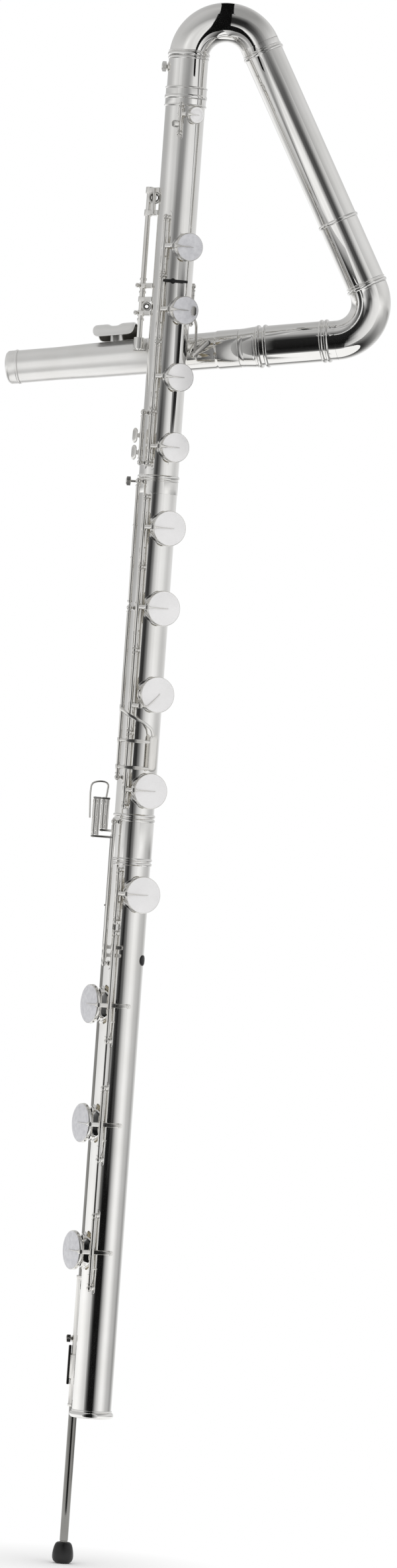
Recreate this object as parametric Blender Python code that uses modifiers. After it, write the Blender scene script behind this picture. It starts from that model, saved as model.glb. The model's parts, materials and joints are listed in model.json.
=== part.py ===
"""Contrabass flute on its floor peg, in metres, +Z up.

The long body stands upright. Its tube turns over at the top, runs down a diagonal and turns back under
itself, so that the head joint crosses behind the body at mouth height. The origin is the middle of the
flat underside of the rubber peg foot. Angles round the body are azimuths: 0 faces -Y, where the keys are
seen, and they grow towards +X.
"""

import math
from dataclasses import dataclass

import bmesh
import bpy
from mathutils import Matrix, Vector

MM = 0.001

# Tubing
TUBE_RADIUS = 24.4 * MM
TUBE_WALL = 0.8 * MM
TUBE_SIDES = 18
HEAD_SIDES = 24
SEAT_GAP = 0.3 * MM
CUT_MARGIN = 20.0 * MM
TENON_WALL = 0.6 * MM
TENON_SHOULDER = 1.0 * MM
TUBE_BORE = TUBE_RADIUS - TUBE_WALL
TENON_RADIUS = TUBE_BORE - SEAT_GAP
TENON_BORE = TENON_RADIUS - TENON_WALL
BEND_RADIUS = 45.9 * MM
BEND_STEP = math.radians(15.2)

# Body, measured upwards from the floor
FOOT_END = 189.5 * MM
FOOT_TOP = 934.0 * MM
LOWER_TOP = 1354.0 * MM
UPPER_TOP = 1873.5 * MM
LOWER_TENON = 54.0 * MM
UPPER_TENON = 24.0 * MM
BEND_TENON = 50.0 * MM
BEND_START = UPPER_TOP + SEAT_GAP

# Folded part: the turn over the top, the diagonal and the head axis
TOP_TURN = math.radians(151.9)
DIAGONAL_LENGTH = 330.0 * MM
DIAGONAL_LEAD = 9.6 * MM
DIAGONAL_FERRULE = 239.7 * MM
HEAD_RISE = math.radians(8.1)
HEAD_YAW = math.radians(10.8)

# Ferrules
RING_HEIGHT = 4.6 * MM
RING_PROUD = 1.5 * MM
RING_BEVEL = 0.6 * MM
FOOT_RING_HEIGHT = 9.6 * MM
UPPER_RING_HEIGHT = 13.0 * MM

# Head joint, measured along its axis from the end of the lower bend
RECEIVER_START = 9.3 * MM
RECEIVER_LENGTH = 82.0 * MM
RECEIVER_RADIUS = 25.2 * MM
RECEIVER_WALL = 1.0 * MM
DOUBLE_RING_PITCH = 6.2 * MM
SLIDE_INSERT = 60.0 * MM
SLIDE_REVEAL = 4.0 * MM
SLIDE_COLLAR_LENGTH = 21.0 * MM
SLIDE_NECK_LENGTH = 6.0 * MM
SLIDE_TENON_LENGTH = 24.0 * MM
SLIDE_WALL = 0.9 * MM
HEAD_SOCKET_LENGTH = 27.0 * MM
HEAD_SOCKET_RADIUS = 24.1 * MM
HEAD_SOCKET_WALL = 0.9 * MM
SOCKET_TAPER = 4.0 * MM
HEAD_LENGTH = 281.0 * MM
HEAD_WALL = 0.9 * MM
HEAD_WIDE_RADIUS = 23.1 * MM
HEAD_TAPER_LENGTH = 157.0 * MM
HEAD_TAPER_RADIUS = 21.7 * MM
HEAD_NARROW_LENGTH = 48.0 * MM
HEAD_NARROW_RADIUS = 20.5 * MM
CROWN_LENGTH = 16.0 * MM
CROWN_PLUG_LENGTH = 8.0 * MM
CROWN_BORE_DEPTH = 6.0 * MM
CROWN_DOME = 2.4 * MM
STOPPER_EDGE = 1.2 * MM
STOPPER_SCREW_END = 2.0 * MM
STOPPER_TO_HOLE = 42.0 * MM
STOPPER_LENGTH = 20.0 * MM
STOPPER_SCREW_RADIUS = 2.5 * MM

# Lip plate
LIP_TO_CROWN = 124.0 * MM
LIP_LENGTH = 53.0 * MM
LIP_CREST = 47.0 * MM
LIP_ARC_RADIUS = 24.0 * MM
LIP_ARC_REACH = math.radians(66.0)
LIP_THICKNESS = 1.8 * MM
LIP_TILT = math.radians(15.0)
HOLE_LENGTH = 12.0 * MM
HOLE_WIDTH = 15.0 * MM
RISER_WALL = 1.8 * MM

# Key work
HINGE_RADIUS = 32.4 * MM
STEEL_RADIUS = 1.2 * MM
HINGE_BORE = 1.6 * MM
HINGE_TUBE_RADIUS = 2.4 * MM
HINGE_SIDES = 8
POST_BALL = 3.3 * MM
POST_STEM = 1.5 * MM
POST_BASE = 2.7 * MM
POST_SIDES = 6
ARM_WIDTH = 5.0 * MM
ARM_THICKNESS = 2.0 * MM
ARM_START = 2.0 * MM
ARM_RISE = 3.2 * MM
CHIMNEY_HEIGHT = 3.6 * MM
CHIMNEY_WALL = 1.2 * MM
CHIMNEY_INSET = 3.2 * MM
CHIMNEY_SIDES = 12
PAD_THICKNESS = 3.4 * MM
PAD_PROUD = 0.6 * MM
CUP_HEIGHT = 4.4 * MM
CUP_WALL = 1.0 * MM
CUP_EDGE = 1.2 * MM
CUP_SIDES = 16

MAIN_LINE = math.radians(-25.0)
OUTER_LINE = math.radians(-49.0)
THUMB_LINE = math.radians(127.0)
TRILL_LINE = math.radians(-9.0)
MAIN_SWEEP = math.radians(60.0)
FOOT_SWEEP = math.radians(56.0)
THUMB_SWEEP = math.radians(58.0)
TRILL_SWEEP = math.radians(37.0)
MAIN_OPEN = math.radians(12.0)
FOOT_OPEN = math.radians(18.0)
THUMB_OPEN = math.radians(9.0)

# Keys on the main hinge line: height of the hole, cup radius, post above and post below
KEY_01 = (1636.7 * MM, 17.5 * MM, 1672.0 * MM, 1600.0 * MM)
KEY_02 = (1558.5 * MM, 17.5 * MM, 1600.0 * MM, 1518.0 * MM)
KEY_03 = (1475.5 * MM, 17.5 * MM, 1518.0 * MM, 1432.0 * MM)
KEY_04 = (1388.8 * MM, 18.5 * MM, 1432.0 * MM, 1367.0 * MM)
KEY_05 = (1288.6 * MM, 21.75 * MM, 1326.0 * MM, 1239.0 * MM)
KEY_06 = (1189.5 * MM, 21.75 * MM, 1239.0 * MM, 1136.0 * MM)
KEY_07 = (1082.7 * MM, 22.25 * MM, 1136.0 * MM, 1034.0 * MM)
KEY_08 = (963.5 * MM, 22.0 * MM, 1034.0 * MM, 943.0 * MM)
KEY_09 = (835.0 * MM, 22.75 * MM, 864.0 * MM, 800.0 * MM)
KEY_10 = (696.2 * MM, 24.25 * MM, 786.0 * MM, 652.0 * MM)
KEY_11 = (548.7 * MM, 24.25 * MM, 594.0 * MM, 505.0 * MM)
KEY_12 = (390.9 * MM, 24.25 * MM, 436.0 * MM, 346.0 * MM)
TRILL_DROP = 73.5 * MM
TRILL_CUP_RADIUS = 10.5 * MM
TRILL_POST_ABOVE = 11.5 * MM
TRILL_POST_BELOW = 24.0 * MM
THUMB_STATION = 1570.0 * MM
THUMB_CUP_RADIUS = 14.5 * MM
THUMB_POST_ABOVE = 22.0 * MM
THUMB_POST_BELOW = 24.0 * MM

# Posts of the lever tubes on the outer line: left hand, right side and little finger
LEFT_POSTS = (1430.0 * MM, 1368.0 * MM)
SIDE_POSTS = (1188.0 * MM, 978.0 * MM)
LITTLE_POSTS = (923.0 * MM, 748.0 * MM)

# Floor peg
PEG_BESIDE = -23.0 * MM
PEG_BEHIND = 24.0 * MM
PEG_RADIUS = 5.2 * MM
PEG_SIDES = 16
PEG_BOTTOM = 11.0 * MM
PEG_TOP = 905.0 * MM
TIP_RADIUS = 13.3 * MM
TIP_HEIGHT = 26.5 * MM
TIP_EDGE = 3.0 * MM
HOLDER_BOTTOM = 195.2 * MM
HOLDER_TOP = 358.0 * MM
HOLDER_WALL = 1.5 * MM
HOLDER_COLLAR = 1.6 * MM
HOLDER_COLLAR_BOTTOM = 230.0 * MM
HOLDER_COLLAR_TOP = 259.0 * MM
HOLDER_BRACKET_HEIGHT = 9.0 * MM
BRACKET_HALF = 11.0 * MM
BRACKET_DROP = 6.0 * MM
PEG_SCREW_HEIGHT = 279.0 * MM

# Thumb screws
SCREW_HEAD_RADIUS = 6.3 * MM
SCREW_HEAD_LENGTH = 6.2 * MM
SCREW_STEM_RADIUS = 1.6 * MM
SCREW_SIDES = 12
BOSS_RADIUS = 3.6 * MM
BOSS_HEIGHT = 1.4 * MM
LOCK_SCREW_DROP = 13.5 * MM
BODY_SCREW_DROP = 9.0 * MM

# Head brace
BRACE_BESIDE = -36.5 * MM
BRACE_BEHIND = 12.0 * MM
BRACE_RADIUS = 3.3 * MM
BRACE_ABOVE_HEAD = 5.7 * MM
BRACE_LENGTH = 202.0 * MM
BRACE_CLIP_DROP = 3.5 * MM
BRACE_CLIP_PITCH = 28.0 * MM
BRACE_CLAMP_RISE = 80.0 * MM
BRACE_CLAMP_PITCH = 17.0 * MM
BRACE_PLATE_HEIGHT = 6.0 * MM
SADDLE_HEIGHT = 15.0 * MM
SADDLE_LIFT = 1.0 * MM
SADDLE_EYE = 6.4 * MM
SADDLE_MARGIN = 0.5 * MM
SADDLE_LEAN = math.radians(40.0)
SADDLE_REACH = 60.0 * MM

# Touches
TOUCH_THICKNESS = 1.8 * MM
ROLLER_RADIUS = 2.3 * MM
ROLLER_BORE = 1.0 * MM
ROLLER_PIN = 0.7 * MM
ROLLER_TOP = 949.0 * MM
ROLLER_LIFT = 2.0 * MM
TOUCH_BAR_RADIUS = 2.0 * MM
TOUCH_END_HALF = 2.2 * MM
TOUCH_END_THICKNESS = 2.4 * MM
TOUCH_Y = -25.0 * MM
OUTER_BAR_X = -44.0 * MM
OUTER_PIN_X = -49.0 * MM
OUTER_FRAME_Z = 903.5 * MM
INNER_BAR_X = -33.5 * MM
INNER_PIN_X = -38.5 * MM
INNER_FRAME_Z = 911.5 * MM
LEVER_COLLAR = 12.0 * MM
OUTER_TAB_RISE = 20.0 * MM
INNER_TAB_RISE = 10.0 * MM
KICKER_GAP = 4.0 * MM
KICKER_WIDTH = 6.0 * MM
KICKER_HALF = 0.8 * MM
TAB_WIDTH = 5.0 * MM
LEVER_ARM_HALF = 0.9 * MM
GUARD_RADIUS = 0.9 * MM
TRANSFER_ROUTE = ((-38.0, 28.6), (-24.0, 27.0), (-10.0, 27.0))
SIDE_TOUCH_RADIUS = 34.2 * MM
SIDE_TOUCH_Z = 1010.5 * MM
SIDE_TOUCH_LENGTH = 44.0 * MM
SIDE_TOUCH_WIDTH = 12.0 * MM
SIDE_ARMS = (1024.0 * MM, 991.0 * MM)
SIDE_ARM_WIDTH = 4.0 * MM
LEFT_TOUCH_RADIUS = 37.0 * MM
LEFT_TOUCH_LENGTH = 18.0 * MM
LEFT_TOUCH_WIDTH = 11.0 * MM
LEFT_ARMS = (1401.0 * MM, 1380.0 * MM)
LEFT_ARM_WIDTH = 5.0 * MM
THUMB_WIRE_RADIUS = 1.7 * MM
THUMB_TOUCH_WIDTH = 7.0 * MM
THUMB_TOUCH_THICKNESS = 2.0 * MM
BUMPER_RADIUS = 8.5 * MM
BUMPER_HEIGHT = 1.8 * MM
BUMPER_Z = 754.0 * MM
BUMPER_AZIMUTH = math.radians(70.0)

UPRIGHT_TO_X = Matrix.Rotation(math.radians(90.0), 4, "Y")

PARTS = bpy.data.collections.new("contrabass_flute")
CUTTERS = bpy.data.collections.new("cutters")
COMBINATIONS = []


@dataclass(frozen=True)
class Finish:
    """Colour, roughness and metallic value of one material."""

    name: str
    colour: tuple
    roughness: float
    metallic: float


POLISHED = Finish("polished_silver_plate", (0.86, 0.86, 0.87), 0.12, 1.0)
SATIN = Finish("satin_silver_plate", (0.88, 0.88, 0.88), 0.34, 1.0)
STEEL = Finish("blued_steel", (0.36, 0.37, 0.39), 0.3, 1.0)
SKIN = Finish("pad_skin", (0.86, 0.8, 0.66), 0.6, 0.0)
CORK = Finish("cork", (0.62, 0.42, 0.24), 0.85, 0.0)
RUBBER = Finish("black_rubber", (0.03, 0.03, 0.035), 0.7, 0.0)


@dataclass(frozen=True)
class KeyPlan:
    """Where one padded key hinges and closes.

    side is +1 where the hole lies at a greater azimuth than the hinge, and -1 at a smaller one.
    """

    number: str
    station: float
    cup_radius: float
    line: float
    sweep: float
    side: int
    opening: float
    post_above: float
    post_below: float

    @property
    def azimuth(self):
        return self.line + self.side * self.sweep

    @property
    def chimney_radius(self):
        return self.cup_radius - CHIMNEY_INSET


def key_plans():
    """The keys from the top of the body to the end of the foot."""
    main = [KEY_01, KEY_02, KEY_03, KEY_04, KEY_05, KEY_06, KEY_07, KEY_08, KEY_09]
    foot = [KEY_10, KEY_11, KEY_12]
    plans = [padded_plan(i + 1, key, MAIN_SWEEP, 1, MAIN_OPEN) for i, key in enumerate(main)]
    plans += [padded_plan(i + 10, key, FOOT_SWEEP, -1, FOOT_OPEN) for i, key in enumerate(foot)]
    return plans


def padded_plan(number, sizes, sweep, side, opening):
    """The plan of one key on the main hinge line."""
    station, cup_radius, above, below = sizes
    return KeyPlan(f"{number:02d}", station, cup_radius, MAIN_LINE, sweep, side, opening, above, below)


def trill_plan():
    """The closed trill key just below the turn over the top."""
    station = UPPER_TOP - TRILL_DROP
    posts = (station + TRILL_POST_ABOVE, station - TRILL_POST_BELOW)
    return KeyPlan("trill", station, TRILL_CUP_RADIUS, TRILL_LINE, TRILL_SWEEP, 1, 0.0, *posts)


def thumb_plan():
    """The thumb key behind the right side of the body."""
    posts = (THUMB_STATION + THUMB_POST_ABOVE, THUMB_STATION - THUMB_POST_BELOW)
    return KeyPlan("thumb", THUMB_STATION, THUMB_CUP_RADIUS, THUMB_LINE, THUMB_SWEEP, 1, THUMB_OPEN, *posts)


def clear_scene():
    """Empty the scene and add the two collections."""
    for existing in list(bpy.data.objects):
        bpy.data.objects.remove(existing, do_unlink=True)
    bpy.context.scene.collection.children.link(PARTS)
    bpy.context.scene.collection.children.link(CUTTERS)


def dressed(obj, finish):
    """Give an object its material."""
    material = bpy.data.materials.get(finish.name) or bpy.data.materials.new(finish.name)
    material.use_nodes = True
    shader = material.node_tree.nodes["Principled BSDF"]
    shader.inputs["Base Color"].default_value = (*finish.colour, 1.0)
    shader.inputs["Roughness"].default_value = finish.roughness
    shader.inputs["Metallic"].default_value = finish.metallic
    obj.data.materials.clear()
    obj.data.materials.append(material)
    return obj


def added(name, data, place=None, parent=None):
    """Link a new object as a hidden cutter until kept() makes it a part."""
    obj = bpy.data.objects.new(name, data)
    CUTTERS.objects.link(obj)
    matrix = place or Matrix.Identity(4)
    obj.location = matrix.to_translation()
    obj.rotation_euler = matrix.to_euler()
    obj.parent = parent
    obj.hide_render = True
    obj.display_type = "WIRE"
    return obj


def kept(obj, name, finish, parent=None):
    """Turn a finished object into a named part of the flute."""
    obj.name = name
    obj.data.name = name
    if parent:
        obj.parent = parent
    CUTTERS.objects.unlink(obj)
    PARTS.objects.link(obj)
    obj.hide_render = False
    obj.display_type = "TEXTURED"
    return dressed(obj, finish)


def frame_empty(name, place, parent=None):
    """An empty that carries the pieces of one joint or axis."""
    empty = bpy.data.objects.new(name, None)
    PARTS.objects.link(empty)
    empty.location = place.to_translation()
    empty.rotation_euler = place.to_euler()
    empty.parent = parent
    empty.empty_display_size = 0.02
    return empty


def around(azimuth, radius, z=0.0):
    """A point beside the body axis."""
    return Vector((radius * math.sin(azimuth), -radius * math.cos(azimuth), z))


def facing(azimuth):
    """Turn local X outwards and local Y towards growing azimuth."""
    return Matrix.Rotation(azimuth - math.radians(90.0), 4, "Z")


def radial(azimuth, z, radius=0.0):
    """Turn local Z outwards at this azimuth and height."""
    return Matrix.Translation(around(azimuth, radius, z)) @ facing(azimuth) @ UPRIGHT_TO_X


def turned(name, profile, sides, place=None, parent=None, closed=False):
    """Revolve a profile of (radius, height) points, which runs downwards on its outer side."""
    mesh = bpy.data.meshes.new(name)
    edges = [(i, i + 1) for i in range(len(profile) - 1)]
    if closed:
        edges.append((len(profile) - 1, 0))
    mesh.from_pydata([(r, 0.0, z) for r, z in profile], edges, [])
    obj = added(name, mesh, place, parent)
    screw = obj.modifiers.new("turn", "SCREW")
    screw.axis = "Z"
    screw.angle = math.tau
    screw.steps = sides
    screw.render_steps = sides
    screw.use_merge_vertices = True
    screw.merge_threshold = 0.00001
    return obj


def drum(name, radius, low, high, sides, place=None, parent=None):
    """A solid cylinder between two heights."""
    return turned(name, [(0.0, high), (radius, high), (radius, low), (0.0, low)], sides, place, parent)


def pipe(name, outer, inner, low, high, sides, place=None, parent=None):
    """A straight tube between two heights."""
    profile = [(outer, high), (outer, low), (inner, low), (inner, high)]
    return turned(name, profile, sides, place, parent, closed=True)


def ringed_side(radius, high, low, rings):
    """Outer side of a tube from its top down, with a bevelled ring at each (middle, height)."""
    crown = radius + RING_PROUD
    side = [(radius, high)]
    for middle, height in rings:
        top = middle + height / 2
        bottom = middle - height / 2
        side += [(radius, top), (crown, top - RING_BEVEL), (crown, bottom + RING_BEVEL), (radius, bottom)]
    side.append((radius, low))
    return [b for a, b in zip([(0.0, high)] + side, side) if math.dist(a, b) > SEAT_GAP / 10]


def as_mesh(curve_object):
    """Replace a curve object by a closed mesh object in the same place."""
    depsgraph = bpy.context.evaluated_depsgraph_get()
    mesh = bpy.data.meshes.new_from_object(curve_object.evaluated_get(depsgraph))
    shape = bmesh.new()
    shape.from_mesh(mesh)
    bmesh.ops.remove_doubles(shape, verts=shape.verts, dist=0.000001)
    bmesh.ops.recalc_face_normals(shape, faces=shape.faces)
    shape.to_mesh(mesh)
    shape.free()
    obj = bpy.data.objects.new(curve_object.name, mesh)
    CUTTERS.objects.link(obj)
    obj.location = curve_object.location
    obj.rotation_euler = curve_object.rotation_euler
    obj.parent = curve_object.parent
    obj.hide_render = True
    obj.display_type = "WIRE"
    bpy.data.objects.remove(curve_object, do_unlink=True)
    return obj


def plate(name, outline, thickness, place=None, parent=None):
    """A flat plate with this outline, centred on its local XY plane."""
    curve = bpy.data.curves.new(name, "CURVE")
    curve.dimensions = "2D"
    curve.fill_mode = "BOTH"
    curve.extrude = thickness / 2
    spline = curve.splines.new("POLY")
    spline.points.add(len(outline) - 1)
    for point, (x, y) in zip(spline.points, outline):
        point.co = (x, y, 0.0, 1.0)
    spline.use_cyclic_u = True
    return as_mesh(added(name, curve, place, parent))


def wire(name, points, radius, place=None, parent=None):
    """A round wire through these points."""
    curve = bpy.data.curves.new(name, "CURVE")
    curve.dimensions = "3D"
    curve.bevel_depth = radius
    curve.bevel_resolution = 2
    curve.use_fill_caps = True
    spline = curve.splines.new("POLY")
    spline.points.add(len(points) - 1)
    for point, co in zip(spline.points, points):
        point.co = (*co, 1.0)
    return as_mesh(added(name, curve, place, parent))


def strip(path, half):
    """Outline of a strip of this half width along a path of (x, y) points."""
    left = []
    right = []
    for i, point in enumerate(path):
        before = Vector(path[max(i - 1, 0)])
        after = Vector(path[min(i + 1, len(path) - 1)])
        along = (after - before).normalized()
        across = Vector((-along.y, along.x)) * half
        left.append(tuple(Vector(point) + across))
        right.append(tuple(Vector(point) - across))
    return left + right[::-1]


def stadium(length, width, steps=6):
    """Outline of a plate with round ends, its length along Y."""
    radius = width / 2
    reach = length / 2 - radius
    points = []
    for end in (1, -1):
        for i in range(steps + 1):
            angle = math.pi * i / steps
            points.append((end * radius * math.cos(angle), end * (reach + radius * math.sin(angle))))
    return points


def combine(target, operation, operands):
    """Plan to join or cut the target with all these operands at once."""
    COMBINATIONS.append((target, operation, operands))
    return target


def add_booleans():
    """Give every target its planned Booleans, once all the shapes are there."""
    for target, operation, operands in COMBINATIONS:
        group = bpy.data.collections.new(f"{target.name}_{operation.lower()}")
        CUTTERS.children.link(group)
        for operand in operands:
            group.objects.link(operand)
        modifier = target.modifiers.new(operation.lower(), "BOOLEAN")
        modifier.operation = operation
        modifier.solver = "EXACT"
        modifier.operand_type = "COLLECTION"
        modifier.collection = group


def smooth(obj):
    """Shade the round sides smooth and keep the edges sharp."""
    obj.data.shade_smooth()
    obj.data.set_sharp_from_angle(angle=math.radians(35.0))


def ball_post(line, z, body):
    """A turned post, soldered into the tube wall, whose ball holds a hinge steel."""
    ball = POST_BALL
    foot = TUBE_RADIUS * 0.9
    profile = [
        (0.0, HINGE_RADIUS + ball),
        (ball * 0.75, HINGE_RADIUS + ball * 0.66),
        (ball, HINGE_RADIUS),
        (POST_STEM, HINGE_RADIUS - ball * 0.9),
        (POST_BASE, TUBE_RADIUS + POST_BASE / 3),
        (POST_BASE, foot),
        (0.0, foot),
    ]
    return turned("post", profile, POST_SIDES, radial(line, z), body)


def body_tube(name, high, low, tenon, rings, plans, posts, screws, body):
    """A body section: its tube, with its rings, chimneys and posts soldered on.

    posts maps a hinge line to the heights of its posts, and tenon is the length of the narrow end that fits
    into the section below.
    """
    outside = [(0.0, high)] + ringed_side(TUBE_RADIUS, high, low, rings)
    inside = [(0.0, high + CUT_MARGIN), (TUBE_BORE, high + CUT_MARGIN)]
    if tenon:
        step = low + TENON_SHOULDER
        outside += [(TENON_RADIUS, low), (TENON_RADIUS, low - tenon)]
        inside += [(TUBE_BORE, step), (TENON_BORE, step), (TENON_BORE, low - tenon - CUT_MARGIN)]
    else:
        inside.append((TUBE_BORE, low - CUT_MARGIN))
    tube = turned(name, outside + [(0.0, low - tenon)], TUBE_SIDES, None, body)
    bore = turned(name + "_bore", inside + [(0.0, low - tenon - CUT_MARGIN)], TUBE_SIDES, None, body)
    joined = []
    cuts = [bore]
    for plan in plans:
        place = radial(plan.azimuth, plan.station)
        top = TUBE_RADIUS + CHIMNEY_HEIGHT
        joined.append(drum("chimney", plan.chimney_radius, TUBE_RADIUS / 3, top, CHIMNEY_SIDES, place, body))
        hole = plan.chimney_radius - CHIMNEY_WALL
        cuts.append(drum("hole", hole, TUBE_RADIUS / 6, top + CUT_MARGIN, CHIMNEY_SIDES, place, body))
    for height in screws:
        place = radial(-math.pi / 2, height)
        boss_top = TUBE_RADIUS + BOSS_HEIGHT
        joined.append(drum("boss", BOSS_RADIUS, TUBE_RADIUS * 0.9, boss_top, HINGE_SIDES, place, body))
        stem = SCREW_STEM_RADIUS + SEAT_GAP
        ends = (TUBE_RADIUS / 2, boss_top + CUT_MARGIN)
        cuts.append(drum("stem_hole", stem, *ends, HINGE_SIDES, place, body))
    for line, heights in posts.items():
        joined += [ball_post(line, z, body) for z in heights]
        way = Matrix.Translation(around(line, HINGE_RADIUS))
        end = POST_BALL * 2
        cuts.append(drum("way", HINGE_BORE, min(heights) - end, max(heights) + end, POST_SIDES, way, body))
    combine(tube, "UNION", joined)
    combine(tube, "DIFFERENCE", cuts)
    return kept(tube, name, POLISHED)


def bent_tube(name, lead_in, turn, lead_out, place, parent):
    """A bend that starts along local Z and turns towards local X, with a straight lead at each end."""
    shape = bmesh.new()
    bmesh.ops.create_circle(shape, cap_ends=False, segments=TUBE_SIDES, radius=TUBE_RADIUS)
    bmesh.ops.translate(shape, verts=shape.verts, vec=(-BEND_RADIUS, 0.0, -lead_in))

    def stretched(edges, offset):
        moved = bmesh.ops.extrude_edge_only(shape, edges=edges)["geom"]
        bmesh.ops.translate(shape, verts=[v for v in moved if isinstance(v, bmesh.types.BMVert)], vec=offset)
        return [e for e in moved if isinstance(e, bmesh.types.BMEdge)]

    rim = list(shape.edges)
    if lead_in > 0:
        rim = stretched(rim, (0.0, 0.0, lead_in))
    spun = bmesh.ops.spin(
        shape,
        geom=rim,
        cent=(0.0, 0.0, 0.0),
        axis=(0.0, 1.0, 0.0),
        angle=turn,
        steps=round(turn / BEND_STEP),
        use_duplicate=False,
    )
    rim = [e for e in spun["geom_last"] if isinstance(e, bmesh.types.BMEdge)]
    if lead_out > 0:
        stretched(rim, Vector((math.sin(turn), 0.0, math.cos(turn))) * lead_out)
    bmesh.ops.remove_doubles(shape, verts=shape.verts, dist=0.000001)
    bmesh.ops.recalc_face_normals(shape, faces=shape.faces)
    mesh = bpy.data.meshes.new(name)
    shape.to_mesh(mesh)
    shape.free()
    obj = added(name, mesh, place, parent)
    wall = obj.modifiers.new("wall", "SOLIDIFY")
    wall.thickness = TUBE_WALL
    wall.offset = -1.0
    return obj


def axis_frame(origin, along, towards):
    """A frame at origin with Z along one direction and X as near as it can be to another."""
    z = along.normalized()
    x = (towards - towards.dot(z) * z).normalized()
    y = z.cross(x)
    rotation = Matrix((x, y, z)).transposed().to_4x4()
    return Matrix.Translation(origin) @ rotation


def folded_route():
    """Frames along the fold: diagonal start, lower bend centre and head axis, with the lower turn."""
    down = Vector((math.sin(TOP_TURN), 0.0, math.cos(TOP_TURN)))
    level = Vector((-math.cos(HEAD_YAW), math.sin(HEAD_YAW), 0.0))
    home = (level * math.cos(HEAD_RISE) - Vector((0.0, 0.0, math.sin(HEAD_RISE)))).normalized()
    across = BEND_RADIUS * (1 - math.cos(TOP_TURN))
    start = Vector((across, 0.0, BEND_START + BEND_RADIUS * math.sin(TOP_TURN)))
    diagonal = axis_frame(start, down, Vector((1.0, 0.0, 0.0)))
    corner = axis_frame(start + down * DIAGONAL_LENGTH, down, home)
    bend = corner @ Matrix.Translation((BEND_RADIUS, 0.0, 0.0))
    turn = down.angle(home)
    end = bend @ Vector((-BEND_RADIUS * math.cos(turn), 0.0, BEND_RADIUS * math.sin(turn)))
    head = axis_frame(end, home, Vector((0.0, -1.0, 0.0)))
    return diagonal, bend, turn, head


def hinge_steel(name, line, heights, body):
    """One steel through all the posts of a hinge line on one section."""
    place = Matrix.Translation(around(line, HINGE_RADIUS))
    end = POST_BALL * 0.8
    steel = drum(name, STEEL_RADIUS, min(heights) - end, max(heights) + end, POST_SIDES, place, body)
    return kept(steel, name, STEEL)


def hinge_frame(plan, body):
    """The empty on a key's hinge axis: X leaves the hole and Y runs along the pad's face."""
    hinge = around(plan.line, HINGE_RADIUS, plan.station)
    turn = Matrix.Rotation(-plan.side * plan.opening, 4, "Z")
    return frame_empty("hinge_" + plan.number, Matrix.Translation(hinge) @ turn @ facing(plan.azimuth), body)


def seat_height():
    """Distance from the body axis to the underside of a closed pad."""
    return TUBE_RADIUS + CHIMNEY_HEIGHT + SEAT_GAP


def cup_place(plan):
    """A cup's or pad's frame on its hinge: Z leaves the hole from the pad's underside."""
    outward = seat_height() - HINGE_RADIUS * math.cos(plan.sweep)
    beside = plan.side * HINGE_RADIUS * math.sin(plan.sweep)
    return Matrix.Translation((outward, beside, 0.0)) @ UPRIGHT_TO_X


def key_arm_path(plan):
    """Middle line of the arm from the hinge tube over the cup, in the hinge frame."""
    top = seat_height() + PAD_PROUD + CUP_HEIGHT - HINGE_RADIUS * math.cos(plan.sweep)
    over = top + ARM_THICKNESS * 0.45
    centre = HINGE_RADIUS * math.sin(plan.sweep)
    rise = min(ARM_RISE, centre - plan.cup_radius - ARM_THICKNESS)
    knee = (top - ARM_THICKNESS * 0.8, rise)
    lift = Vector(knee).normalized() * ARM_START
    path = [tuple(lift), knee, (over, rise + ARM_RISE * 1.5), (over, centre + plan.cup_radius * 0.35)]
    return [(x, plan.side * y) for x, y in path]


def hinge_tube(high, low, parent, centre_z):
    """A hinge tube in its hinge frame, between two posts."""
    inset = POST_BALL + 2 * SEAT_GAP
    ends = (low + inset - centre_z, high - inset - centre_z)
    return pipe("hinge_tube", HINGE_TUBE_RADIUS, HINGE_BORE, *ends, HINGE_SIDES, None, parent)


def pivot_rod(name, high, low, parent, centre_z):
    """A solid hinge rod whose thin ends turn in the balls of its two posts."""
    inset = POST_BALL + 2 * SEAT_GAP
    end = POST_BALL * 0.8
    profile = [
        (0.0, high + end - centre_z),
        (STEEL_RADIUS, high + end - centre_z),
        (STEEL_RADIUS, high - inset - centre_z),
        (HINGE_TUBE_RADIUS, high - inset - centre_z),
        (HINGE_TUBE_RADIUS, low + inset - centre_z),
        (STEEL_RADIUS, low + inset - centre_z),
        (STEEL_RADIUS, low - end - centre_z),
        (0.0, low - end - centre_z),
    ]
    return turned(name, profile, HINGE_SIDES, None, parent)


def padded_key(plan, body, extras=()):
    """A cup, its arm and its hinge tube as one soldered key, and the pad in the cup."""
    hinge = hinge_frame(plan, body)
    radius = plan.cup_radius
    low = PAD_PROUD
    high = PAD_PROUD + CUP_HEIGHT
    floor = high - CUP_WALL
    profile = [
        (0.0, high),
        (radius - CUP_EDGE, high),
        (radius, high - CUP_EDGE),
        (radius, low),
        (radius - CUP_WALL, low),
        (radius - CUP_WALL, floor),
        (0.0, floor),
    ]
    name = plan.number + "_key" if not plan.number.isdigit() else "key_" + plan.number
    cup = turned(name, profile, CUP_SIDES, cup_place(plan), hinge)
    tube = hinge_tube(plan.post_above, plan.post_below, hinge, plan.station)
    arm = plate(name + "_arm", strip(key_arm_path(plan), ARM_THICKNESS / 2), ARM_WIDTH, None, hinge)
    combine(cup, "UNION", [arm, tube])
    combine(cup, "UNION", [extra(plan, hinge) for extra in extras])
    kept(cup, name, SATIN)
    pad_name = name.replace("key", "pad")
    pad_radius = radius - CUP_WALL - SEAT_GAP
    pad = drum(pad_name, pad_radius, 0.0, floor - SEAT_GAP, CUP_SIDES, cup_place(plan), hinge)
    kept(pad, pad_name, SKIN)
    return hinge


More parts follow.
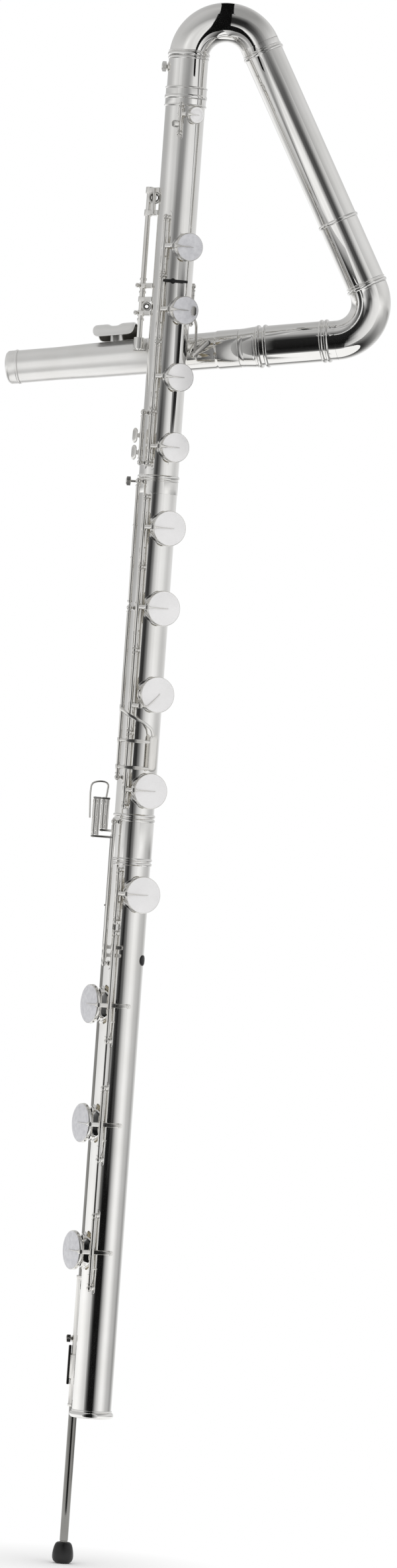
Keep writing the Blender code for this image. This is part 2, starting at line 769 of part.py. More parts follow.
def at_rest(hinge, points):
    """Points of the standing body, given in a hinge frame."""
    back = Matrix.Translation(hinge.location) @ hinge.rotation_euler.to_matrix().to_4x4()
    back.invert()
    return [tuple((back @ p).xy) for p in points]


def kicker(plan, hinge):
    """The tail that crosses the front of the foot and stops the key when it stands open."""
    clearance = TUBE_RADIUS + KICKER_GAP
    route = [around(plan.line, HINGE_RADIUS)]
    route += [around(math.radians(a), clearance, 0.0) for a in (-17.0, -6.0, 8.0, 22.0)]
    points = at_rest(hinge, route)
    centre = Vector(points[0])
    points[0] = tuple(centre + (Vector(points[1]) - centre).normalized() * ARM_START)
    return plate("kicker", strip(points, KICKER_HALF), KICKER_WIDTH, None, hinge)


def clutch_tab(plan, hinge):
    """The tab on the long hinge tube that the little finger lever lifts."""
    route = [around(plan.line, HINGE_RADIUS)]
    route += [around(math.radians(a), r * MM) for a, r in ((-17.0, 30.9), (-6.0, 30.6))]
    points = at_rest(hinge, route)
    centre = Vector(points[0])
    points[0] = tuple(centre + (Vector(points[1]) - centre).normalized() * ARM_START)
    place = Matrix.Translation((0.0, 0.0, LITTLE_POSTS[1] + OUTER_TAB_RISE - plan.station))
    return plate("clutch_tab", strip(points, KICKER_HALF), TAB_WIDTH, place, hinge)


def trill_touch(plan, hinge):
    """The small touch that lifts the closed trill cup."""
    place = Matrix.Translation((1.6 * MM, -6.2 * MM, plan.post_below + 11.0 * MM - plan.station))
    return plate("trill_touch", stadium(9.0 * MM, 12.0 * MM, 4), 1.6 * MM, place @ UPRIGHT_TO_X, hinge)


def thumb_touch(plan, hinge):
    """The slanted thumb touch to the right of the body, on its bent arm."""
    middle = Vector((0.0, 0.0, plan.station))
    route = [
        around(plan.line, HINGE_RADIUS, plan.station) + Vector((2.9, -1.7, -17.0)) * MM,
        middle + Vector((33.0, 13.0, -24.0)) * MM,
        middle + Vector((34.0, 10.5, -46.0)) * MM,
        middle + Vector((33.0, 10.0, -61.0)) * MM,
    ]
    back = Matrix.Translation(hinge.location) @ hinge.rotation_euler.to_matrix().to_4x4()
    back.invert()
    return wire("thumb_arm", [back @ p for p in route], THUMB_WIRE_RADIUS, None, hinge)


def thumb_plate(plan, hinge):
    """The thumb touch itself."""
    middle = Vector((0.0, 0.0, plan.station))
    low = middle + Vector((29.0, 10.0, -65.5)) * MM
    high = middle + Vector((51.5, 10.0, -44.5)) * MM
    forward = Vector((0.0, -1.0, 0.0))
    back = Matrix.Translation(hinge.location) @ hinge.rotation_euler.to_matrix().to_4x4()
    place = axis_frame((low + high) / 2, forward, (high - low).cross(forward))
    outline = stadium((high - low).length, THUMB_TOUCH_WIDTH)
    return plate("thumb_plate", outline, THUMB_TOUCH_THICKNESS, back.inverted() @ place, hinge)


def lever_frame(name, line, z, body):
    """The empty on a lever's hinge axis, square to the flute."""
    return frame_empty("hinge_" + name, Matrix.Translation(around(line, HINGE_RADIUS, z)), body)


def standing(hinge, points):
    """Outline points of the standing body in a lever's square frame."""
    return [tuple((p - hinge.location).xy) for p in points]


def lever_arm(name, hinge, route, z, half, width):
    """A flat arm that leaves a hinge tube and follows a route of (azimuth in degrees, radius in mm)."""
    points = standing(hinge, [around(math.radians(a), r * MM) for a, r in route])
    start = Vector(points[0]).normalized() * ARM_START
    place = Matrix.Translation((0.0, 0.0, z - hinge.location.z))
    return plate(name, strip([tuple(start)] + points, half), width, place, hinge)


def touch_plate(name, hinge, azimuth, radius, z, length, width):
    """A rounded finger plate that faces outwards."""
    outward = around(azimuth, 1.0)
    up = Vector((0.0, 0.0, 1.0))
    across = up.cross(outward)
    rotation = Matrix((across, up, outward)).transposed().to_4x4()
    centre = around(azimuth, radius, z) - hinge.location
    return plate(name, stadium(length, width), TOUCH_THICKNESS, Matrix.Translation(centre) @ rotation, hinge)


def side_lever(body):
    """The long right hand side plate on two arms that cross over the main hinge line."""
    high, low = SIDE_POSTS
    hinge = lever_frame("side_lever", OUTER_LINE, high, body)
    lever = pivot_rod("side_rod", high, low, hinge, high)
    route = ((-38.0, 37.6), (-25.0, 38.6), (-8.0, 37.4), (10.0, 35.4), (27.0, 34.2))
    arms = [lever_arm("side_arm", hinge, route, z, LEVER_ARM_HALF, SIDE_ARM_WIDTH) for z in SIDE_ARMS]
    sizes = (SIDE_TOUCH_RADIUS, SIDE_TOUCH_Z, SIDE_TOUCH_LENGTH, SIDE_TOUCH_WIDTH)
    touch = touch_plate("side_touch", hinge, math.radians(31.0), *sizes)
    combine(lever, "UNION", arms + [touch])
    return kept(lever, "side_lever", SATIN)


def left_lever(body):
    """The left hand lever with its two stacked touches."""
    high, low = LEFT_POSTS
    hinge = lever_frame("left_lever", OUTER_LINE, high, body)
    lever = pivot_rod("left_rod", high, low, hinge, high)
    pieces = []
    route = ((-54.0, 35.6), (-60.0, 36.6))
    azimuth = math.radians(-61.0)
    for z in LEFT_ARMS:
        pieces.append(lever_arm("left_arm", hinge, route, z, LEVER_ARM_HALF, LEFT_ARM_WIDTH))
        sizes = (LEFT_TOUCH_RADIUS, z, LEFT_TOUCH_LENGTH, LEFT_TOUCH_WIDTH)
        pieces.append(touch_plate("left_touch", hinge, azimuth, *sizes))
    combine(lever, "UNION", pieces)
    return kept(lever, "left_lever", SATIN)


def touch_frame(name, hinge, bar_x, pin_x, low_z, reach_from):
    """The little finger frame: a fixed bar and a roller pin between two end plates."""
    base = hinge.location
    bar_at, pin_at = standing(hinge, [Vector((bar_x, TOUCH_Y, 0.0)), Vector((pin_x, TOUCH_Y, 0.0))])
    past = (Vector(pin_at) - Vector(bar_at)).normalized() * TOUCH_BAR_RADIUS
    tip = tuple(Vector(pin_at) + past)
    thick = TOUCH_END_THICKNESS
    low = low_z - base.z
    high = ROLLER_TOP + SEAT_GAP * 2 + thick / 2 - base.z
    from_hinge = [tuple(Vector(bar_at).normalized() * reach_from), bar_at, tip]
    across = [tuple(Vector(bar_at) - past), tip]
    at_low = Matrix.Translation((0.0, 0.0, low))
    at_high = Matrix.Translation((0.0, 0.0, high))
    bottom = plate(name + "_base", strip(from_hinge, TOUCH_END_HALF), thick, at_low, hinge)
    top = plate(name + "_top", strip(across, TOUCH_END_HALF), thick, at_high, hinge)
    bar = drum(name + "_bar", TOUCH_BAR_RADIUS, low, high, 8, Matrix.Translation((*bar_at, 0.0)), hinge)
    pin = drum(name + "_pin", ROLLER_PIN, low, high, 8, Matrix.Translation((*pin_at, 0.0)), hinge)
    return [bottom, top, bar, pin]


def outer_lever(body):
    """The little finger lever on the outer tube, with its roller."""
    high, low = LITTLE_POSTS
    inset = POST_BALL + 2 * SEAT_GAP
    hinge = lever_frame("outer_lever", OUTER_LINE, high, body)
    ends = (low + inset + LEVER_COLLAR + SEAT_GAP - high, -inset - LEVER_COLLAR - SEAT_GAP)
    lever = pipe("outer_tube", HINGE_TUBE_RADIUS, HINGE_BORE, *ends, HINGE_SIDES, None, hinge)
    pieces = touch_frame("outer", hinge, OUTER_BAR_X, OUTER_PIN_X, OUTER_FRAME_Z, ARM_START)
    tab_z = low + OUTER_TAB_RISE
    pieces.append(lever_arm("outer_transfer", hinge, TRANSFER_ROUTE, tab_z, KICKER_HALF, TAB_WIDTH))
    combine(lever, "UNION", pieces)
    kept(lever, "outer_lever", SATIN)
    lever_roller("outer_roller", OUTER_PIN_X, OUTER_FRAME_Z, hinge)


def inner_lever(body):
    """The little finger lever whose rod turns inside the outer tube, with its wire loop and roller."""
    high, low = LITTLE_POSTS
    inset = POST_BALL + 2 * SEAT_GAP
    hinge = lever_frame("inner_lever", OUTER_LINE, high, body)
    end = POST_BALL * 0.8
    rod = drum("inner_rod", STEEL_RADIUS, low - end - high, end, HINGE_SIDES, None, hinge)
    ends = (-inset - LEVER_COLLAR, -inset)
    top_collar = drum("inner_top", HINGE_TUBE_RADIUS, *ends, HINGE_SIDES, None, hinge)
    ends = (low + inset - high, low + inset + LEVER_COLLAR - high)
    bottom_collar = drum("inner_bottom", HINGE_TUBE_RADIUS, *ends, HINGE_SIDES, None, hinge)
    pieces = touch_frame("inner", hinge, INNER_BAR_X, INNER_PIN_X, INNER_FRAME_Z, ARM_START / 2)
    tab_z = low + INNER_TAB_RISE
    pieces.append(lever_arm("inner_transfer", hinge, TRANSFER_ROUTE, tab_z, KICKER_HALF, TAB_WIDTH))
    top = Vector((0.0, TOUCH_Y, ROLLER_TOP))
    guard = [
        top + Vector((-36.0, 0.0, 2.0)) * MM,
        top + Vector((-35.0, 0.0, 9.0)) * MM,
        top + Vector((-34.0, 0.0, 21.0)) * MM,
        top + Vector((-44.0, -0.5, 23.0)) * MM,
        top + Vector((-55.0, -1.0, 20.0)) * MM,
        top + Vector((-56.0, -1.0, 6.0)) * MM,
        top + Vector((-54.5, -1.0, -23.0)) * MM,
    ]
    pieces.append(wire("guard", [p - hinge.location for p in guard], GUARD_RADIUS, None, hinge))
    combine(rod, "UNION", [top_collar, bottom_collar] + pieces)
    kept(rod, "inner_lever", SATIN)
    lever_roller("inner_roller", INNER_PIN_X, INNER_FRAME_Z, hinge)


def lever_roller(name, x, frame_z, hinge):
    """A roller on the pin of a little finger frame."""
    beside = Vector((x, TOUCH_Y)) - hinge.location.xy
    place = Matrix.Translation((*beside, -hinge.location.z))
    low = frame_z + ROLLER_LIFT
    roller = pipe(name, ROLLER_RADIUS, ROLLER_BORE, low, ROLLER_TOP, HINGE_SIDES, place, hinge)
    kept(roller, name, SATIN)


def thumb_screw(name, head_from, tip_at, place, parent, head_radius=SCREW_HEAD_RADIUS):
    """A knurled clamping screw whose stem points back along local Z."""
    edge = 0.8 * MM
    high = head_from + SCREW_HEAD_LENGTH
    profile = [
        (0.0, high),
        (head_radius - edge, high),
        (head_radius, high - edge),
        (head_radius, head_from + edge),
        (head_radius - edge, head_from),
        (SCREW_STEM_RADIUS, head_from),
        (SCREW_STEM_RADIUS, tip_at),
        (0.0, tip_at),
    ]
    return kept(turned(name, profile, SCREW_SIDES, place, parent), name, SATIN)


def brace_foot(head):
    """Height of the lower end of the brace, just above the head axis where that passes behind it."""
    axis = head.rotation_euler.to_matrix().col[2]
    along = (BRACE_BESIDE - head.location.x) / axis.x
    return head.location.z + axis.z * along + BRACE_ABOVE_HEAD


def brace(body, head, saddle):
    """The rod beside the body that steadies the head joint, and the saddle at its lower end."""
    axis = Vector((BRACE_BESIDE, BRACE_BEHIND, 0.0))
    bottom = brace_foot(head)
    top = bottom + BRACE_LENGTH
    place = Matrix.Translation(axis)
    rod = drum("brace_rod", BRACE_RADIUS, bottom, top, HINGE_SIDES, place, body)
    heights = [top - BRACE_CLIP_DROP - BRACE_CLIP_PITCH * i for i in range(2)]
    heights += [bottom + BRACE_CLAMP_RISE - BRACE_CLAMP_PITCH * i for i in range(3)]
    inward = around(math.radians(-100.0), TUBE_RADIUS - 2.0 * MM)
    wide = around(math.radians(-78.0), TUBE_RADIUS)
    back = around(math.radians(-126.0), TUBE_RADIUS)
    outline = [
        (axis.x - 4.6 * MM, axis.y - 3.0 * MM),
        (axis.x - 2.0 * MM, axis.y + 4.6 * MM),
        (back.x - 1.6 * MM, back.y + 1.6 * MM),
        (back.x + 2.0 * MM, back.y),
        (inward.x, inward.y),
        (wide.x + 1.0 * MM, wide.y),
        (wide.x - 1.8 * MM, wide.y - 0.6 * MM),
        (axis.x + 2.0 * MM, axis.y - 6.0 * MM),
    ]
    plates = []
    for z in heights:
        level = Matrix.Translation((0.0, 0.0, z))
        plates.append(plate("brace_plate", outline, BRACE_PLATE_HEIGHT, level, body))
    combine(rod, "UNION", plates)
    combine(rod, "DIFFERENCE", [saddle])
    kept(rod, "brace_rod", POLISHED)

    eye = SADDLE_EYE
    shoe = [
        (axis.x - eye, axis.y - 2.0 * MM),
        (axis.x - eye, axis.y + 6.0 * MM),
        (axis.x - eye - 2.0 * MM, axis.y + 34.0 * MM),
        (axis.x + eye + 4.0 * MM, axis.y + 34.0 * MM),
        (axis.x + eye, axis.y + 8.0 * MM),
        (axis.x + eye, axis.y - 2.0 * MM),
        (axis.x + 3.0 * MM, axis.y - eye),
        (axis.x - 3.0 * MM, axis.y - eye),
    ]
    middle = Matrix.Translation((0.0, 0.0, bottom + SADDLE_LIFT + SADDLE_HEIGHT / 2))
    block = plate("brace_saddle", shoe, SADDLE_HEIGHT, middle, body)
    ends = (bottom - CUT_MARGIN, top)
    bore = drum("saddle_bore", BRACE_RADIUS + SEAT_GAP, *ends, HINGE_SIDES, place, body)
    face = HEAD_WIDE_RADIUS + SADDLE_MARGIN
    far = SADDLE_REACH
    square = [(face, -far), (face, far), (-far, far), (-far, -far)]
    leaning = Matrix.Rotation(SADDLE_LEAN, 4, "Z") @ Matrix.Translation((0.0, 0.0, lip_station()))
    rest = plate("saddle_face", square, 4 * far, leaning, head)
    combine(block, "DIFFERENCE", [bore, rest])
    return kept(block, "brace_saddle", SATIN)


def head_start():
    """Distance along the head axis to the open end of the head joint."""
    return slide_top() - SLIDE_TENON_LENGTH + SEAT_GAP


def slide_rest():
    """Distance along the head axis to the shoulder of the tuning slide."""
    return RECEIVER_START + RECEIVER_LENGTH + SLIDE_REVEAL


def slide_top():
    """Distance along the head axis to the inner end of the tuning slide."""
    return slide_rest() + SLIDE_COLLAR_LENGTH + SLIDE_NECK_LENGTH + SLIDE_TENON_LENGTH


def head_profile(grow=0.0):
    """Outer profile of the head tube as (radius, distance), from the crown end down, closed on the axis."""
    low = head_start()
    high = low + HEAD_LENGTH
    wide = low + HEAD_SOCKET_LENGTH
    taper = wide + HEAD_TAPER_LENGTH
    narrow = taper + HEAD_NARROW_LENGTH
    return [
        (0.0, high),
        (HEAD_NARROW_RADIUS + grow, high),
        (HEAD_NARROW_RADIUS + grow, narrow),
        (HEAD_TAPER_RADIUS + grow, taper),
        (HEAD_WIDE_RADIUS + grow, wide + SOCKET_TAPER),
        (HEAD_SOCKET_RADIUS + grow, wide),
        (HEAD_SOCKET_RADIUS + grow, low),
        (0.0, low),
    ]


def lip_station():
    """Distance along the head axis to the middle of the embouchure hole."""
    return head_start() + HEAD_LENGTH - LIP_TO_CROWN


def lip_frame():
    """Frame of the lip plate on the head axis: Y points out through the embouchure hole."""
    return Matrix.Translation((0.0, 0.0, lip_station())) @ Matrix.Rotation(LIP_TILT, 4, "Z")


def oval_drum(name, width, length, low, high, place, parent):
    """An oval cylinder along local Y, its length along the head."""
    steps = 16
    outline = []
    for i in range(steps):
        angle = math.tau * i / steps
        outline.append((width / 2 * math.cos(angle), length / 2 * math.sin(angle)))
    lift = Matrix.Translation((0.0, (low + high) / 2, 0.0)) @ Matrix.Rotation(math.radians(-90.0), 4, "X")
    return plate(name, outline, high - low, place @ lift, parent)


def head_joint(body, head):
    """The receiver's slide, the head tube, the lip plate, the crown and the stopper."""
    shoulder = slide_rest()
    neck = shoulder + SLIDE_COLLAR_LENGTH
    tenon = neck + SLIDE_NECK_LENGTH
    tenon_radius = HEAD_SOCKET_RADIUS - HEAD_SOCKET_WALL - SEAT_GAP
    insert_radius = RECEIVER_RADIUS - RECEIVER_WALL - SEAT_GAP
    bore = tenon_radius - SLIDE_WALL
    ring = RECEIVER_RADIUS + RING_PROUD
    profile = [
        (tenon_radius, slide_top()),
        (tenon_radius, neck),
        (RECEIVER_RADIUS, neck),
        (RECEIVER_RADIUS, shoulder + RING_HEIGHT),
        (ring - RING_BEVEL, shoulder + RING_HEIGHT),
        (ring, shoulder + RING_HEIGHT / 2),
        (ring - RING_BEVEL, shoulder),
        (insert_radius, shoulder),
        (insert_radius, shoulder - SLIDE_REVEAL - SLIDE_INSERT),
        (bore, shoulder - SLIDE_REVEAL - SLIDE_INSERT),
        (bore, slide_top()),
    ]
    slide_axis = frame_empty("slide_axis", Matrix.Identity(4), head)
    slide = turned("tuning_slide", profile, HEAD_SIDES, None, slide_axis, closed=True)
    kept(slide, "tuning_slide", POLISHED)

    turn_axis = frame_empty("head_turn_axis", Matrix.Identity(4), slide_axis)
    outer = head_profile()[1:-1]
    low = head_start()
    high = low + HEAD_LENGTH
    wide = low + HEAD_SOCKET_LENGTH
    taper = wide + HEAD_TAPER_LENGTH
    narrow = taper + HEAD_NARROW_LENGTH
    socket = HEAD_SOCKET_RADIUS - HEAD_SOCKET_WALL
    inner = [
        (socket, low),
        (socket, slide_top() + SEAT_GAP),
        (HEAD_WIDE_RADIUS - HEAD_WALL, slide_top() + SEAT_GAP),
        (HEAD_WIDE_RADIUS - HEAD_WALL, wide + SOCKET_TAPER),
        (HEAD_TAPER_RADIUS - HEAD_WALL, taper),
        (HEAD_NARROW_RADIUS - HEAD_WALL, narrow),
        (HEAD_NARROW_RADIUS - HEAD_WALL, high),
    ]
    tube = turned("head_tube", outer + inner, HEAD_SIDES, None, turn_axis, closed=True)
    lip = lip_frame()
    through = (HEAD_TAPER_RADIUS / 2, LIP_CREST * 1.5)
    hole = oval_drum("blow_hole", HOLE_WIDTH, HOLE_LENGTH, *through, lip, turn_axis)
    combine(tube, "DIFFERENCE", [hole])
    kept(tube, "head_tube", POLISHED)

    centre = LIP_CREST - LIP_ARC_RADIUS
    steps = 12
    arc = []
    for i in range(steps + 1):
        angle = -LIP_ARC_REACH + 2 * LIP_ARC_REACH * i / steps
        arc.append((LIP_ARC_RADIUS * math.sin(angle), centre + LIP_ARC_RADIUS * math.cos(angle)))
    inside = LIP_ARC_RADIUS - LIP_THICKNESS
    for i in range(steps, -1, -1):
        angle = -LIP_ARC_REACH + 2 * LIP_ARC_REACH * i / steps
        arc.append((inside * math.sin(angle), centre + inside * math.cos(angle)))
    lip_shell = plate("lip_plate", arc, LIP_LENGTH + CUT_MARGIN, lip, turn_axis)
    span = 2 * LIP_ARC_RADIUS * math.sin(LIP_ARC_REACH) + 2.0 * MM
    whole = (centre - LIP_ARC_RADIUS, LIP_CREST * 1.5)
    oval = oval_drum("lip_outline", span, LIP_LENGTH, *whole, lip, turn_axis)
    combine(lip_shell, "INTERSECT", [oval])
    riser_width = HOLE_WIDTH + 2 * RISER_WALL
    riser_length = HOLE_LENGTH + 2 * RISER_WALL
    reach = (HEAD_TAPER_RADIUS * 0.7, LIP_CREST * 1.5)
    riser = oval_drum("riser", riser_width, riser_length, *reach, lip, turn_axis)
    middle = LIP_ARC_RADIUS - LIP_THICKNESS / 2
    under = [(middle, 0.0), (-middle, 0.0)]
    for i in range(steps + 1):
        angle = -LIP_ARC_REACH + 2 * LIP_ARC_REACH * i / steps
        under.append((middle * math.sin(angle), centre + middle * math.cos(angle)))
    combine(riser, "INTERSECT", [plate("riser_top", under, LIP_LENGTH, lip, turn_axis)])
    combine(lip_shell, "UNION", [riser])
    seat = turned("lip_seat", head_profile(SEAT_GAP), HEAD_SIDES, None, turn_axis)
    combine(lip_shell, "DIFFERENCE", [hole, seat])
    kept(lip_shell, "lip_plate", POLISHED)

    crown_axis = frame_empty("crown_axis", Matrix.Translation((0.0, 0.0, high)), turn_axis)
    plug = HEAD_NARROW_RADIUS - HEAD_WALL - SEAT_GAP
    screw_bore = STOPPER_SCREW_RADIUS + SEAT_GAP
    dome = CROWN_DOME
    crown_profile = [
        (0.0, CROWN_LENGTH),
        (HEAD_NARROW_RADIUS * 0.72, CROWN_LENGTH - dome * 0.3),
        (HEAD_NARROW_RADIUS, CROWN_LENGTH - dome),
        (HEAD_NARROW_RADIUS, SEAT_GAP),
        (plug, SEAT_GAP),
        (plug, -CROWN_PLUG_LENGTH),
        (screw_bore, -CROWN_PLUG_LENGTH),
        (screw_bore, CROWN_BORE_DEPTH),
        (0.0, CROWN_BORE_DEPTH),
    ]
    kept(turned("crown", crown_profile, HEAD_SIDES, None, crown_axis), "crown", POLISHED)

    stopper_low = lip_station() + STOPPER_TO_HOLE
    bore_there = HEAD_NARROW_RADIUS - HEAD_WALL - SEAT_GAP
    cap = STOPPER_EDGE
    screw_end = high + STOPPER_SCREW_END - SEAT_GAP
    stopper_profile = [
        (0.0, screw_end),
        (STOPPER_SCREW_RADIUS, screw_end),
        (STOPPER_SCREW_RADIUS, stopper_low + STOPPER_LENGTH),
        (bore_there - cap, stopper_low + STOPPER_LENGTH),
        (bore_there, stopper_low + STOPPER_LENGTH - cap),
        (bore_there, stopper_low + cap),
        (bore_there - cap, stopper_low),
        (0.0, stopper_low),
    ]
    stopper_axis = frame_empty("stopper_axis", Matrix.Identity(4), turn_axis)
    kept(turned("stopper", stopper_profile, HEAD_SIDES, None, stopper_axis), "stopper", CORK)


def floor_peg(body, saddle):
    """The holder on the foot, the sliding peg, its rubber foot and its clamping screw."""
    bore = PEG_RADIUS + SEAT_GAP
    outer = bore + HOLDER_WALL
    collar = outer + HOLDER_COLLAR
    axis = Matrix.Translation((PEG_BESIDE, PEG_BEHIND, 0.0))
    profile = [
        (outer, HOLDER_TOP),
        (outer, HOLDER_COLLAR_TOP),
        (collar, HOLDER_COLLAR_TOP),
        (collar, HOLDER_COLLAR_BOTTOM),
        (outer, HOLDER_COLLAR_BOTTOM),
        (outer, HOLDER_BOTTOM),
        (bore, HOLDER_BOTTOM),
        (bore, HOLDER_TOP),
    ]
    holder = turned("peg_holder", profile, PEG_SIDES, axis, body, closed=True)
    azimuth = math.atan2(PEG_BESIDE, -PEG_BEHIND)
    distance = math.hypot(PEG_BESIDE, PEG_BEHIND)
    place = facing(azimuth)
    near = TUBE_RADIUS - 3.0 * MM
    far = distance - bore
    half = BRACKET_HALF
    outline = [(near, -half), (far, -outer * 0.8), (far, outer * 0.8), (near, half)]
    low = HOLDER_BOTTOM + HOLDER_BRACKET_HEIGHT / 2
    high = HOLDER_TOP - HOLDER_BRACKET_HEIGHT / 2 - BRACKET_DROP
    feet = []
    for z in (low, high):
        level = Matrix.Translation((0.0, 0.0, z)) @ place
        feet.append(plate("bracket", outline, HOLDER_BRACKET_HEIGHT, level, body))
    combine(holder, "UNION", feet)
    ends = (HOLDER_BOTTOM - CUT_MARGIN, HOLDER_TOP + CUT_MARGIN)
    clear_bore = drum("peg_way", bore, *ends, PEG_SIDES, axis, body)
    screw_place = axis @ radial(-math.pi / 2, PEG_SCREW_HEIGHT)
    ends = (bore + HOLDER_WALL / 2, outer + BOSS_HEIGHT)
    boss = drum("peg_boss", BOSS_RADIUS, *ends, HINGE_SIDES, screw_place, body)
    stem = SCREW_STEM_RADIUS + SEAT_GAP
    hole = drum("peg_screw_hole", stem, 0.0, collar * 2, HINGE_SIDES, screw_place, body)
    combine(holder, "UNION", [boss])
    combine(holder, "DIFFERENCE", [saddle, clear_bore, hole])
    kept(holder, "peg_holder", SATIN)
    thumb_screw(
        "peg_screw",
        outer + BOSS_HEIGHT + SEAT_GAP,
        PEG_RADIUS + SEAT_GAP * 2,
        screw_place,
        body,
        SCREW_HEAD_RADIUS * 0.75,
    )

    peg = frame_empty("peg_slide_axis", axis, body)
    kept(drum("peg_rod", PEG_RADIUS, PEG_BOTTOM, PEG_TOP, PEG_SIDES, None, peg), "peg_rod", STEEL)
    sleeve = PEG_RADIUS + SEAT_GAP
    tip = [
        (0.0, PEG_BOTTOM - SEAT_GAP),
        (sleeve, PEG_BOTTOM - SEAT_GAP),
        (sleeve, TIP_HEIGHT),
        (TIP_RADIUS - TIP_EDGE, TIP_HEIGHT),
        (TIP_RADIUS, TIP_HEIGHT - TIP_EDGE),
        (TIP_RADIUS, TIP_EDGE),
        (TIP_RADIUS - TIP_EDGE, 0.0),
        (0.0, 0.0),
    ]
    kept(turned("peg_tip", tip, PEG_SIDES, None, peg), "peg_tip", RUBBER)


def post_heights(plans):
    """Heights of the posts that these keys hinge between, from the top down."""
    heights = {plan.post_above for plan in plans} | {plan.post_below for plan in plans}
    return sorted(heights, reverse=True)


def body_sections(plans, trill, thumb, body):
    """The three sections of the body, with the steels of their hinge lines."""
    upper, lower, foot = plans[:4], plans[4:8], plans[8:]
    half = RING_HEIGHT / 2
    socket_end = FOOT_TOP - LOWER_TENON - SEAT_GAP - FOOT_RING_HEIGHT / 2
    thick_ring = UPPER_TOP - BEND_TENON - SEAT_GAP
    foot_rings = [
        (FOOT_TOP - FOOT_RING_HEIGHT / 2, FOOT_RING_HEIGHT),
        (socket_end, FOOT_RING_HEIGHT),
        (FOOT_END + half, RING_HEIGHT),
    ]
    foot_posts = {MAIN_LINE: post_heights(foot), OUTER_LINE: LITTLE_POSTS}
    lower_posts = {MAIN_LINE: post_heights(lower), OUTER_LINE: SIDE_POSTS}
    upper_posts = {
        MAIN_LINE: post_heights(upper),
        OUTER_LINE: LEFT_POSTS,
        TRILL_LINE: post_heights([trill]),
        THUMB_LINE: post_heights([thumb]),
    }
    body_tube("foot_tube", FOOT_TOP, FOOT_END, 0.0, foot_rings, foot, foot_posts, [], body)
    lower_rings = [(LOWER_TOP - half, RING_HEIGHT)]
    low = FOOT_TOP + SEAT_GAP
    screws = [LOWER_TOP - BODY_SCREW_DROP]
    body_tube("lower_body_tube", LOWER_TOP, low, LOWER_TENON, lower_rings, lower, lower_posts, screws, body)
    upper_rings = [(thick_ring, UPPER_RING_HEIGHT)]
    low = LOWER_TOP + SEAT_GAP
    keys = upper + [trill, thumb]
    screws = [UPPER_TOP - LOCK_SCREW_DROP]
    body_tube("upper_body_tube", UPPER_TOP, low, UPPER_TENON, upper_rings, keys, upper_posts, screws, body)
    for name, posts in (("foot", foot_posts), ("lower", lower_posts), ("upper", upper_posts)):
        hinge_steel(name + "_hinge_steel", MAIN_LINE, posts[MAIN_LINE], body)
    hinge_steel("trill_hinge_steel", TRILL_LINE, upper_posts[TRILL_LINE], body)
    hinge_steel("thumb_hinge_steel", THUMB_LINE, upper_posts[THUMB_LINE], body)


def fixed_fold(diagonal, bend, lower_turn, body, head):
    """The tubing over the top and down the diagonal, and the receiver of the head joint."""
    half = RING_HEIGHT / 2
    top_place = Matrix.Translation((BEND_RADIUS, 0.0, BEND_START))
    top = bent_tube("top_bend", 0.0, TOP_TURN, DIAGONAL_LEAD - SEAT_GAP, top_place, body)
    lip = RING_HEIGHT
    collar = ringed_side(TUBE_RADIUS, BEND_START + lip, BEND_START, [(BEND_START + half, RING_HEIGHT)])
    tenon = [
        (TENON_RADIUS, BEND_START),
        (TENON_RADIUS, BEND_START - BEND_TENON),
        (TENON_BORE, BEND_START - BEND_TENON),
        (TENON_BORE, BEND_START + lip),
    ]
    combine(top, "UNION", [turned("bend_tenon", collar[1:-1] + tenon, TUBE_SIDES, None, body, closed=True)])
    kept(top, "top_bend", POLISHED)
    end = DIAGONAL_LENGTH - SEAT_GAP
    rings = [(station, RING_HEIGHT) for station in (end - half, DIAGONAL_FERRULE, DIAGONAL_LEAD + half)]
    side = ringed_side(TUBE_RADIUS, end, DIAGONAL_LEAD, rings)
    bore = [(TUBE_BORE, DIAGONAL_LEAD), (TUBE_BORE, end)]
    straight = turned("diagonal_tube", side + bore, TUBE_SIDES, diagonal, body, closed=True)
    kept(straight, "diagonal_tube", POLISHED)
    lower = bent_tube("lower_bend", 0.0, lower_turn, RECEIVER_START - SEAT_GAP, bend, body)
    kept(lower, "lower_bend", POLISHED)
    end = RECEIVER_START + RECEIVER_LENGTH
    first = RECEIVER_START + half
    rings = [(station, RING_HEIGHT) for station in (end - half, first + DOUBLE_RING_PITCH, first)]
    side = ringed_side(RECEIVER_RADIUS, end, RECEIVER_START, rings)
    bore_radius = RECEIVER_RADIUS - RECEIVER_WALL
    bore = [(bore_radius, RECEIVER_START), (bore_radius, end)]
    receiver = turned("head_receiver", side + bore, HEAD_SIDES, None, head, closed=True)
    kept(receiver, "head_receiver", POLISHED)


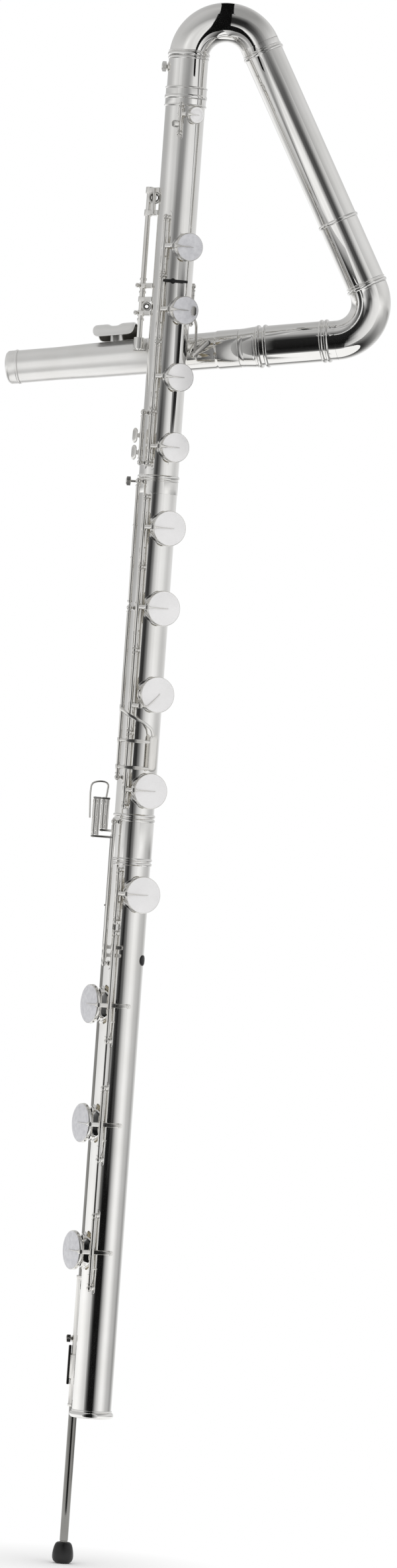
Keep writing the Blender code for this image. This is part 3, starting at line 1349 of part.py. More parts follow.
def build():
    """Make every part."""
    clear_scene()
    body = frame_empty("body_axis", Matrix.Translation((-PEG_BESIDE, -PEG_BEHIND, 0.0)))
    diagonal, bend, lower_turn, head_place = folded_route()
    head = frame_empty("head_axis", head_place, body)
    plans = key_plans()
    trill = trill_plan()
    thumb = thumb_plan()
    reach = (FOOT_END - CUT_MARGIN, UPPER_TOP + CUT_MARGIN)
    saddle = drum("body_saddle", TUBE_RADIUS + SEAT_GAP, *reach, TUBE_SIDES, None, body)
    body_sections(plans, trill, thumb, body)
    fixed_fold(diagonal, bend, lower_turn, body, head)
    for plan in plans[:9]:
        padded_key(plan, body)
    padded_key(plans[9], body, [kicker, clutch_tab])
    for plan in plans[10:]:
        padded_key(plan, body, [kicker])
    padded_key(trill, body, [trill_touch])
    padded_key(thumb, body, [thumb_touch, thumb_plate])
    side_lever(body)
    left_lever(body)
    outer_lever(body)
    inner_lever(body)
    head_joint(body, head)
    brace(body, head, saddle)
    floor_peg(body, saddle)
    outer = TUBE_RADIUS + BOSS_HEIGHT + SEAT_GAP
    tip = TENON_RADIUS + SEAT_GAP
    for name, height in (
        ("top_lock_screw", UPPER_TOP - LOCK_SCREW_DROP),
        ("body_lock_screw", LOWER_TOP - BODY_SCREW_DROP),
    ):
        thumb_screw(name, outer, tip, radial(-math.pi / 2, height), body)
    place = radial(BUMPER_AZIMUTH, BUMPER_Z)
    ends = (TUBE_RADIUS / 2, TUBE_RADIUS + BUMPER_HEIGHT)
    bumper = drum("side_bumper", BUMPER_RADIUS, *ends, CHIMNEY_SIDES, place, body)
    kept(combine(bumper, "DIFFERENCE", [saddle]), "side_bumper", RUBBER)
    add_booleans()
    for part in PARTS.objects:
        if part.type == "MESH":
            smooth(part)


build()
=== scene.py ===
"""Looks of the contrabass flute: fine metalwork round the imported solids, finishes, studio and camera.

Shapes are gathered in millimetres about the body axis, the way the maker measures them: +Z up, azimuth 0
towards -Y, where the keys are seen, and growing towards +X. They become metres in the frame at the end.
"""

import json
import logging
import math
from dataclasses import dataclass, field
from enum import Enum

import bmesh
import bpy
from mathutils import Matrix, Vector

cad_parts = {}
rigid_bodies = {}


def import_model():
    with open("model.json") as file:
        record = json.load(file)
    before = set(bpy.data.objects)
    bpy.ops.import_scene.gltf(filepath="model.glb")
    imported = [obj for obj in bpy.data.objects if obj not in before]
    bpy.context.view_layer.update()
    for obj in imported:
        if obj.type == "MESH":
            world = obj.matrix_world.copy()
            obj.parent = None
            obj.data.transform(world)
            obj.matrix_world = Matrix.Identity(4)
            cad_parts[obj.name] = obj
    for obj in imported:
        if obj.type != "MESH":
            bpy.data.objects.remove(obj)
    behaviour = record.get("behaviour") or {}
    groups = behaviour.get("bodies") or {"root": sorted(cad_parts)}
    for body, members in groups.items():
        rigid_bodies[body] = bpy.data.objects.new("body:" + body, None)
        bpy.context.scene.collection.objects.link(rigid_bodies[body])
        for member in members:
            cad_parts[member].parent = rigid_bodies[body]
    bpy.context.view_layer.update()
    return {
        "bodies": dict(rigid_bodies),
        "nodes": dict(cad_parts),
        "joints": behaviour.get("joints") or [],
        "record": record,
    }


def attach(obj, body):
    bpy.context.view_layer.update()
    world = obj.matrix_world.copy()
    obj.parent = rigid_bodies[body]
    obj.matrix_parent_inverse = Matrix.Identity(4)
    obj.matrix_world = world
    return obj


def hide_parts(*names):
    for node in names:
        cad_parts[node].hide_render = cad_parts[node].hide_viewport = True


LOG = logging.getLogger("contrabass_flute")

UP = Vector((0.0, 0.0, 1.0))
FORWARD = Vector((0.0, -1.0, 0.0))
UPRIGHT_TO_X = Matrix.Rotation(math.radians(90.0), 4, "Y")
BODY_TO_FRAME = Matrix.Translation((0.023, -0.024, 0.0)) @ Matrix.Scale(0.001, 4)
MERGE = 0.0005
SHARP = math.radians(33.0)
TUBE_SIDES = 128
ROUND_SIDES = 64
SMALL_SIDES = 28


def rad(degrees: float) -> float:
    """Degrees as radians."""
    return math.radians(degrees)


def around(azimuth: float, radius: float, z: float = 0.0) -> Vector:
    """A point beside the body axis.

    Args:
        azimuth: Angle round the body in radians.
        radius: Distance from the axis in millimetres.
        z: Height in millimetres.

    Returns:
        The point in millimetres.
    """
    return Vector((radius * math.sin(azimuth), -radius * math.cos(azimuth), z))


def facing(azimuth: float) -> Matrix:
    """Turns local X outwards and local Y towards growing azimuth.

    Args:
        azimuth: Angle round the body in radians.

    Returns:
        A rotation matrix.
    """
    return Matrix.Rotation(azimuth - rad(90.0), 4, "Z")


def radial(azimuth: float, z: float) -> Matrix:
    """A frame on the body axis whose Z points outwards.

    Args:
        azimuth: Angle round the body in radians.
        z: Height in millimetres.

    Returns:
        The frame as a matrix.
    """
    return Matrix.Translation((0.0, 0.0, z)) @ facing(azimuth) @ UPRIGHT_TO_X


def axis_frame(origin: Vector, along: Vector, towards: Vector) -> Matrix:
    """A frame with Z along one direction and X as near as it can be to another.

    Args:
        origin: Where the frame stands.
        along: Direction of its Z.
        towards: Direction that its X leans to.

    Returns:
        The frame as a matrix.
    """
    z = along.normalized()
    x = (towards - towards.dot(z) * z).normalized()
    rotation = Matrix((x, z.cross(x), z)).transposed().to_4x4()
    return Matrix.Translation(origin) @ rotation


def soften(path: list, radius: float, steps: int = 4, closed: bool = False) -> list[Vector]:
    """Rounds the corners of a path or outline.

    Args:
        path: Points in two or three dimensions.
        radius: How far from each corner the round starts.
        steps: Segments in each round.
        closed: Whether the last point joins the first.

    Returns:
        The rounded points.
    """
    points = [Vector(p) for p in path]
    result = []
    for i, corner in enumerate(points):
        if not closed and i in (0, len(points) - 1):
            result.append(corner)
            continue
        before = points[i - 1] - corner
        after = points[(i + 1) % len(points)] - corner
        start = corner + before.normalized() * min(radius, before.length / 2)
        end = corner + after.normalized() * min(radius, after.length / 2)
        for k in range(steps + 1):
            t = k / steps
            result.append(start * (1 - t) ** 2 + corner * 2 * t * (1 - t) + end * t**2)
    return result


def inset(outline: list, amount: float) -> list[Vector]:
    """Draws an outline in by an even amount.

    Args:
        outline: Corner points in the plane, counterclockwise.
        amount: How far in, in millimetres.

    Returns:
        The smaller outline.
    """
    points = [Vector(p).to_2d() for p in outline]
    result = []
    for i, point in enumerate(points):
        before = (point - points[i - 1]).normalized()
        after = (points[(i + 1) % len(points)] - point).normalized()
        first = Vector((-before.y, before.x))
        second = Vector((-after.y, after.x))
        miter = (first + second) / max(1.0 + first.dot(second), 0.2)
        result.append(point + miter * amount)
    return result


def stadium(length: float, width: float, steps: int = 10) -> list[Vector]:
    """Outline with round ends.

    Args:
        length: Whole length, along Y.
        width: Width, along X.
        steps: Segments in each end.

    Returns:
        The outline, counterclockwise.
    """
    radius = width / 2
    reach = length / 2 - radius
    points = []
    for end in (1, -1):
        for i in range(steps + 1):
            angle = math.pi * i / steps
            point = Vector((radius * math.cos(angle), reach + radius * math.sin(angle)))
            points.append(point * end)
    return points


class Form:
    """The faces of one piece, gathered in millimetres about the body axis."""

    def __init__(self) -> None:
        """Starts empty."""
        self.shape = bmesh.new()

    def add(self, points: list, faces: list, place: Matrix | None = None) -> None:
        """Adds one closed shell.

        Args:
            points: Its vertices.
            faces: Its faces as lists of vertex numbers.
            place: Where it goes.
        """
        part = bmesh.new()
        verts = [part.verts.new(p) for p in points]
        for face in faces:
            part.faces.new([verts[i] for i in face])
        bmesh.ops.remove_doubles(part, verts=part.verts, dist=MERGE)
        bmesh.ops.recalc_face_normals(part, faces=part.faces)
        if place is not None:
            part.transform(place)
        mesh = bpy.data.meshes.new("part")
        part.to_mesh(mesh)
        part.free()
        self.shape.from_mesh(mesh)
        bpy.data.meshes.remove(mesh)

    def loft(self, rings: list, place: Matrix | None = None, closed: bool = False, capped: bool = True) -> None:
        """Skins a row of rings that have equal numbers of points.

        Args:
            rings: The rings in order.
            place: Where the shell goes.
            closed: Whether the last ring joins the first.
            capped: Whether open ends get a flat face.
        """
        count = len(rings[0])
        faces = []
        for i in range(len(rings) if closed else len(rings) - 1):
            a = i * count
            b = (i + 1) % len(rings) * count
            for j in range(count):
                k = (j + 1) % count
                faces.append((a + j, a + k, b + k, b + j))
        if capped and not closed:
            faces.append(tuple(range(count - 1, -1, -1)))
            faces.append(tuple(range((len(rings) - 1) * count, len(rings) * count)))
        self.add([p for ring in rings for p in ring], faces, place)

    def turn(self, profile: list, place: Matrix | None = None, sides: int = ROUND_SIDES, closed: bool = False) -> None:
        """Revolves a profile about local Z.

        Args:
            profile: Points as (radius, height); an open one starts and ends on the axis.
            place: Where the shell goes.
            sides: Segments round the axis.
            closed: Whether the profile is a loop.
        """
        rings = []
        for radius, height in [tuple(p) for p in profile]:
            rings.append([
                (radius * math.cos(math.tau * i / sides), radius * math.sin(math.tau * i / sides), height)
                for i in range(sides)
            ])
        self.loft(rings, place, closed, capped=False)

    def drum(self, radius: float, low: float, high: float, place: Matrix | None = None, edge: float = 0.3,
             sides: int = SMALL_SIDES) -> None:
        """A solid cylinder with rounded edges.

        Args:
            radius: Its radius.
            low: Lower end along local Z.
            high: Upper end along local Z.
            place: Where it goes.
            edge: Size of the round at its edges.
            sides: Segments round the axis.
        """
        profile = [(0.0, high), (radius, high), (radius, low), (0.0, low)]
        self.turn(soften(profile, edge, 3), place, sides)

    def pipe(self, outer: float, inner: float, low: float, high: float, place: Matrix | None = None,
             edge: float = 0.3, sides: int = ROUND_SIDES) -> None:
        """A straight tube with rounded edges.

        Args:
            outer: Outer radius.
            inner: Inner radius.
            low: Lower end along local Z.
            high: Upper end along local Z.
            place: Where it goes.
            edge: Size of the round at its edges.
            sides: Segments round the axis.
        """
        profile = [(outer, high), (outer, low), (inner, low), (inner, high)]
        self.turn(soften(profile, edge, 3, True), place, sides, closed=True)

    def slab(self, outline: list, low: float, high: float, place: Matrix | None = None, edge: float = 0.4,
             crown: float = 0.0) -> None:
        """A flat plate with rounded edges.

        Args:
            outline: Corner points in the local plane, counterclockwise.
            low: Underside along local Z.
            high: Top along local Z.
            place: Where it goes.
            edge: Size of the round at its edges.
            crown: How much its middle stands above its rim.
        """
        rings = [[(*p, low) for p in inset(outline, edge)], [(*p, low + edge) for p in inset(outline, 0.0)]]
        for angle in (0.0, 30.0, 60.0, 90.0):
            drawn = edge * (1 - math.cos(rad(angle)))
            rings.append([(*p, high - edge + edge * math.sin(rad(angle))) for p in inset(outline, drawn)])
        if crown:
            rings.append([(*p, high + crown * 0.7) for p in inset(outline, edge * 3)])
            rings.append([(*p, high + crown) for p in inset(outline, edge * 6)])
        self.loft(rings, place)

    def sweep(self, path: list, halves: list | tuple, up: Vector, power: float = 2.0, sides: int = 14,
              place: Matrix | None = None, closed: bool = False) -> None:
        """Skins a rounded section along a path.

        Args:
            path: Its points.
            halves: (half thickness, half width), one pair for all points or one for each.
            up: Direction of the width.
            power: 2 for an oval section, more for a squarer one.
            sides: Points in the section.
            place: Where it goes.
            closed: Whether the path is a loop.
        """
        points = [Vector(p) for p in path]
        if isinstance(halves, tuple):
            halves = [halves] * len(points)
        section = []
        for i in range(sides):
            angle = math.tau * (i + 0.5) / sides
            c, s = math.cos(angle), math.sin(angle)
            shape = abs(c) ** power + abs(s) ** power
            section.append((c / shape ** (1 / power), s / shape ** (1 / power)))
        rings = []
        last = len(points) - 1
        for i, point in enumerate(points):
            before = points[i - 1] if i or closed else point
            after = points[(i + 1) % len(points)] if i < last or closed else point
            along = (after - before).normalized()
            side = up.cross(along).normalized()
            width = along.cross(side)
            thick, wide = halves[i]
            ring = [point + side * (a * thick) + width * (b * wide) for a, b in section]
            if not closed and i in (0, last):
                small = min(thick, wide)
                outward = along * (small * 0.45 if i else -small * 0.45)
                tip = [point + (p - point) * 0.55 + outward for p in ring]
                rings += [ring, tip] if i else [tip, ring]
            else:
                rings.append(ring)
        self.loft(rings, place, closed)

    def wire(self, path: list, radius: float, up: Vector, place: Matrix | None = None, sides: int = 12) -> None:
        """A round wire along a path.

        Args:
            path: Its points.
            radius: Its radius.
            up: A direction that the path never takes.
            place: Where it goes.
            sides: Points in the section.
        """
        self.sweep(path, (radius, radius), up, 2.0, sides, place)

    def rib(self, line: float, low: float, high: float, half: float, rise: float, radius: float) -> None:
        """A strap soldered along the tube, with round ends.

        Args:
            line: Azimuth of its middle.
            low: Lower end.
            high: Upper end.
            half: Half its width along the tube's surface.
            rise: Its thickness.
            radius: Radius of the tube that it lies on.
        """
        stations = []
        for i in range(7):
            stations.append((low + half * (1 - math.cos(rad(15.0 * i))), math.sin(rad(15.0 * i))))
        stations += [(low + high - z, share) for z, share in stations[::-1]]
        rings = []
        for z, share in stations:
            reach = half * max(share, 0.02)
            edge = min(0.4, reach / 2)
            row = [(-reach, -0.3), (-reach, rise - edge), (-reach + edge, rise)]
            row += [(-reach * 0.4, rise), (0.0, rise), (reach * 0.4, rise)]
            row += [(reach - edge, rise), (reach, rise - edge), (reach, -0.3)]
            rings.append([around(line + across / radius, radius + out, z) for across, out in row])
        self.loft(rings)

    def saddle(self, rows: list, place: Matrix, radius: float, sides: int = ROUND_SIDES) -> None:
        """A turned ring whose lower rows follow the surface of a tube that lies along local X.

        Args:
            rows: (distance from the ring's axis, height, whether the height starts on the tube's surface).
            place: Frame on the tube's axis with Z out along the ring's axis.
            radius: Radius of the tube.
            sides: Segments round the ring.
        """
        rings = []
        for distance, height, seated in rows:
            ring = []
            for i in range(sides):
                x = distance * math.cos(math.tau * i / sides)
                y = distance * math.sin(math.tau * i / sides)
                base = math.sqrt(max(radius**2 - y**2, 0.0)) if seated else 0.0
                ring.append((x, y, base + height))
            rings.append(ring)
        self.loft(rings, place, closed=True)

    def made(self, name: str) -> bpy.types.Object:
        """Turns the gathered faces into an object at the origin, in metres.

        Args:
            name: Name of the object.

        Returns:
            The new object.
        """
        self.shape.transform(BODY_TO_FRAME)
        mesh = bpy.data.meshes.new(name)
        self.shape.to_mesh(mesh)
        self.shape.free()
        obj = bpy.data.objects.new(name, mesh)
        bpy.context.scene.collection.objects.link(obj)
        mesh.shade_smooth()
        mesh.set_sharp_from_angle(angle=SHARP)
        return obj


def baked(obj: bpy.types.Object) -> bpy.types.Object:
    """Puts the result of an object's modifiers into its mesh and removes them.

    Args:
        obj: The object with live modifiers.

    Returns:
        The same object with a plain mesh.
    """
    depsgraph = bpy.context.evaluated_depsgraph_get()
    depsgraph.update()
    mesh = bpy.data.meshes.new_from_object(obj.evaluated_get(depsgraph), depsgraph=depsgraph)
    obj.modifiers.clear()
    old = obj.data
    obj.data = mesh
    mesh.name = obj.name
    bpy.data.meshes.remove(old)
    return obj


def pierced(obj: bpy.types.Object, cutter: Form) -> bpy.types.Object:
    """Cuts the shells of a form out of an object.

    Args:
        obj: The object to cut.
        cutter: Closed shells in millimetres about the body axis.

    Returns:
        The same object with its holes.
    """
    tool = cutter.made(obj.name + "_cutter")
    tool.hide_render = True
    modifier = obj.modifiers.new("holes", "BOOLEAN")
    modifier.operation = "DIFFERENCE"
    modifier.solver = "EXACT"
    modifier.object = tool
    baked(obj)
    bpy.data.objects.remove(tool, do_unlink=True)
    obj.data.shade_smooth()
    obj.data.set_sharp_from_angle(angle=SHARP)
    return obj


def trued(obj: bpy.types.Object, place: Matrix, radii: tuple) -> bpy.types.Object:
    """Gives the walls of a pierced tube the exact normals of a cylinder, so that they mirror without a ripple.

    Args:
        obj: The tube.
        place: Frame in metres whose Z is the tube's axis.
        radii: Radii of its round walls in metres.

    Returns:
        The same object.
    """
    mesh = obj.data
    back = place.inverted()
    turn = place.to_3x3()
    normals = [Vector(n.vector) for n in mesh.corner_normals]
    for polygon in mesh.polygons:
        for i in polygon.loop_indices:
            local = back @ mesh.vertices[mesh.loops[i].vertex_index].co
            distance = math.hypot(local.x, local.y)
            if min(abs(distance - r) for r in radii) > 0.00004:
                continue
            outward = (turn @ Vector((local.x, local.y, 0.0))).normalized()
            lean = outward.dot(polygon.normal)
            if abs(lean) > 0.9:
                normals[i] = outward * math.copysign(1.0, lean)
    mesh.normals_split_custom_set(normals)
    return obj


def hex_colour(text: str) -> tuple[float, float, float, float]:
    """An sRGB hex colour in linear light.

    Args:
        text: Six hex digits after a number sign.

    Returns:
        Red, green, blue and alpha.
    """
    parts = []
    for i in (1, 3, 5):
        value = int(text[i:i + 2], 16) / 255
        parts.append(value / 12.92 if value <= 0.04045 else ((value + 0.055) / 1.055) ** 2.4)
    return (*parts, 1.0)


def add_node(tree: bpy.types.NodeTree, kind: str, inputs: dict | None = None, **settings: object) -> bpy.types.Node:
    """Adds one node with its settings and links.

    Args:
        tree: The node tree.
        kind: Type of the node.
        inputs: Values, or output sockets to link, by the input's name or number.
        settings: Properties of the node.

    Returns:
        The new node.
    """
    node = tree.nodes.new(kind)
    for name, value in settings.items():
        setattr(node, name, value)
    for key, value in (inputs or {}).items():
        if isinstance(value, bpy.types.NodeSocket):
            tree.links.new(value, node.inputs[key])
        else:
            node.inputs[key].default_value = value
    return node


def blank_material(name: str) -> tuple[bpy.types.Material, bpy.types.NodeTree]:
    """A new material with an empty tree.

    Args:
        name: Its name.

    Returns:
        The material and its tree.
    """
    material = bpy.data.materials.new(name)
    material.use_nodes = True
    material.node_tree.nodes.clear()
    return material, material.node_tree


class Grain(Enum):
    """Directions in which a metal was rubbed, as stretches along X, Y and Z."""

    ALONG_BODY = (1.0, 1.0, 0.03)
    ALONG_HEAD = (0.05, 1.0, 1.0)
    EVEN = (1.0, 1.0, 1.0)


@dataclass(frozen=True)
class Plate:
    """Silver plate or steel: a metal whose polish hides haze, rub marks and a little tarnish.

    Colours are sRGB hex, haze and tarnish are patch sizes and rub is a line's width, all in millimetres.
    """

    name: str
    slot: str
    bright: str
    dull: str
    smooth: float
    rough: float
    metallic: float = 1.0
    haze: float = 14.0
    rub: float = 0.5
    rub_depth: float = 0.00002
    rub_strength: float = 0.05
    tarnish: float = 45.0
    grain: Grain = Grain.ALONG_BODY
    satin_edge: float | None = None
    satin: float = 0.4

    def material(self) -> bpy.types.Material:
        """Builds the node material.

        Returns:
            The material.
        """
        material, tree = blank_material(self.name)
        place = add_node(tree, "ShaderNodeTexCoord").outputs["Object"]
        patches = add_node(
            tree, "ShaderNodeTexNoise", {"Vector": place, "Scale": 1000.0 / self.tarnish, "Detail": 3.0}
        )
        tint = add_node(
            tree, "ShaderNodeMapRange", {"Value": patches.outputs["Fac"], "From Min": 0.35, "From Max": 0.75}
        )
        colour = add_node(
            tree,
            "ShaderNodeMix",
            {"Factor": tint.outputs["Result"], "A": hex_colour(self.bright), "B": hex_colour(self.dull)},
            data_type="RGBA",
        )
        for i, text in ((6, self.bright), (7, self.dull)):
            colour.inputs[i].default_value = hex_colour(text)
        stretched = add_node(
            tree, "ShaderNodeMapping", {"Vector": place, "Scale": self.grain.value}, vector_type="TEXTURE"
        )
        stretched.inputs["Scale"].default_value = tuple(1.0 / s for s in self.grain.value)
        lines = add_node(
            tree,
            "ShaderNodeTexNoise",
            {"Vector": stretched.outputs["Vector"], "Scale": 1000.0 / self.rub, "Detail": 2.0},
        )
        bloom = add_node(
            tree, "ShaderNodeTexNoise", {"Vector": place, "Scale": 1000.0 / self.haze, "Detail": 5.0}
        )
        both = add_node(
            tree,
            "ShaderNodeMath",
            {0: bloom.outputs["Fac"], 1: lines.outputs["Fac"]},
            operation="MULTIPLY",
        )
        rough = add_node(
            tree,
            "ShaderNodeMapRange",
            {"Value": both.outputs["Value"], "From Min": 0.15, "From Max": 0.4,
             "To Min": self.smooth, "To Max": self.rough},
        )
        bump = add_node(
            tree,
            "ShaderNodeBump",
            {"Height": lines.outputs["Fac"], "Strength": self.rub_strength, "Distance": self.rub_depth},
        )
        shader = add_node(
            tree,
            "ShaderNodeBsdfPrincipled",
            {"Base Color": colour.outputs[2], "Roughness": rough.outputs["Result"],
             "Normal": bump.outputs["Normal"], "Metallic": self.metallic},
        )
        if self.satin_edge is not None:
            self.brush(tree, place, rough.outputs["Result"], shader)
        add_node(tree, "ShaderNodeOutputMaterial", {"Surface": shader.outputs["BSDF"]})
        return material

    def brush(self, tree: bpy.types.NodeTree, place: bpy.types.NodeSocket, polish: bpy.types.NodeSocket,
              shader: bpy.types.Node) -> None:
        """Satin brushes the part that lies beyond the edge, towards -X.

        Args:
            tree: The node tree.
            place: Object coordinates.
            polish: Roughness of the polished part.
            shader: The shader to change.
        """
        parts = add_node(tree, "ShaderNodeSeparateXYZ", {"Vector": place})
        beyond = add_node(
            tree,
            "ShaderNodeMapRange",
            {"Value": parts.outputs["X"], "From Min": self.satin_edge, "From Max": self.satin_edge - 0.006},
        )
        dull = add_node(tree, "ShaderNodeMix", {"Factor": beyond.outputs["Result"], "B": self.satin})
        tree.links.new(polish, dull.inputs["A"])
        tree.links.new(dull.outputs["Result"], shader.inputs["Roughness"])
        metal = add_node(tree, "ShaderNodeMix", {"Factor": beyond.outputs["Result"], "A": 1.0, "B": 0.8})
        tree.links.new(metal.outputs["Result"], shader.inputs["Metallic"])


@dataclass(frozen=True)
class Matter:
    """Rubber, cork, skin or felt: a mottled matt solid with a grain in its surface.

    Colours are sRGB hex and the grain's size is in millimetres.
    """

    name: str
    slot: str
    light: str
    dark: str
    smooth: float
    rough: float
    grain: float
    depth: float
    strength: float
    sheen: float = 0.0
    ior: float = 1.5

    def material(self) -> bpy.types.Material:
        """Builds the node material.

        Returns:
            The material.
        """
        material, tree = blank_material(self.name)
        place = add_node(tree, "ShaderNodeTexCoord").outputs["Object"]
        cells = add_node(tree, "ShaderNodeTexNoise", {"Vector": place, "Scale": 1000.0 / self.grain, "Detail": 6.0})
        broad = add_node(tree, "ShaderNodeTexNoise", {"Vector": place, "Scale": 90.0 / self.grain, "Detail": 3.0})
        mixed = add_node(
            tree, "ShaderNodeMath", {0: cells.outputs["Fac"], 1: broad.outputs["Fac"]}, operation="MULTIPLY"
        )
        share = add_node(
            tree, "ShaderNodeMapRange", {"Value": mixed.outputs["Value"], "From Min": 0.12, "From Max": 0.4}
        )
        colour = add_node(tree, "ShaderNodeMix", {"Factor": share.outputs["Result"]}, data_type="RGBA")
        colour.inputs[6].default_value = hex_colour(self.dark)
        colour.inputs[7].default_value = hex_colour(self.light)
        rough = add_node(
            tree,
            "ShaderNodeMapRange",
            {"Value": broad.outputs["Fac"], "From Min": 0.3, "From Max": 0.7,
             "To Min": self.smooth, "To Max": self.rough},
        )
        bump = add_node(
            tree,
            "ShaderNodeBump",
            {"Height": cells.outputs["Fac"], "Strength": self.strength, "Distance": self.depth},
        )
        shader = add_node(
            tree,
            "ShaderNodeBsdfPrincipled",
            {"Base Color": colour.outputs[2], "Roughness": rough.outputs["Result"],
             "Normal": bump.outputs["Normal"], "IOR": self.ior, "Sheen Weight": self.sheen},
        )
        add_node(tree, "ShaderNodeOutputMaterial", {"Surface": shader.outputs["BSDF"]})
        return material


# Buffed silver plate over nickel silver: a clear mirror with a faint haze and lengthwise cloth marks.
BODY_PLATE = Plate(
    "buffed_silver_plate", "polished_silver_plate", "#F7F6F4", "#F0EFEC", 0.03, 0.08, rub_strength=0.005
)
# The same plate on the head joint: polished by the slide, satin brushed from the body to the crown.
HEAD_PLATE = Plate(
    "brushed_head_silver_plate", "polished_silver_plate", "#F6F5F3", "#EEEDEA", 0.04, 0.1, rub_strength=0.01,
    grain=Grain.ALONG_HEAD, satin_edge=0.02, satin=0.3
)
# Scratch brushed silver plate on the middle key cups: chalk white, it holds no image.
CUP_PLATE = Plate(
    "scratch_brushed_silver_plate", "satin_silver_plate", "#F3F2F2", "#EAE9E9", 0.38, 0.5,
    metallic=0.45, haze=5.0, rub=0.9, rub_depth=0.00004, rub_strength=0.2, grain=Grain.EVEN
)
# Cup plate darkened to a cool grey as painted shade on the top and foot cups, with a fine speckle.
SHADED_CUP_PLATE = Plate(
    "pearled_silver_plate", "satin_silver_plate", "#DDDDE0", "#CBCBCF", 0.4, 0.52,
    metallic=0.4, haze=3.0, rub=1.1, rub_depth=0.00006, rub_strength=0.4, tarnish=5.0, grain=Grain.EVEN
)
# Hand polished silver plate on rods, arms and posts: small round forms with bright lines and soft darks.
KEY_PLATE = Plate(
    "hand_polished_silver_plate", "satin_silver_plate", "#EFEEEB", "#E0DDD8", 0.12, 0.22, rub=0.4,
    rub_strength=0.05
)
# Ground steel peg and hinge steels: a grey metal, darker than the plate, with faint grinding marks.
GROUND_STEEL = Plate(
    "ground_steel", "blued_steel", "#93928F", "#84837F", 0.1, 0.17, rub=0.6, rub_strength=0.03
)
# Painted shade: a dull warm dark grey silver for the sheets under the lip plate and inside the brace rings, where
# shade falls.
SHADE_DARK_PLATE = Plate(
    "tarnished_silver", "satin_silver_plate", "#5B5955", "#3B3935", 0.3, 0.45, haze=6.0, rub_strength=0.1,
    tarnish=12.0, grain=Grain.EVEN
)
# Moulded rubber: near black, with a soft broad sheen and a fine pebble from the mould.
RUBBER = Matter("moulded_black_rubber", "black_rubber", "#131314", "#070707", 0.3, 0.45, 0.9, 0.00006, 0.2)
# Goldbeater's skin over felt: cream, thin and slightly shiny, with faint veins.
SKIN = Matter("pad_skin", "pad_skin", "#EFE6CF", "#DCCDAA", 0.35, 0.5, 2.2, 0.00006, 0.2)
# Pressed cork: tan granules with dark specks and no shine.
CORK = Matter("pressed_cork", "cork", "#C79A64", "#7E5630", 0.75, 0.9, 1.4, 0.0002, 0.6)


class Finish(Enum):
    """The finishes of the flute."""

    BODY = BODY_PLATE
    HEAD = HEAD_PLATE
    CUP = CUP_PLATE
    PEARL = SHADED_CUP_PLATE
    KEY = KEY_PLATE
    STEEL = GROUND_STEEL
    # Dark grey plate that paints shade, not a finish of the flute.
    TARNISH = SHADE_DARK_PLATE
    RUBBER = RUBBER
    SKIN = SKIN
    CORK = CORK


class Workshop:
    """Gives finished objects their material, their body and their CAD nodes."""

    def __init__(self) -> None:
        """Makes one material for each finish."""
        self.materials = {finish: finish.value.material() for finish in Finish}

    def fit(self, obj: bpy.types.Object, finish: Finish, body: str, nodes: tuple = ()) -> bpy.types.Object:
        """Dresses an object and lets it ride on a body.

        Args:
            obj: The finished object.
            finish: What it is made of.
            body: The CAD body that it moves with.
            nodes: CAD nodes that it stands for.

        Returns:
            The same object.
        """
        obj.data.materials.clear()
        obj.data.materials.append(self.materials[finish])
        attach(obj, body)
        if nodes:
            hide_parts(*nodes)
        LOG.info("%s: %d faces on %s", obj.name, len(obj.data.polygons), body)
        return obj

    def publish(self, form: Form, name: str, finish: Finish, body: str, nodes: tuple = ()) -> bpy.types.Object:
        """Makes an object from a form and fits it.

        Args:
            form: The gathered faces.
            name: Name of the piece.
            finish: What it is made of.
            body: The CAD body that it moves with.
            nodes: CAD nodes that it stands for.

        Returns:
            The new object.
        """
        return self.fit(form.made(name), finish, body, nodes)

    def repaint(self, frame: dict, names: tuple, finish: Finish) -> None:
        """Gives CAD nodes that stay a better material.

        Args:
            frame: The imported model.
            names: The nodes.
            finish: What they are made of.
        """
        for name in names:
            for slot in frame["nodes"][name].material_slots:
                slot.material = self.materials[finish]
            LOG.info("%s: kept from the solids, in %s", name, finish.value.name)


@dataclass(frozen=True)
class Tubing:
    """Sizes that the whole flute shares, in millimetres."""

    radius: float = 24.4
    wall: float = 0.8
    hinge_radius: float = 32.4
    seat: float = 28.3
    chimney_top: float = 28.0
    main_line: float = rad(-25.0)
    outer_line: float = rad(-49.0)
    thumb_line: float = rad(127.0)
    trill_line: float = rad(-9.0)
    foot_end: float = 189.5
    foot_top: float = 934.0
    lower_top: float = 1354.0
    upper_top: float = 1873.5

    @property
    def bore(self) -> float:
        """Inner radius of the tube."""
        return self.radius - self.wall


TUBING = Tubing()


@dataclass(frozen=True)
class KeyPlan:
    """Where one padded key hinges and closes, in millimetres and radians."""

    name: str
    station: float
    cup: float
    above: float
    below: float
    line: float
    sweep: float
    side: int
    opening: float
    slant: float = 0.0

    @property
    def azimuth(self) -> float:
        """Azimuth of the hole's middle."""
        return self.line + self.side * self.sweep

    @property
    def chimney(self) -> float:
        """Outer radius of the chimney."""
        return self.cup - 3.2

    @property
    def hinge(self) -> Matrix:
        """Frame on the hinge axis at rest, X out from the hole and Y along the pad's face."""
        place = Matrix.Translation(around(self.line, TUBING.hinge_radius, self.station))
        return place @ Matrix.Rotation(-self.side * self.opening, 4, "Z") @ facing(self.azimuth)

    @property
    def across(self) -> float:
        """Distance from the hinge to the cup's middle along the pad's face."""
        return TUBING.hinge_radius * math.sin(self.sweep)

    @property
    def lift(self) -> float:
        """Distance from the hinge to the pad's underside, out from the hole."""
        return TUBING.seat - TUBING.hinge_radius * math.cos(self.sweep)

    @property
    def cup_frame(self) -> Matrix:
        """Frame of the cup at rest, Z out from the hole and zero at the pad's underside."""
        return self.hinge @ Matrix.Translation((self.lift, self.side * self.across, 0.0)) @ UPRIGHT_TO_X


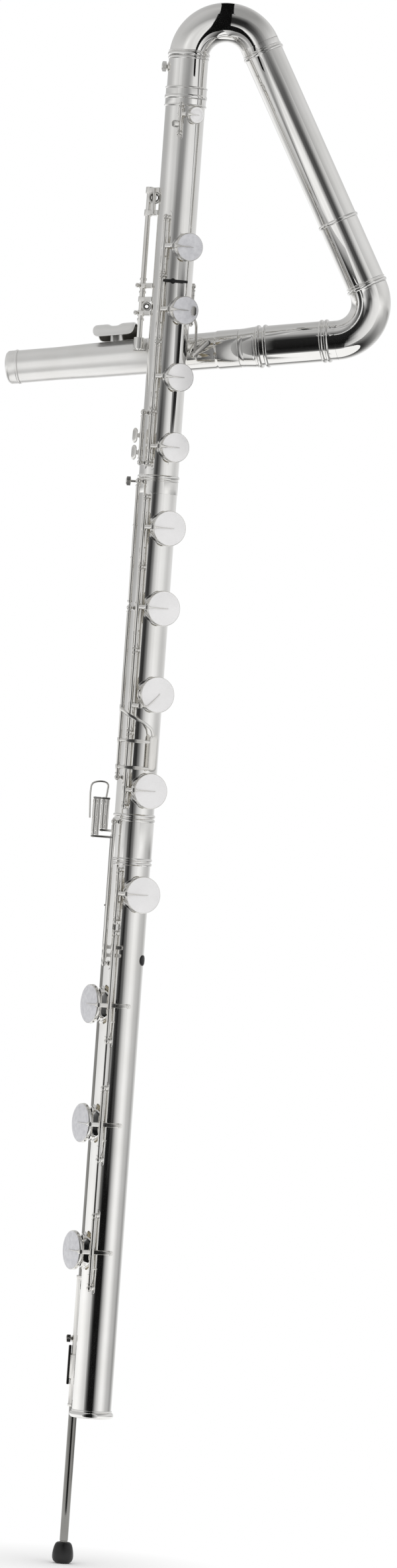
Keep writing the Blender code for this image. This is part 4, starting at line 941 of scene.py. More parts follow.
def main_key(number: int, station: float, cup: float, above: float, below: float, slant: float = 0.0) -> KeyPlan:
    """A key of the main hinge line whose hole lies on the right of it.

    Args:
        number: Number from the top down.
        station: Height of the hole.
        cup: Radius of the cup.
        above: Height of the post above.
        below: Height of the post below.
        slant: How far below the hole the arm starts.

    Returns:
        The plan.
    """
    return KeyPlan(f"key_{number:02d}", station, cup, above, below, TUBING.main_line, rad(60.0), 1, rad(12.0), slant)


def foot_key(number: int, station: float, above: float, below: float) -> KeyPlan:
    """A key of the foot, whose hole lies on the left of the hinge.

    Args:
        number: Number from the top down.
        station: Height of the hole.
        above: Height of the post above.
        below: Height of the post below.

    Returns:
        The plan.
    """
    return KeyPlan(f"key_{number:02d}", station, 24.25, above, below, TUBING.main_line, rad(56.0), -1, rad(18.0))


KEYS = (
    main_key(1, 1636.7, 17.5, 1672.0, 1600.0),
    main_key(2, 1558.5, 17.5, 1600.0, 1518.0),
    main_key(3, 1475.5, 17.5, 1518.0, 1432.0),
    main_key(4, 1388.8, 18.5, 1432.0, 1367.0),
    main_key(5, 1288.6, 21.75, 1326.0, 1239.0),
    main_key(6, 1189.5, 21.75, 1239.0, 1136.0),
    main_key(7, 1082.7, 22.25, 1136.0, 1034.0, 15.0),
    main_key(8, 963.5, 22.0, 1034.0, 943.0),
    main_key(9, 835.0, 22.75, 864.0, 800.0),
    foot_key(10, 696.2, 786.0, 652.0),
    foot_key(11, 548.7, 594.0, 505.0),
    foot_key(12, 390.9, 436.0, 346.0),
)
TRILL = KeyPlan("trill_key", 1800.0, 10.5, 1811.5, 1776.0, TUBING.trill_line, rad(37.0), 1, 0.0)
THUMB = KeyPlan("thumb_key", 1570.0, 14.5, 1592.0, 1546.0, TUBING.thumb_line, rad(58.0), 1, rad(9.0))


class Trees:
    """The Geometry Nodes trees: what repeats round or along the flute, and its bent tubes."""

    @staticmethod
    def started(name: str, sockets: list) -> tuple:
        """Starts a tree with named inputs and one geometry output.

        Args:
            name: Name of the tree.
            sockets: (name, socket type, default value) for each input after the geometry.

        Returns:
            The tree and its input node.
        """
        tree = bpy.data.node_groups.new(name, "GeometryNodeTree")
        tree.interface.new_socket("Geometry", in_out="INPUT", socket_type="NodeSocketGeometry")
        for title, kind, value in sockets:
            socket = tree.interface.new_socket(title, in_out="INPUT", socket_type=kind)
            if value is not None:
                socket.default_value = value
        tree.interface.new_socket("Geometry", in_out="OUTPUT", socket_type="NodeSocketGeometry")
        return tree, add_node(tree, "NodeGroupInput")

    @staticmethod
    def ended(tree: bpy.types.NodeTree, geometry: bpy.types.NodeSocket, finish: bpy.types.NodeSocket) -> None:
        """Ends a tree in Realize Instances and Set Material.

        Args:
            tree: The tree.
            geometry: What it has made.
            finish: The material input.
        """
        real = add_node(tree, "GeometryNodeRealizeInstances", {"Geometry": geometry})
        dressed = add_node(tree, "GeometryNodeSetMaterial", {"Geometry": real.outputs[0], "Material": finish})
        add_node(tree, "NodeGroupOutput", {0: dressed.outputs[0]})

    @classmethod
    def repeat(cls) -> bpy.types.NodeTree:
        """Sets a template on every point, turned about Z by the point's own turn.

        Returns:
            The tree.
        """
        tree, given = cls.started(
            "set_on_points", [("Template", "NodeSocketObject", None), ("Finish", "NodeSocketMaterial", None)]
        )
        template = add_node(tree, "GeometryNodeObjectInfo", {"Object": given.outputs["Template"]})
        turn = add_node(tree, "GeometryNodeInputNamedAttribute", {"Name": "turn"}, data_type="FLOAT")
        spin = add_node(tree, "ShaderNodeCombineXYZ", {"Z": turn.outputs["Attribute"]})
        points = add_node(tree, "GeometryNodeMeshToPoints", {"Mesh": given.outputs["Geometry"]})
        copies = add_node(
            tree,
            "GeometryNodeInstanceOnPoints",
            {"Points": points.outputs[0], "Instance": template.outputs["Geometry"],
             "Rotation": spin.outputs["Vector"]},
        )
        cls.ended(tree, copies.outputs[0], given.outputs["Finish"])
        return tree

    @classmethod
    def wires(cls) -> bpy.types.NodeTree:
        """Draws a round wire along every edge.

        Returns:
            The tree.
        """
        tree, given = cls.started(
            "wires_on_edges",
            [("Radius", "NodeSocketFloat", 0.0004), ("Sides", "NodeSocketInt", 8),
             ("Finish", "NodeSocketMaterial", None)],
        )
        route = add_node(tree, "GeometryNodeMeshToCurve", {"Mesh": given.outputs["Geometry"]})
        ring = add_node(
            tree,
            "GeometryNodeCurvePrimitiveCircle",
            {"Resolution": given.outputs["Sides"], "Radius": given.outputs["Radius"]},
        )
        drawn = add_node(
            tree,
            "GeometryNodeCurveToMesh",
            {"Curve": route.outputs[0], "Profile Curve": ring.outputs[0], "Fill Caps": True},
        )
        smooth = add_node(tree, "GeometryNodeSetShadeSmooth", {"Geometry": drawn.outputs[0], "Shade Smooth": True})
        cls.ended(tree, smooth.outputs[0], given.outputs["Finish"])
        return tree

    @classmethod
    def knurl(cls) -> bpy.types.NodeTree:
        """Sets straight ridges round a screw head whose axis is Z.

        Returns:
            The tree.
        """
        tree, given = cls.started(
            "knurled_rim",
            [("Radius", "NodeSocketFloat", 0.006), ("Height", "NodeSocketFloat", 0.005),
             ("Ridges", "NodeSocketInt", 30), ("Depth", "NodeSocketFloat", 0.0007),
             ("Finish", "NodeSocketMaterial", None)],
        )
        circle = add_node(
            tree,
            "GeometryNodeMeshCircle",
            {"Vertices": given.outputs["Ridges"], "Radius": given.outputs["Radius"]},
        )
        spot = add_node(tree, "GeometryNodeInputPosition")
        aim = add_node(
            tree, "FunctionNodeAlignEulerToVector", {"Vector": spot.outputs[0]}, axis="X"
        )
        size = add_node(
            tree,
            "ShaderNodeCombineXYZ",
            {"X": given.outputs["Depth"], "Y": given.outputs["Depth"], "Z": given.outputs["Height"]},
        )
        ridge = add_node(tree, "GeometryNodeMeshCube", {"Size": size.outputs["Vector"]})
        quarter = add_node(
            tree,
            "GeometryNodeTransform",
            {"Geometry": ridge.outputs[0], "Rotation": (0.0, 0.0, rad(45.0))},
        )
        copies = add_node(
            tree,
            "GeometryNodeInstanceOnPoints",
            {"Points": circle.outputs[0], "Instance": quarter.outputs[0], "Rotation": aim.outputs[0]},
        )
        whole = add_node(tree, "GeometryNodeJoinGeometry")
        for part in (given.outputs["Geometry"], copies.outputs[0]):
            tree.links.new(part, whole.inputs[0])
        cls.ended(tree, whole.outputs[0], given.outputs["Finish"])
        return tree

    @classmethod
    def bend(cls) -> bpy.types.NodeTree:
        """Draws a bent tube with its wall, round the origin, in the XY plane.

        Returns:
            The tree.
        """
        tree, given = cls.started(
            "bent_tube",
            [("Bend Radius", "NodeSocketFloat", 0.0459), ("Turn", "NodeSocketFloat", 1.57),
             ("Tube Radius", "NodeSocketFloat", 0.0244), ("Bore Radius", "NodeSocketFloat", 0.0236),
             ("Finish", "NodeSocketMaterial", None)],
        )
        arc = add_node(
            tree,
            "GeometryNodeCurveArc",
            {"Resolution": 97, "Radius": given.outputs["Bend Radius"], "Start Angle": 0.0,
             "Sweep Angle": given.outputs["Turn"]},
        )
        walls = []
        for title in ("Tube Radius", "Bore Radius"):
            ring = add_node(
                tree,
                "GeometryNodeCurvePrimitiveCircle",
                {"Resolution": TUBE_SIDES, "Radius": given.outputs[title]},
            )
            wall = add_node(
                tree, "GeometryNodeCurveToMesh", {"Curve": arc.outputs[0], "Profile Curve": ring.outputs[0]}
            )
            walls.append(wall.outputs[0])
        inner = add_node(tree, "GeometryNodeFlipFaces", {"Mesh": walls[1]})
        whole = add_node(tree, "GeometryNodeJoinGeometry")
        for part in (walls[0], inner.outputs[0]):
            tree.links.new(part, whole.inputs[0])
        smooth = add_node(tree, "GeometryNodeSetShadeSmooth", {"Geometry": whole.outputs[0], "Shade Smooth": True})
        cls.ended(tree, smooth.outputs[0], given.outputs["Finish"])
        return tree


class Repeater:
    """Runs the Geometry Nodes trees and keeps their results as plain meshes."""

    def __init__(self, workshop: Workshop) -> None:
        """Builds the trees.

        Args:
            workshop: Where the finishes come from.
        """
        self.workshop = workshop
        self.repeat = Trees.repeat()
        self.wires = Trees.wires()
        self.knurl = Trees.knurl()
        self.bend = Trees.bend()

    def run(self, obj: bpy.types.Object, tree: bpy.types.NodeTree, finish: Finish, values: dict) -> bpy.types.Object:
        """Runs a tree on an object and bakes its result.

        Args:
            obj: The object that the tree starts from.
            tree: The tree.
            finish: What the result is made of.
            values: Inputs by name.

        Returns:
            The same object with a plain mesh.
        """
        modifier = obj.modifiers.new(tree.name, "NODES")
        modifier.node_group = tree
        given = {**values, "Finish": self.workshop.materials[finish]}
        for item in tree.interface.items_tree:
            if item.in_out == "INPUT" and item.name in given:
                modifier[item.identifier] = given[item.name]
        return baked(obj)

    def on_points(self, name: str, template: Form, spots: list, finish: Finish) -> bpy.types.Object:
        """Sets copies of a template that is drawn for azimuth 0 and height 0.

        Args:
            name: Name of the piece.
            template: The template about the body axis.
            spots: (azimuth in radians, height in millimetres) of each copy.
            finish: What it is made of.

        Returns:
            The piece.
        """
        template.shape.transform(BODY_TO_FRAME.inverted() @ Matrix.Scale(0.001, 4))
        model = template.made(name + "_template")
        mesh = bpy.data.meshes.new(name)
        mesh.from_pydata([BODY_TO_FRAME @ Vector((0.0, 0.0, z)) for _, z in spots], [], [])
        turns = mesh.attributes.new("turn", "FLOAT", "POINT")
        for i, (azimuth, _) in enumerate(spots):
            turns.data[i].value = azimuth
        obj = bpy.data.objects.new(name, mesh)
        bpy.context.scene.collection.objects.link(obj)
        self.run(obj, self.repeat, finish, {"Template": model})
        bpy.data.objects.remove(model, do_unlink=True)
        return obj

    def along_edges(self, name: str, routes: list, radius: float, finish: Finish) -> bpy.types.Object:
        """Draws wires along routes.

        Args:
            name: Name of the piece.
            routes: Lists of points in millimetres about the body axis.
            radius: Radius of the wire in millimetres.
            finish: What it is made of.

        Returns:
            The piece.
        """
        points = []
        edges = []
        for route in routes:
            start = len(points)
            points += [BODY_TO_FRAME @ Vector(p) for p in route]
            edges += [(start + i, start + i + 1) for i in range(len(route) - 1)]
        mesh = bpy.data.meshes.new(name)
        mesh.from_pydata(points, edges, [])
        obj = bpy.data.objects.new(name, mesh)
        bpy.context.scene.collection.objects.link(obj)
        return self.run(obj, self.wires, finish, {"Radius": radius / 1000.0, "Sides": 8})

    def bent(self, name: str, place: Matrix, turn: float, radius: float, finish: Finish) -> bpy.types.Object:
        """Draws a bent tube that starts along local Z and turns towards local X.

        Args:
            name: Name of the piece.
            place: Frame at the middle of the bend, in millimetres about the body axis.
            turn: Its angle in radians.
            radius: Radius of the bend in millimetres.
            finish: What it is made of.

        Returns:
            The piece.
        """
        mesh = bpy.data.meshes.new(name)
        obj = bpy.data.objects.new(name, mesh)
        bpy.context.scene.collection.objects.link(obj)
        sizes = {
            "Bend Radius": radius / 1000.0,
            "Turn": turn,
            "Tube Radius": TUBING.radius / 1000.0,
            "Bore Radius": TUBING.bore / 1000.0,
        }
        self.run(obj, self.bend, finish, sizes)
        lay = Matrix(((-1.0, 0.0, 0.0, 0.0), (0.0, 0.0, 1.0, 0.0), (0.0, 1.0, 0.0, 0.0), (0.0, 0.0, 0.0, 1.0)))
        obj.data.transform(BODY_TO_FRAME @ place @ Matrix.Scale(1000.0, 4) @ lay)
        return obj


def bead(form: Form, middle: float, height: float, proud: float, place: Matrix | None = None,
         radius: float = TUBING.radius) -> None:
    """Adds a rounded ring round a tube.

    Args:
        form: Where it goes.
        middle: Height of its middle along local Z.
        height: Its height.
        proud: How far it stands out of the tube.
        place: Frame of the tube's axis.
        radius: Radius of the tube.
    """
    low = middle - height / 2
    high = middle + height / 2
    inner = radius - 0.4
    profile = [(inner, high), (radius + proud * 0.35, high), (radius + proud, high - height * 0.3)]
    profile += [(radius + proud, low + height * 0.3), (radius + proud * 0.35, low), (inner, low)]
    form.turn(soften(profile, height * 0.22, 4, True), place, TUBE_SIDES, closed=True)


def band(form: Form, low: float, high: float, proud: float, place: Matrix | None = None,
         radius: float = TUBING.radius) -> None:
    """Adds a flat sleeve with rounded edges round a tube.

    Args:
        form: Where it goes.
        low: Its lower end along local Z.
        high: Its upper end along local Z.
        proud: How far it stands out of the tube.
        place: Frame of the tube's axis.
        radius: Radius of the tube.
    """
    form.pipe(radius + proud, radius - 0.4, low, high, place, 0.35, TUBE_SIDES)


@dataclass
class BodySections:
    """The three sections of the body with their holes, chimneys, ribs, rings and posts."""

    workshop: Workshop
    repeater: Repeater
    screw_heights: tuple = (1345.0, 1860.0)
    left_posts: tuple = (1430.0, 1368.0)
    side_posts: tuple = (1188.0, 978.0)
    little_posts: tuple = (923.0, 748.0)
    tenon_radius: float = 23.3
    tenon_bore: float = 22.7

    def tube(self, name: str, low: float, high: float, tenon: float, keys: tuple) -> None:
        """Makes one straight tube with its tone holes.

        Args:
            name: Name of its CAD node.
            low: Lower end.
            high: Upper end.
            tenon: Length of the narrow end below it.
            keys: The keys whose holes it carries.
        """
        outer, bore = TUBING.radius, TUBING.bore
        profile = [(outer, high), (outer, low)]
        if tenon:
            profile += [(self.tenon_radius, low), (self.tenon_radius, low - tenon)]
            profile += [(self.tenon_bore, low - tenon), (self.tenon_bore, low + 1.0), (bore, low + 1.0)]
        else:
            profile.append((bore, low))
        profile.append((bore, high))
        form = Form()
        form.turn(profile, None, TUBE_SIDES, closed=True)
        obj = form.made(name + "_drawn")
        cutter = Form()
        for plan in keys:
            cutter.drum(plan.chimney - 1.2, 5.0, 40.0, radial(plan.azimuth, plan.station), 0.1, ROUND_SIDES)
        for height in self.screw_heights:
            if low < height < high:
                cutter.drum(1.9, 10.0, 40.0, radial(rad(-90.0), height), 0.1)
        pierced(obj, cutter)
        trued(obj, BODY_TO_FRAME @ Matrix.Scale(1000.0, 4), (outer / 1000.0, bore / 1000.0))
        self.workshop.fit(obj, Finish.BODY, "body", (name,))

    def chimneys(self) -> None:
        """Makes the soldered chimney of every hole, with its flange and rolled rim."""
        form = Form()
        top = TUBING.chimney_top
        for plan in (*KEYS, TRILL, THUMB):
            r = plan.chimney
            rows = [
                (r + 2.8, -0.1, True), (r + 2.7, 0.35, True), (r + 1.2, 0.65, True), (r + 0.3, 1.0, True),
                (r, 1.8, True), (r, top - 1.1, False), (r + 0.3, top - 0.8, False), (r + 0.35, top - 0.4, False),
                (r + 0.1, top - 0.1, False), (r - 0.3, top, False), (r - 0.8, top - 0.15, False),
                (r - 1.1, top - 0.6, False), (r - 1.2, top - 1.4, False), (r - 1.2, -0.9, True),
            ]
            form.saddle(rows, radial(plan.azimuth, plan.station), TUBING.radius)
        self.workshop.publish(form, "chimneys", Finish.BODY, "body")

    def ribs(self) -> None:
        """Makes the straps that the posts stand on."""
        form = Form()
        r = TUBING.radius
        for low, high in ((1359.0, 1681.0), (938.0, 1334.0), (792.0, 872.0), (644.0, 794.0), (497.0, 602.0),
                          (338.0, 444.0)):
            form.rib(TUBING.main_line, low, high, 4.2, 0.9, r)
        for high, low in (self.left_posts, self.side_posts, self.little_posts):
            form.rib(TUBING.outer_line, low - 8.0, high + 8.0, 3.6, 0.8, r)
        form.rib(TUBING.thumb_line, THUMB.below - 8.0, THUMB.above + 8.0, 3.8, 0.9, r)
        form.rib(TUBING.trill_line, TRILL.below - 7.0, TRILL.above + 7.0, 3.4, 0.8, r)
        for height in self.screw_heights:
            place = radial(rad(-90.0), height)
            form.saddle(
                [(6.4, -0.1, True), (6.2, 0.4, True), (4.6, 0.8, True), (3.8, 1.3, True), (2.0, 1.4, True),
                 (2.0, -0.8, True)],
                place, r, SMALL_SIDES,
            )
        self.workshop.publish(form, "post_ribs", Finish.BODY, "body")

    def rings(self) -> None:
        """Makes the ferrules, socket sleeves and the rolled end of the foot."""
        form = Form()
        bead(form, TUBING.foot_end - 0.8, 7.6, 3.0)
        bead(form, TUBING.foot_end + 4.2, 2.0, 0.9)
        band(form, 879.0, 924.0, 0.75)
        for middle in (TUBING.foot_top - 4.8, 874.9):
            bead(form, middle - 2.7, 4.2, 1.7)
            bead(form, middle + 2.7, 4.2, 1.7)
        bead(form, TUBING.lower_top - 2.3, 4.6, 1.6)
        bead(form, TUBING.lower_top - 6.6, 2.4, 0.9)
        band(form, 1331.0, 1346.0, 0.45)
        band(form, 1812.0, 1835.0, 0.9)
        for middle, height in ((1812.5, 3.0), (1823.2, 6.4), (1834.5, 3.0)):
            bead(form, middle, height, 1.9)
        bead(form, TUBING.upper_top - 1.8, 3.2, 1.1)
        self.workshop.publish(form, "body_rings", Finish.BODY, "body")

    def posts(self) -> None:
        """Makes the ball posts and sets one at every hinge end."""
        template = Form()
        place = radial(0.0, 0.0)
        ball, middle = 3.3, TUBING.hinge_radius
        profile = [(0.0, middle + ball)]
        for angle in range(15, 165, 15):
            reach = ball * math.sin(rad(angle))
            profile.append((max(reach, 1.45) if angle > 90 else reach, middle + ball * math.cos(rad(angle))))
        profile += [(1.45, TUBING.radius + 3.2), (1.7, TUBING.radius + 2.6), (2.9, TUBING.radius + 1.6)]
        profile += [(3.3, TUBING.radius + 0.9), (3.3, TUBING.radius - 0.6), (0.0, TUBING.radius - 0.6)]
        template.turn(profile, place, 20)
        for end in (1, -1):
            boss = Matrix.Translation(around(0.0, middle, 0.0))
            low, high = sorted((end * 2.4, end * 3.7))
            template.drum(1.9, low, high, boss, 0.25, 16)
        spots = []
        heights = {p.above for p in KEYS} | {p.below for p in KEYS}
        spots += [(TUBING.main_line, z) for z in sorted(heights)]
        for pair in (self.left_posts, self.side_posts, self.little_posts):
            spots += [(TUBING.outer_line, z) for z in pair]
        spots += [(TUBING.outer_line, 1345.0)]
        spots += [(TUBING.thumb_line, z) for z in (THUMB.above, THUMB.below)]
        spots += [(TUBING.trill_line, z) for z in (TRILL.above, TRILL.below)]
        obj = self.repeater.on_points("ball_posts", template, spots, Finish.KEY)
        self.workshop.fit(obj, Finish.KEY, "body")

    def springs(self) -> None:
        """Makes the needle springs that lie beside the hinge tubes."""
        routes = []
        for plan in (*KEYS, THUMB):
            start = around(plan.line - plan.side * 0.05, 31.6, plan.below + 1.0)
            middle = around(plan.line - plan.side * 0.14, 29.4, plan.below + 12.0)
            end = around(plan.line - plan.side * 0.16, 28.9, plan.below + 24.0)
            routes.append(soften([start, middle, end], 6.0, 4))
        obj = self.repeater.along_edges("needle_springs", routes, 0.42, Finish.STEEL)
        self.workshop.fit(obj, Finish.STEEL, "body")

    def build(self) -> None:
        """Makes every piece of the body."""
        upper = (*KEYS[:4], TRILL, THUMB)
        self.tube("upper_body_tube", TUBING.lower_top + 0.3, TUBING.upper_top, 24.0, upper)
        self.tube("lower_body_tube", TUBING.foot_top + 0.3, TUBING.lower_top, 54.0, KEYS[4:8])
        self.tube("foot_tube", TUBING.foot_end, TUBING.foot_top, 0.0, KEYS[8:])
        self.chimneys()
        self.ribs()
        self.rings()
        self.posts()
        self.springs()


@dataclass
class Fold:
    """The turn over the top, the diagonal, the lower bend and the receiver."""

    workshop: Workshop
    repeater: Repeater
    bend_radius: float = 45.9
    top_turn: float = rad(151.9)
    diagonal: float = 330.0
    ferrule: float = 239.7
    lead: float = 9.6
    rise: float = rad(8.1)
    yaw: float = rad(10.8)
    receiver_radius: float = 25.2
    receiver_start: float = 9.3
    receiver_end: float = 91.3
    start: Matrix = field(init=False)
    corner: Matrix = field(init=False)
    head: Matrix = field(init=False)
    lower_turn: float = field(init=False)

    @property
    def corner_of_top(self) -> Vector:
        """Middle of the top bend's arc."""
        return Vector((self.bend_radius, 0.0, TUBING.upper_top + 0.3))

    def __post_init__(self) -> None:
        """Works out the frames along the fold."""
        base = TUBING.upper_top + 0.3
        down = Vector((math.sin(self.top_turn), 0.0, math.cos(self.top_turn)))
        level = Vector((-math.cos(self.yaw), math.sin(self.yaw), 0.0))
        home = (level * math.cos(self.rise) - UP * math.sin(self.rise)).normalized()
        across = self.bend_radius * (1 - math.cos(self.top_turn))
        origin = Vector((across, 0.0, base + self.bend_radius * math.sin(self.top_turn)))
        self.start = axis_frame(origin, down, Vector((1.0, 0.0, 0.0)))
        end = axis_frame(origin + down * self.diagonal, down, home)
        self.corner = end @ Matrix.Translation((self.bend_radius, 0.0, 0.0))
        self.lower_turn = down.angle(home)
        turn = self.lower_turn
        last = self.corner @ Vector((-self.bend_radius * math.cos(turn), 0.0, self.bend_radius * math.sin(turn)))
        self.head = axis_frame(last, home, FORWARD)

    def bends(self) -> None:
        """Makes the two bent tubes and their leads."""
        base = TUBING.upper_top + 0.3
        top = Matrix.Translation((self.bend_radius, 0.0, base))
        obj = self.repeater.bent("top_bend_drawn", top, self.top_turn, self.bend_radius, Finish.BODY)
        self.workshop.fit(obj, Finish.BODY, "body", ("top_bend",))
        obj = self.repeater.bent("lower_bend_drawn", self.corner, self.lower_turn, self.bend_radius, Finish.BODY)
        self.workshop.fit(obj, Finish.BODY, "body", ("lower_bend",))
        leads = Form()
        leads.pipe(TUBING.radius, TUBING.bore, 0.0, self.lead, self.start, 0.1, TUBE_SIDES)
        leads.pipe(TUBING.radius, TUBING.bore, 0.0, self.receiver_start, self.head, 0.1, TUBE_SIDES)
        self.workshop.publish(leads, "bend_leads", Finish.BODY, "body")

    def straights(self) -> None:
        """Makes the diagonal tube and the receiver of the head joint."""
        form = Form()
        form.pipe(TUBING.radius, TUBING.bore, self.lead, self.diagonal, self.start, 0.1, TUBE_SIDES)
        self.workshop.publish(form, "diagonal_tube_drawn", Finish.BODY, "body", ("diagonal_tube",))
        form = Form()
        radius = self.receiver_radius
        form.pipe(radius, radius - 1.0, self.receiver_start, self.receiver_end, self.head, 0.2, TUBE_SIDES)
        bead(form, self.receiver_end - 2.3, 4.6, 1.6, self.head, radius)
        bead(form, self.receiver_start + 2.3, 4.6, 1.7, self.head, radius)
        bead(form, self.receiver_start + 8.5, 4.6, 1.7, self.head, radius)
        self.workshop.publish(form, "head_receiver_turned", Finish.BODY, "body", ("head_receiver",))

    def rings(self) -> None:
        """Makes the ferrules of the fold."""
        form = Form()
        bead(form, TUBING.upper_top + 2.9, 5.2, 1.7)
        bead(form, TUBING.upper_top + 6.6, 2.0, 0.8)
        for middle, height, proud in (
            (self.lead + 2.3, 4.8, 1.7), (self.lead - 1.6, 2.0, 0.9), (self.ferrule, 5.0, 1.6),
            (self.diagonal - 2.6, 4.8, 1.7), (self.diagonal - 7.0, 2.2, 0.8),
        ):
            bead(form, middle, height, proud, self.start)
        self.workshop.publish(form, "fold_rings", Finish.BODY, "body")

    def build(self) -> None:
        """Makes every piece of the fold."""
        self.bends()
        self.straights()
        self.rings()


@dataclass
class HeadJoint:
    """The tuning slide, head tube, lip plate, crown and stopper."""

    workshop: Workshop
    axis: Matrix
    slide_rest: float = 95.3
    collar: float = 21.0
    neck: float = 6.0
    tenon: float = 24.0
    head_start: float = 122.6
    length: float = 281.0
    wide_radius: float = 23.1
    taper_radius: float = 21.7
    narrow_radius: float = 20.5
    socket_radius: float = 24.1
    wall: float = 0.9
    lip_to_crown: float = 124.0
    lip_tilt: float = rad(15.0)
    lip_length: float = 53.0
    lip_crest: float = 44.6
    lip_arc: float = 24.0
    lip_reach: float = rad(66.0)
    lip_apron: float = rad(17.0)
    lip_dip: float = 3.3
    lip_thick: float = 1.6
    hole_length: float = 12.0
    hole_width: float = 15.0
    crown_length: float = 16.0

    @property
    def high(self) -> float:
        """Distance along the axis to the crown end."""
        return self.head_start + self.length

    @property
    def lip_frame(self) -> Matrix:
        """Frame of the lip plate: Z along the head, Y out through the hole."""
        station = self.high - self.lip_to_crown
        return self.axis @ Matrix.Translation((0.0, 0.0, station)) @ Matrix.Rotation(self.lip_tilt, 4, "Z")

    def slide(self) -> None:
        """Makes the tuning slide with its collar and ring."""
        form = Form()
        rest = self.slide_rest
        neck = rest + self.collar
        top = neck + self.neck + self.tenon
        inner = self.socket_radius - self.wall - 0.3
        profile = [
            (inner, top), (inner, neck + 6.0), (24.0, neck + 5.9), (24.1, neck + 0.4), (25.2, rest + 9.0),
            (25.2, rest + 6.4),
            (25.7, rest + 6.2), (25.7, rest + 5.4), (25.2, rest + 5.2), (25.2, rest + 4.4), (26.2, rest + 4.1),
            (26.8, rest + 3.2), (26.8, rest + 1.4), (26.2, rest + 0.4), (25.2, rest), (23.9, rest),
            (23.9, rest - 64.0), (inner - 0.9, rest - 64.0), (inner - 0.9, top),
        ]
        form.turn(soften(profile, 0.3, 2, True), self.axis, TUBE_SIDES, closed=True)
        self.workshop.publish(form, "tuning_slide_turned", Finish.BODY, "tuning_slide", ("tuning_slide",))

    def tube(self) -> None:
        """Makes the head tube with its socket, taper and blow hole."""
        low, high, wall = self.head_start, self.high, self.wall
        wide = low + 27.0
        taper = wide + 157.0
        narrow = taper + 48.0
        outer = [
            (self.narrow_radius, high), (self.narrow_radius, narrow), (self.taper_radius, taper),
            (self.wide_radius, wide + 4.0), (self.wide_radius + 0.1, wide + 2.2), (self.socket_radius - 0.1, wide + 0.6),
            (self.socket_radius, wide), (self.socket_radius, low + 0.4), (self.socket_radius - 0.4, low),
        ]
        socket = self.socket_radius - wall
        deep = self.slide_rest + self.collar + self.neck + self.tenon + 0.3
        inner = [
            (socket, low), (socket, deep), (self.wide_radius - wall, deep), (self.wide_radius - wall, wide + 4.0),
            (self.taper_radius - wall, taper), (self.narrow_radius - wall, narrow), (self.narrow_radius - wall, high),
        ]
        form = Form()
        form.turn(outer + inner, self.axis, TUBE_SIDES, closed=True)
        obj = form.made("head_tube_drawn")
        cutter = Form()
        cutter.slab(self.oval(self.hole_width, self.hole_length), 10.0, 60.0, self.lip_frame @ self.outward(), 0.1)
        pierced(obj, cutter)
        self.workshop.fit(obj, Finish.HEAD, "head", ("head_tube",))

    @staticmethod
    def outward() -> Matrix:
        """Turns local Z of a flat outline out through the hole."""
        return Matrix.Rotation(rad(-90.0), 4, "X")

    @staticmethod
    def oval(width: float, length: float, steps: int = 48, power: float = 2.0) -> list[Vector]:
        """An oval outline.

        Args:
            width: Along local X.
            length: Along local Y.
            steps: Points in it.
            power: 2 for an ellipse, more for a squarer oval.

        Returns:
            The outline, counterclockwise.
        """
        points = []
        for i in range(steps):
            c, s = math.cos(math.tau * i / steps), math.sin(math.tau * i / steps)
            shape = (abs(c) ** power + abs(s) ** power) ** (1 / power)
            points.append(Vector((width / 2 * c / shape, length / 2 * s / shape)))
        return points

    def plate_top(self, bend: float, along: float) -> tuple[float, float]:
        """Where a point of the lip plate's top lies.

        Args:
            bend: Angle round the plate's own arc, from its crest.
            along: Distance along the head, towards the crown.

        Returns:
            Distances across the head and out from its axis.
        """
        reach = self.lip_length / 2
        lobe = -self.lip_dip * math.exp(-((along / 7.0) ** 4))
        end = max(abs(along) - reach + 4.0, 0.0) / 4.0
        lift = lobe * math.cos(bend) ** 2 - 1.2 * end**2
        radius = self.lip_arc
        return radius * math.sin(bend), self.lip_crest - radius + (radius + lift) * math.cos(bend)

    def lip_point(self, share_x: float, share_y: float, sink: float) -> tuple[float, float, float]:
        """A point on or under the lip plate.

        Args:
            share_x: Share of the way round the plate's arc, from -1 to 1.
            share_y: Share of the way along it, from -1 to 1.
            sink: Depth below its top.

        Returns:
            The point in the lip plate's frame.
        """
        bend = share_x * self.lip_reach + self.lip_apron * max(share_x, 0.0) ** 3
        across, out = self.plate_top(bend, share_y * self.lip_length / 2)
        return (across - sink * math.sin(bend), out - sink * math.cos(bend), share_y * self.lip_length / 2)

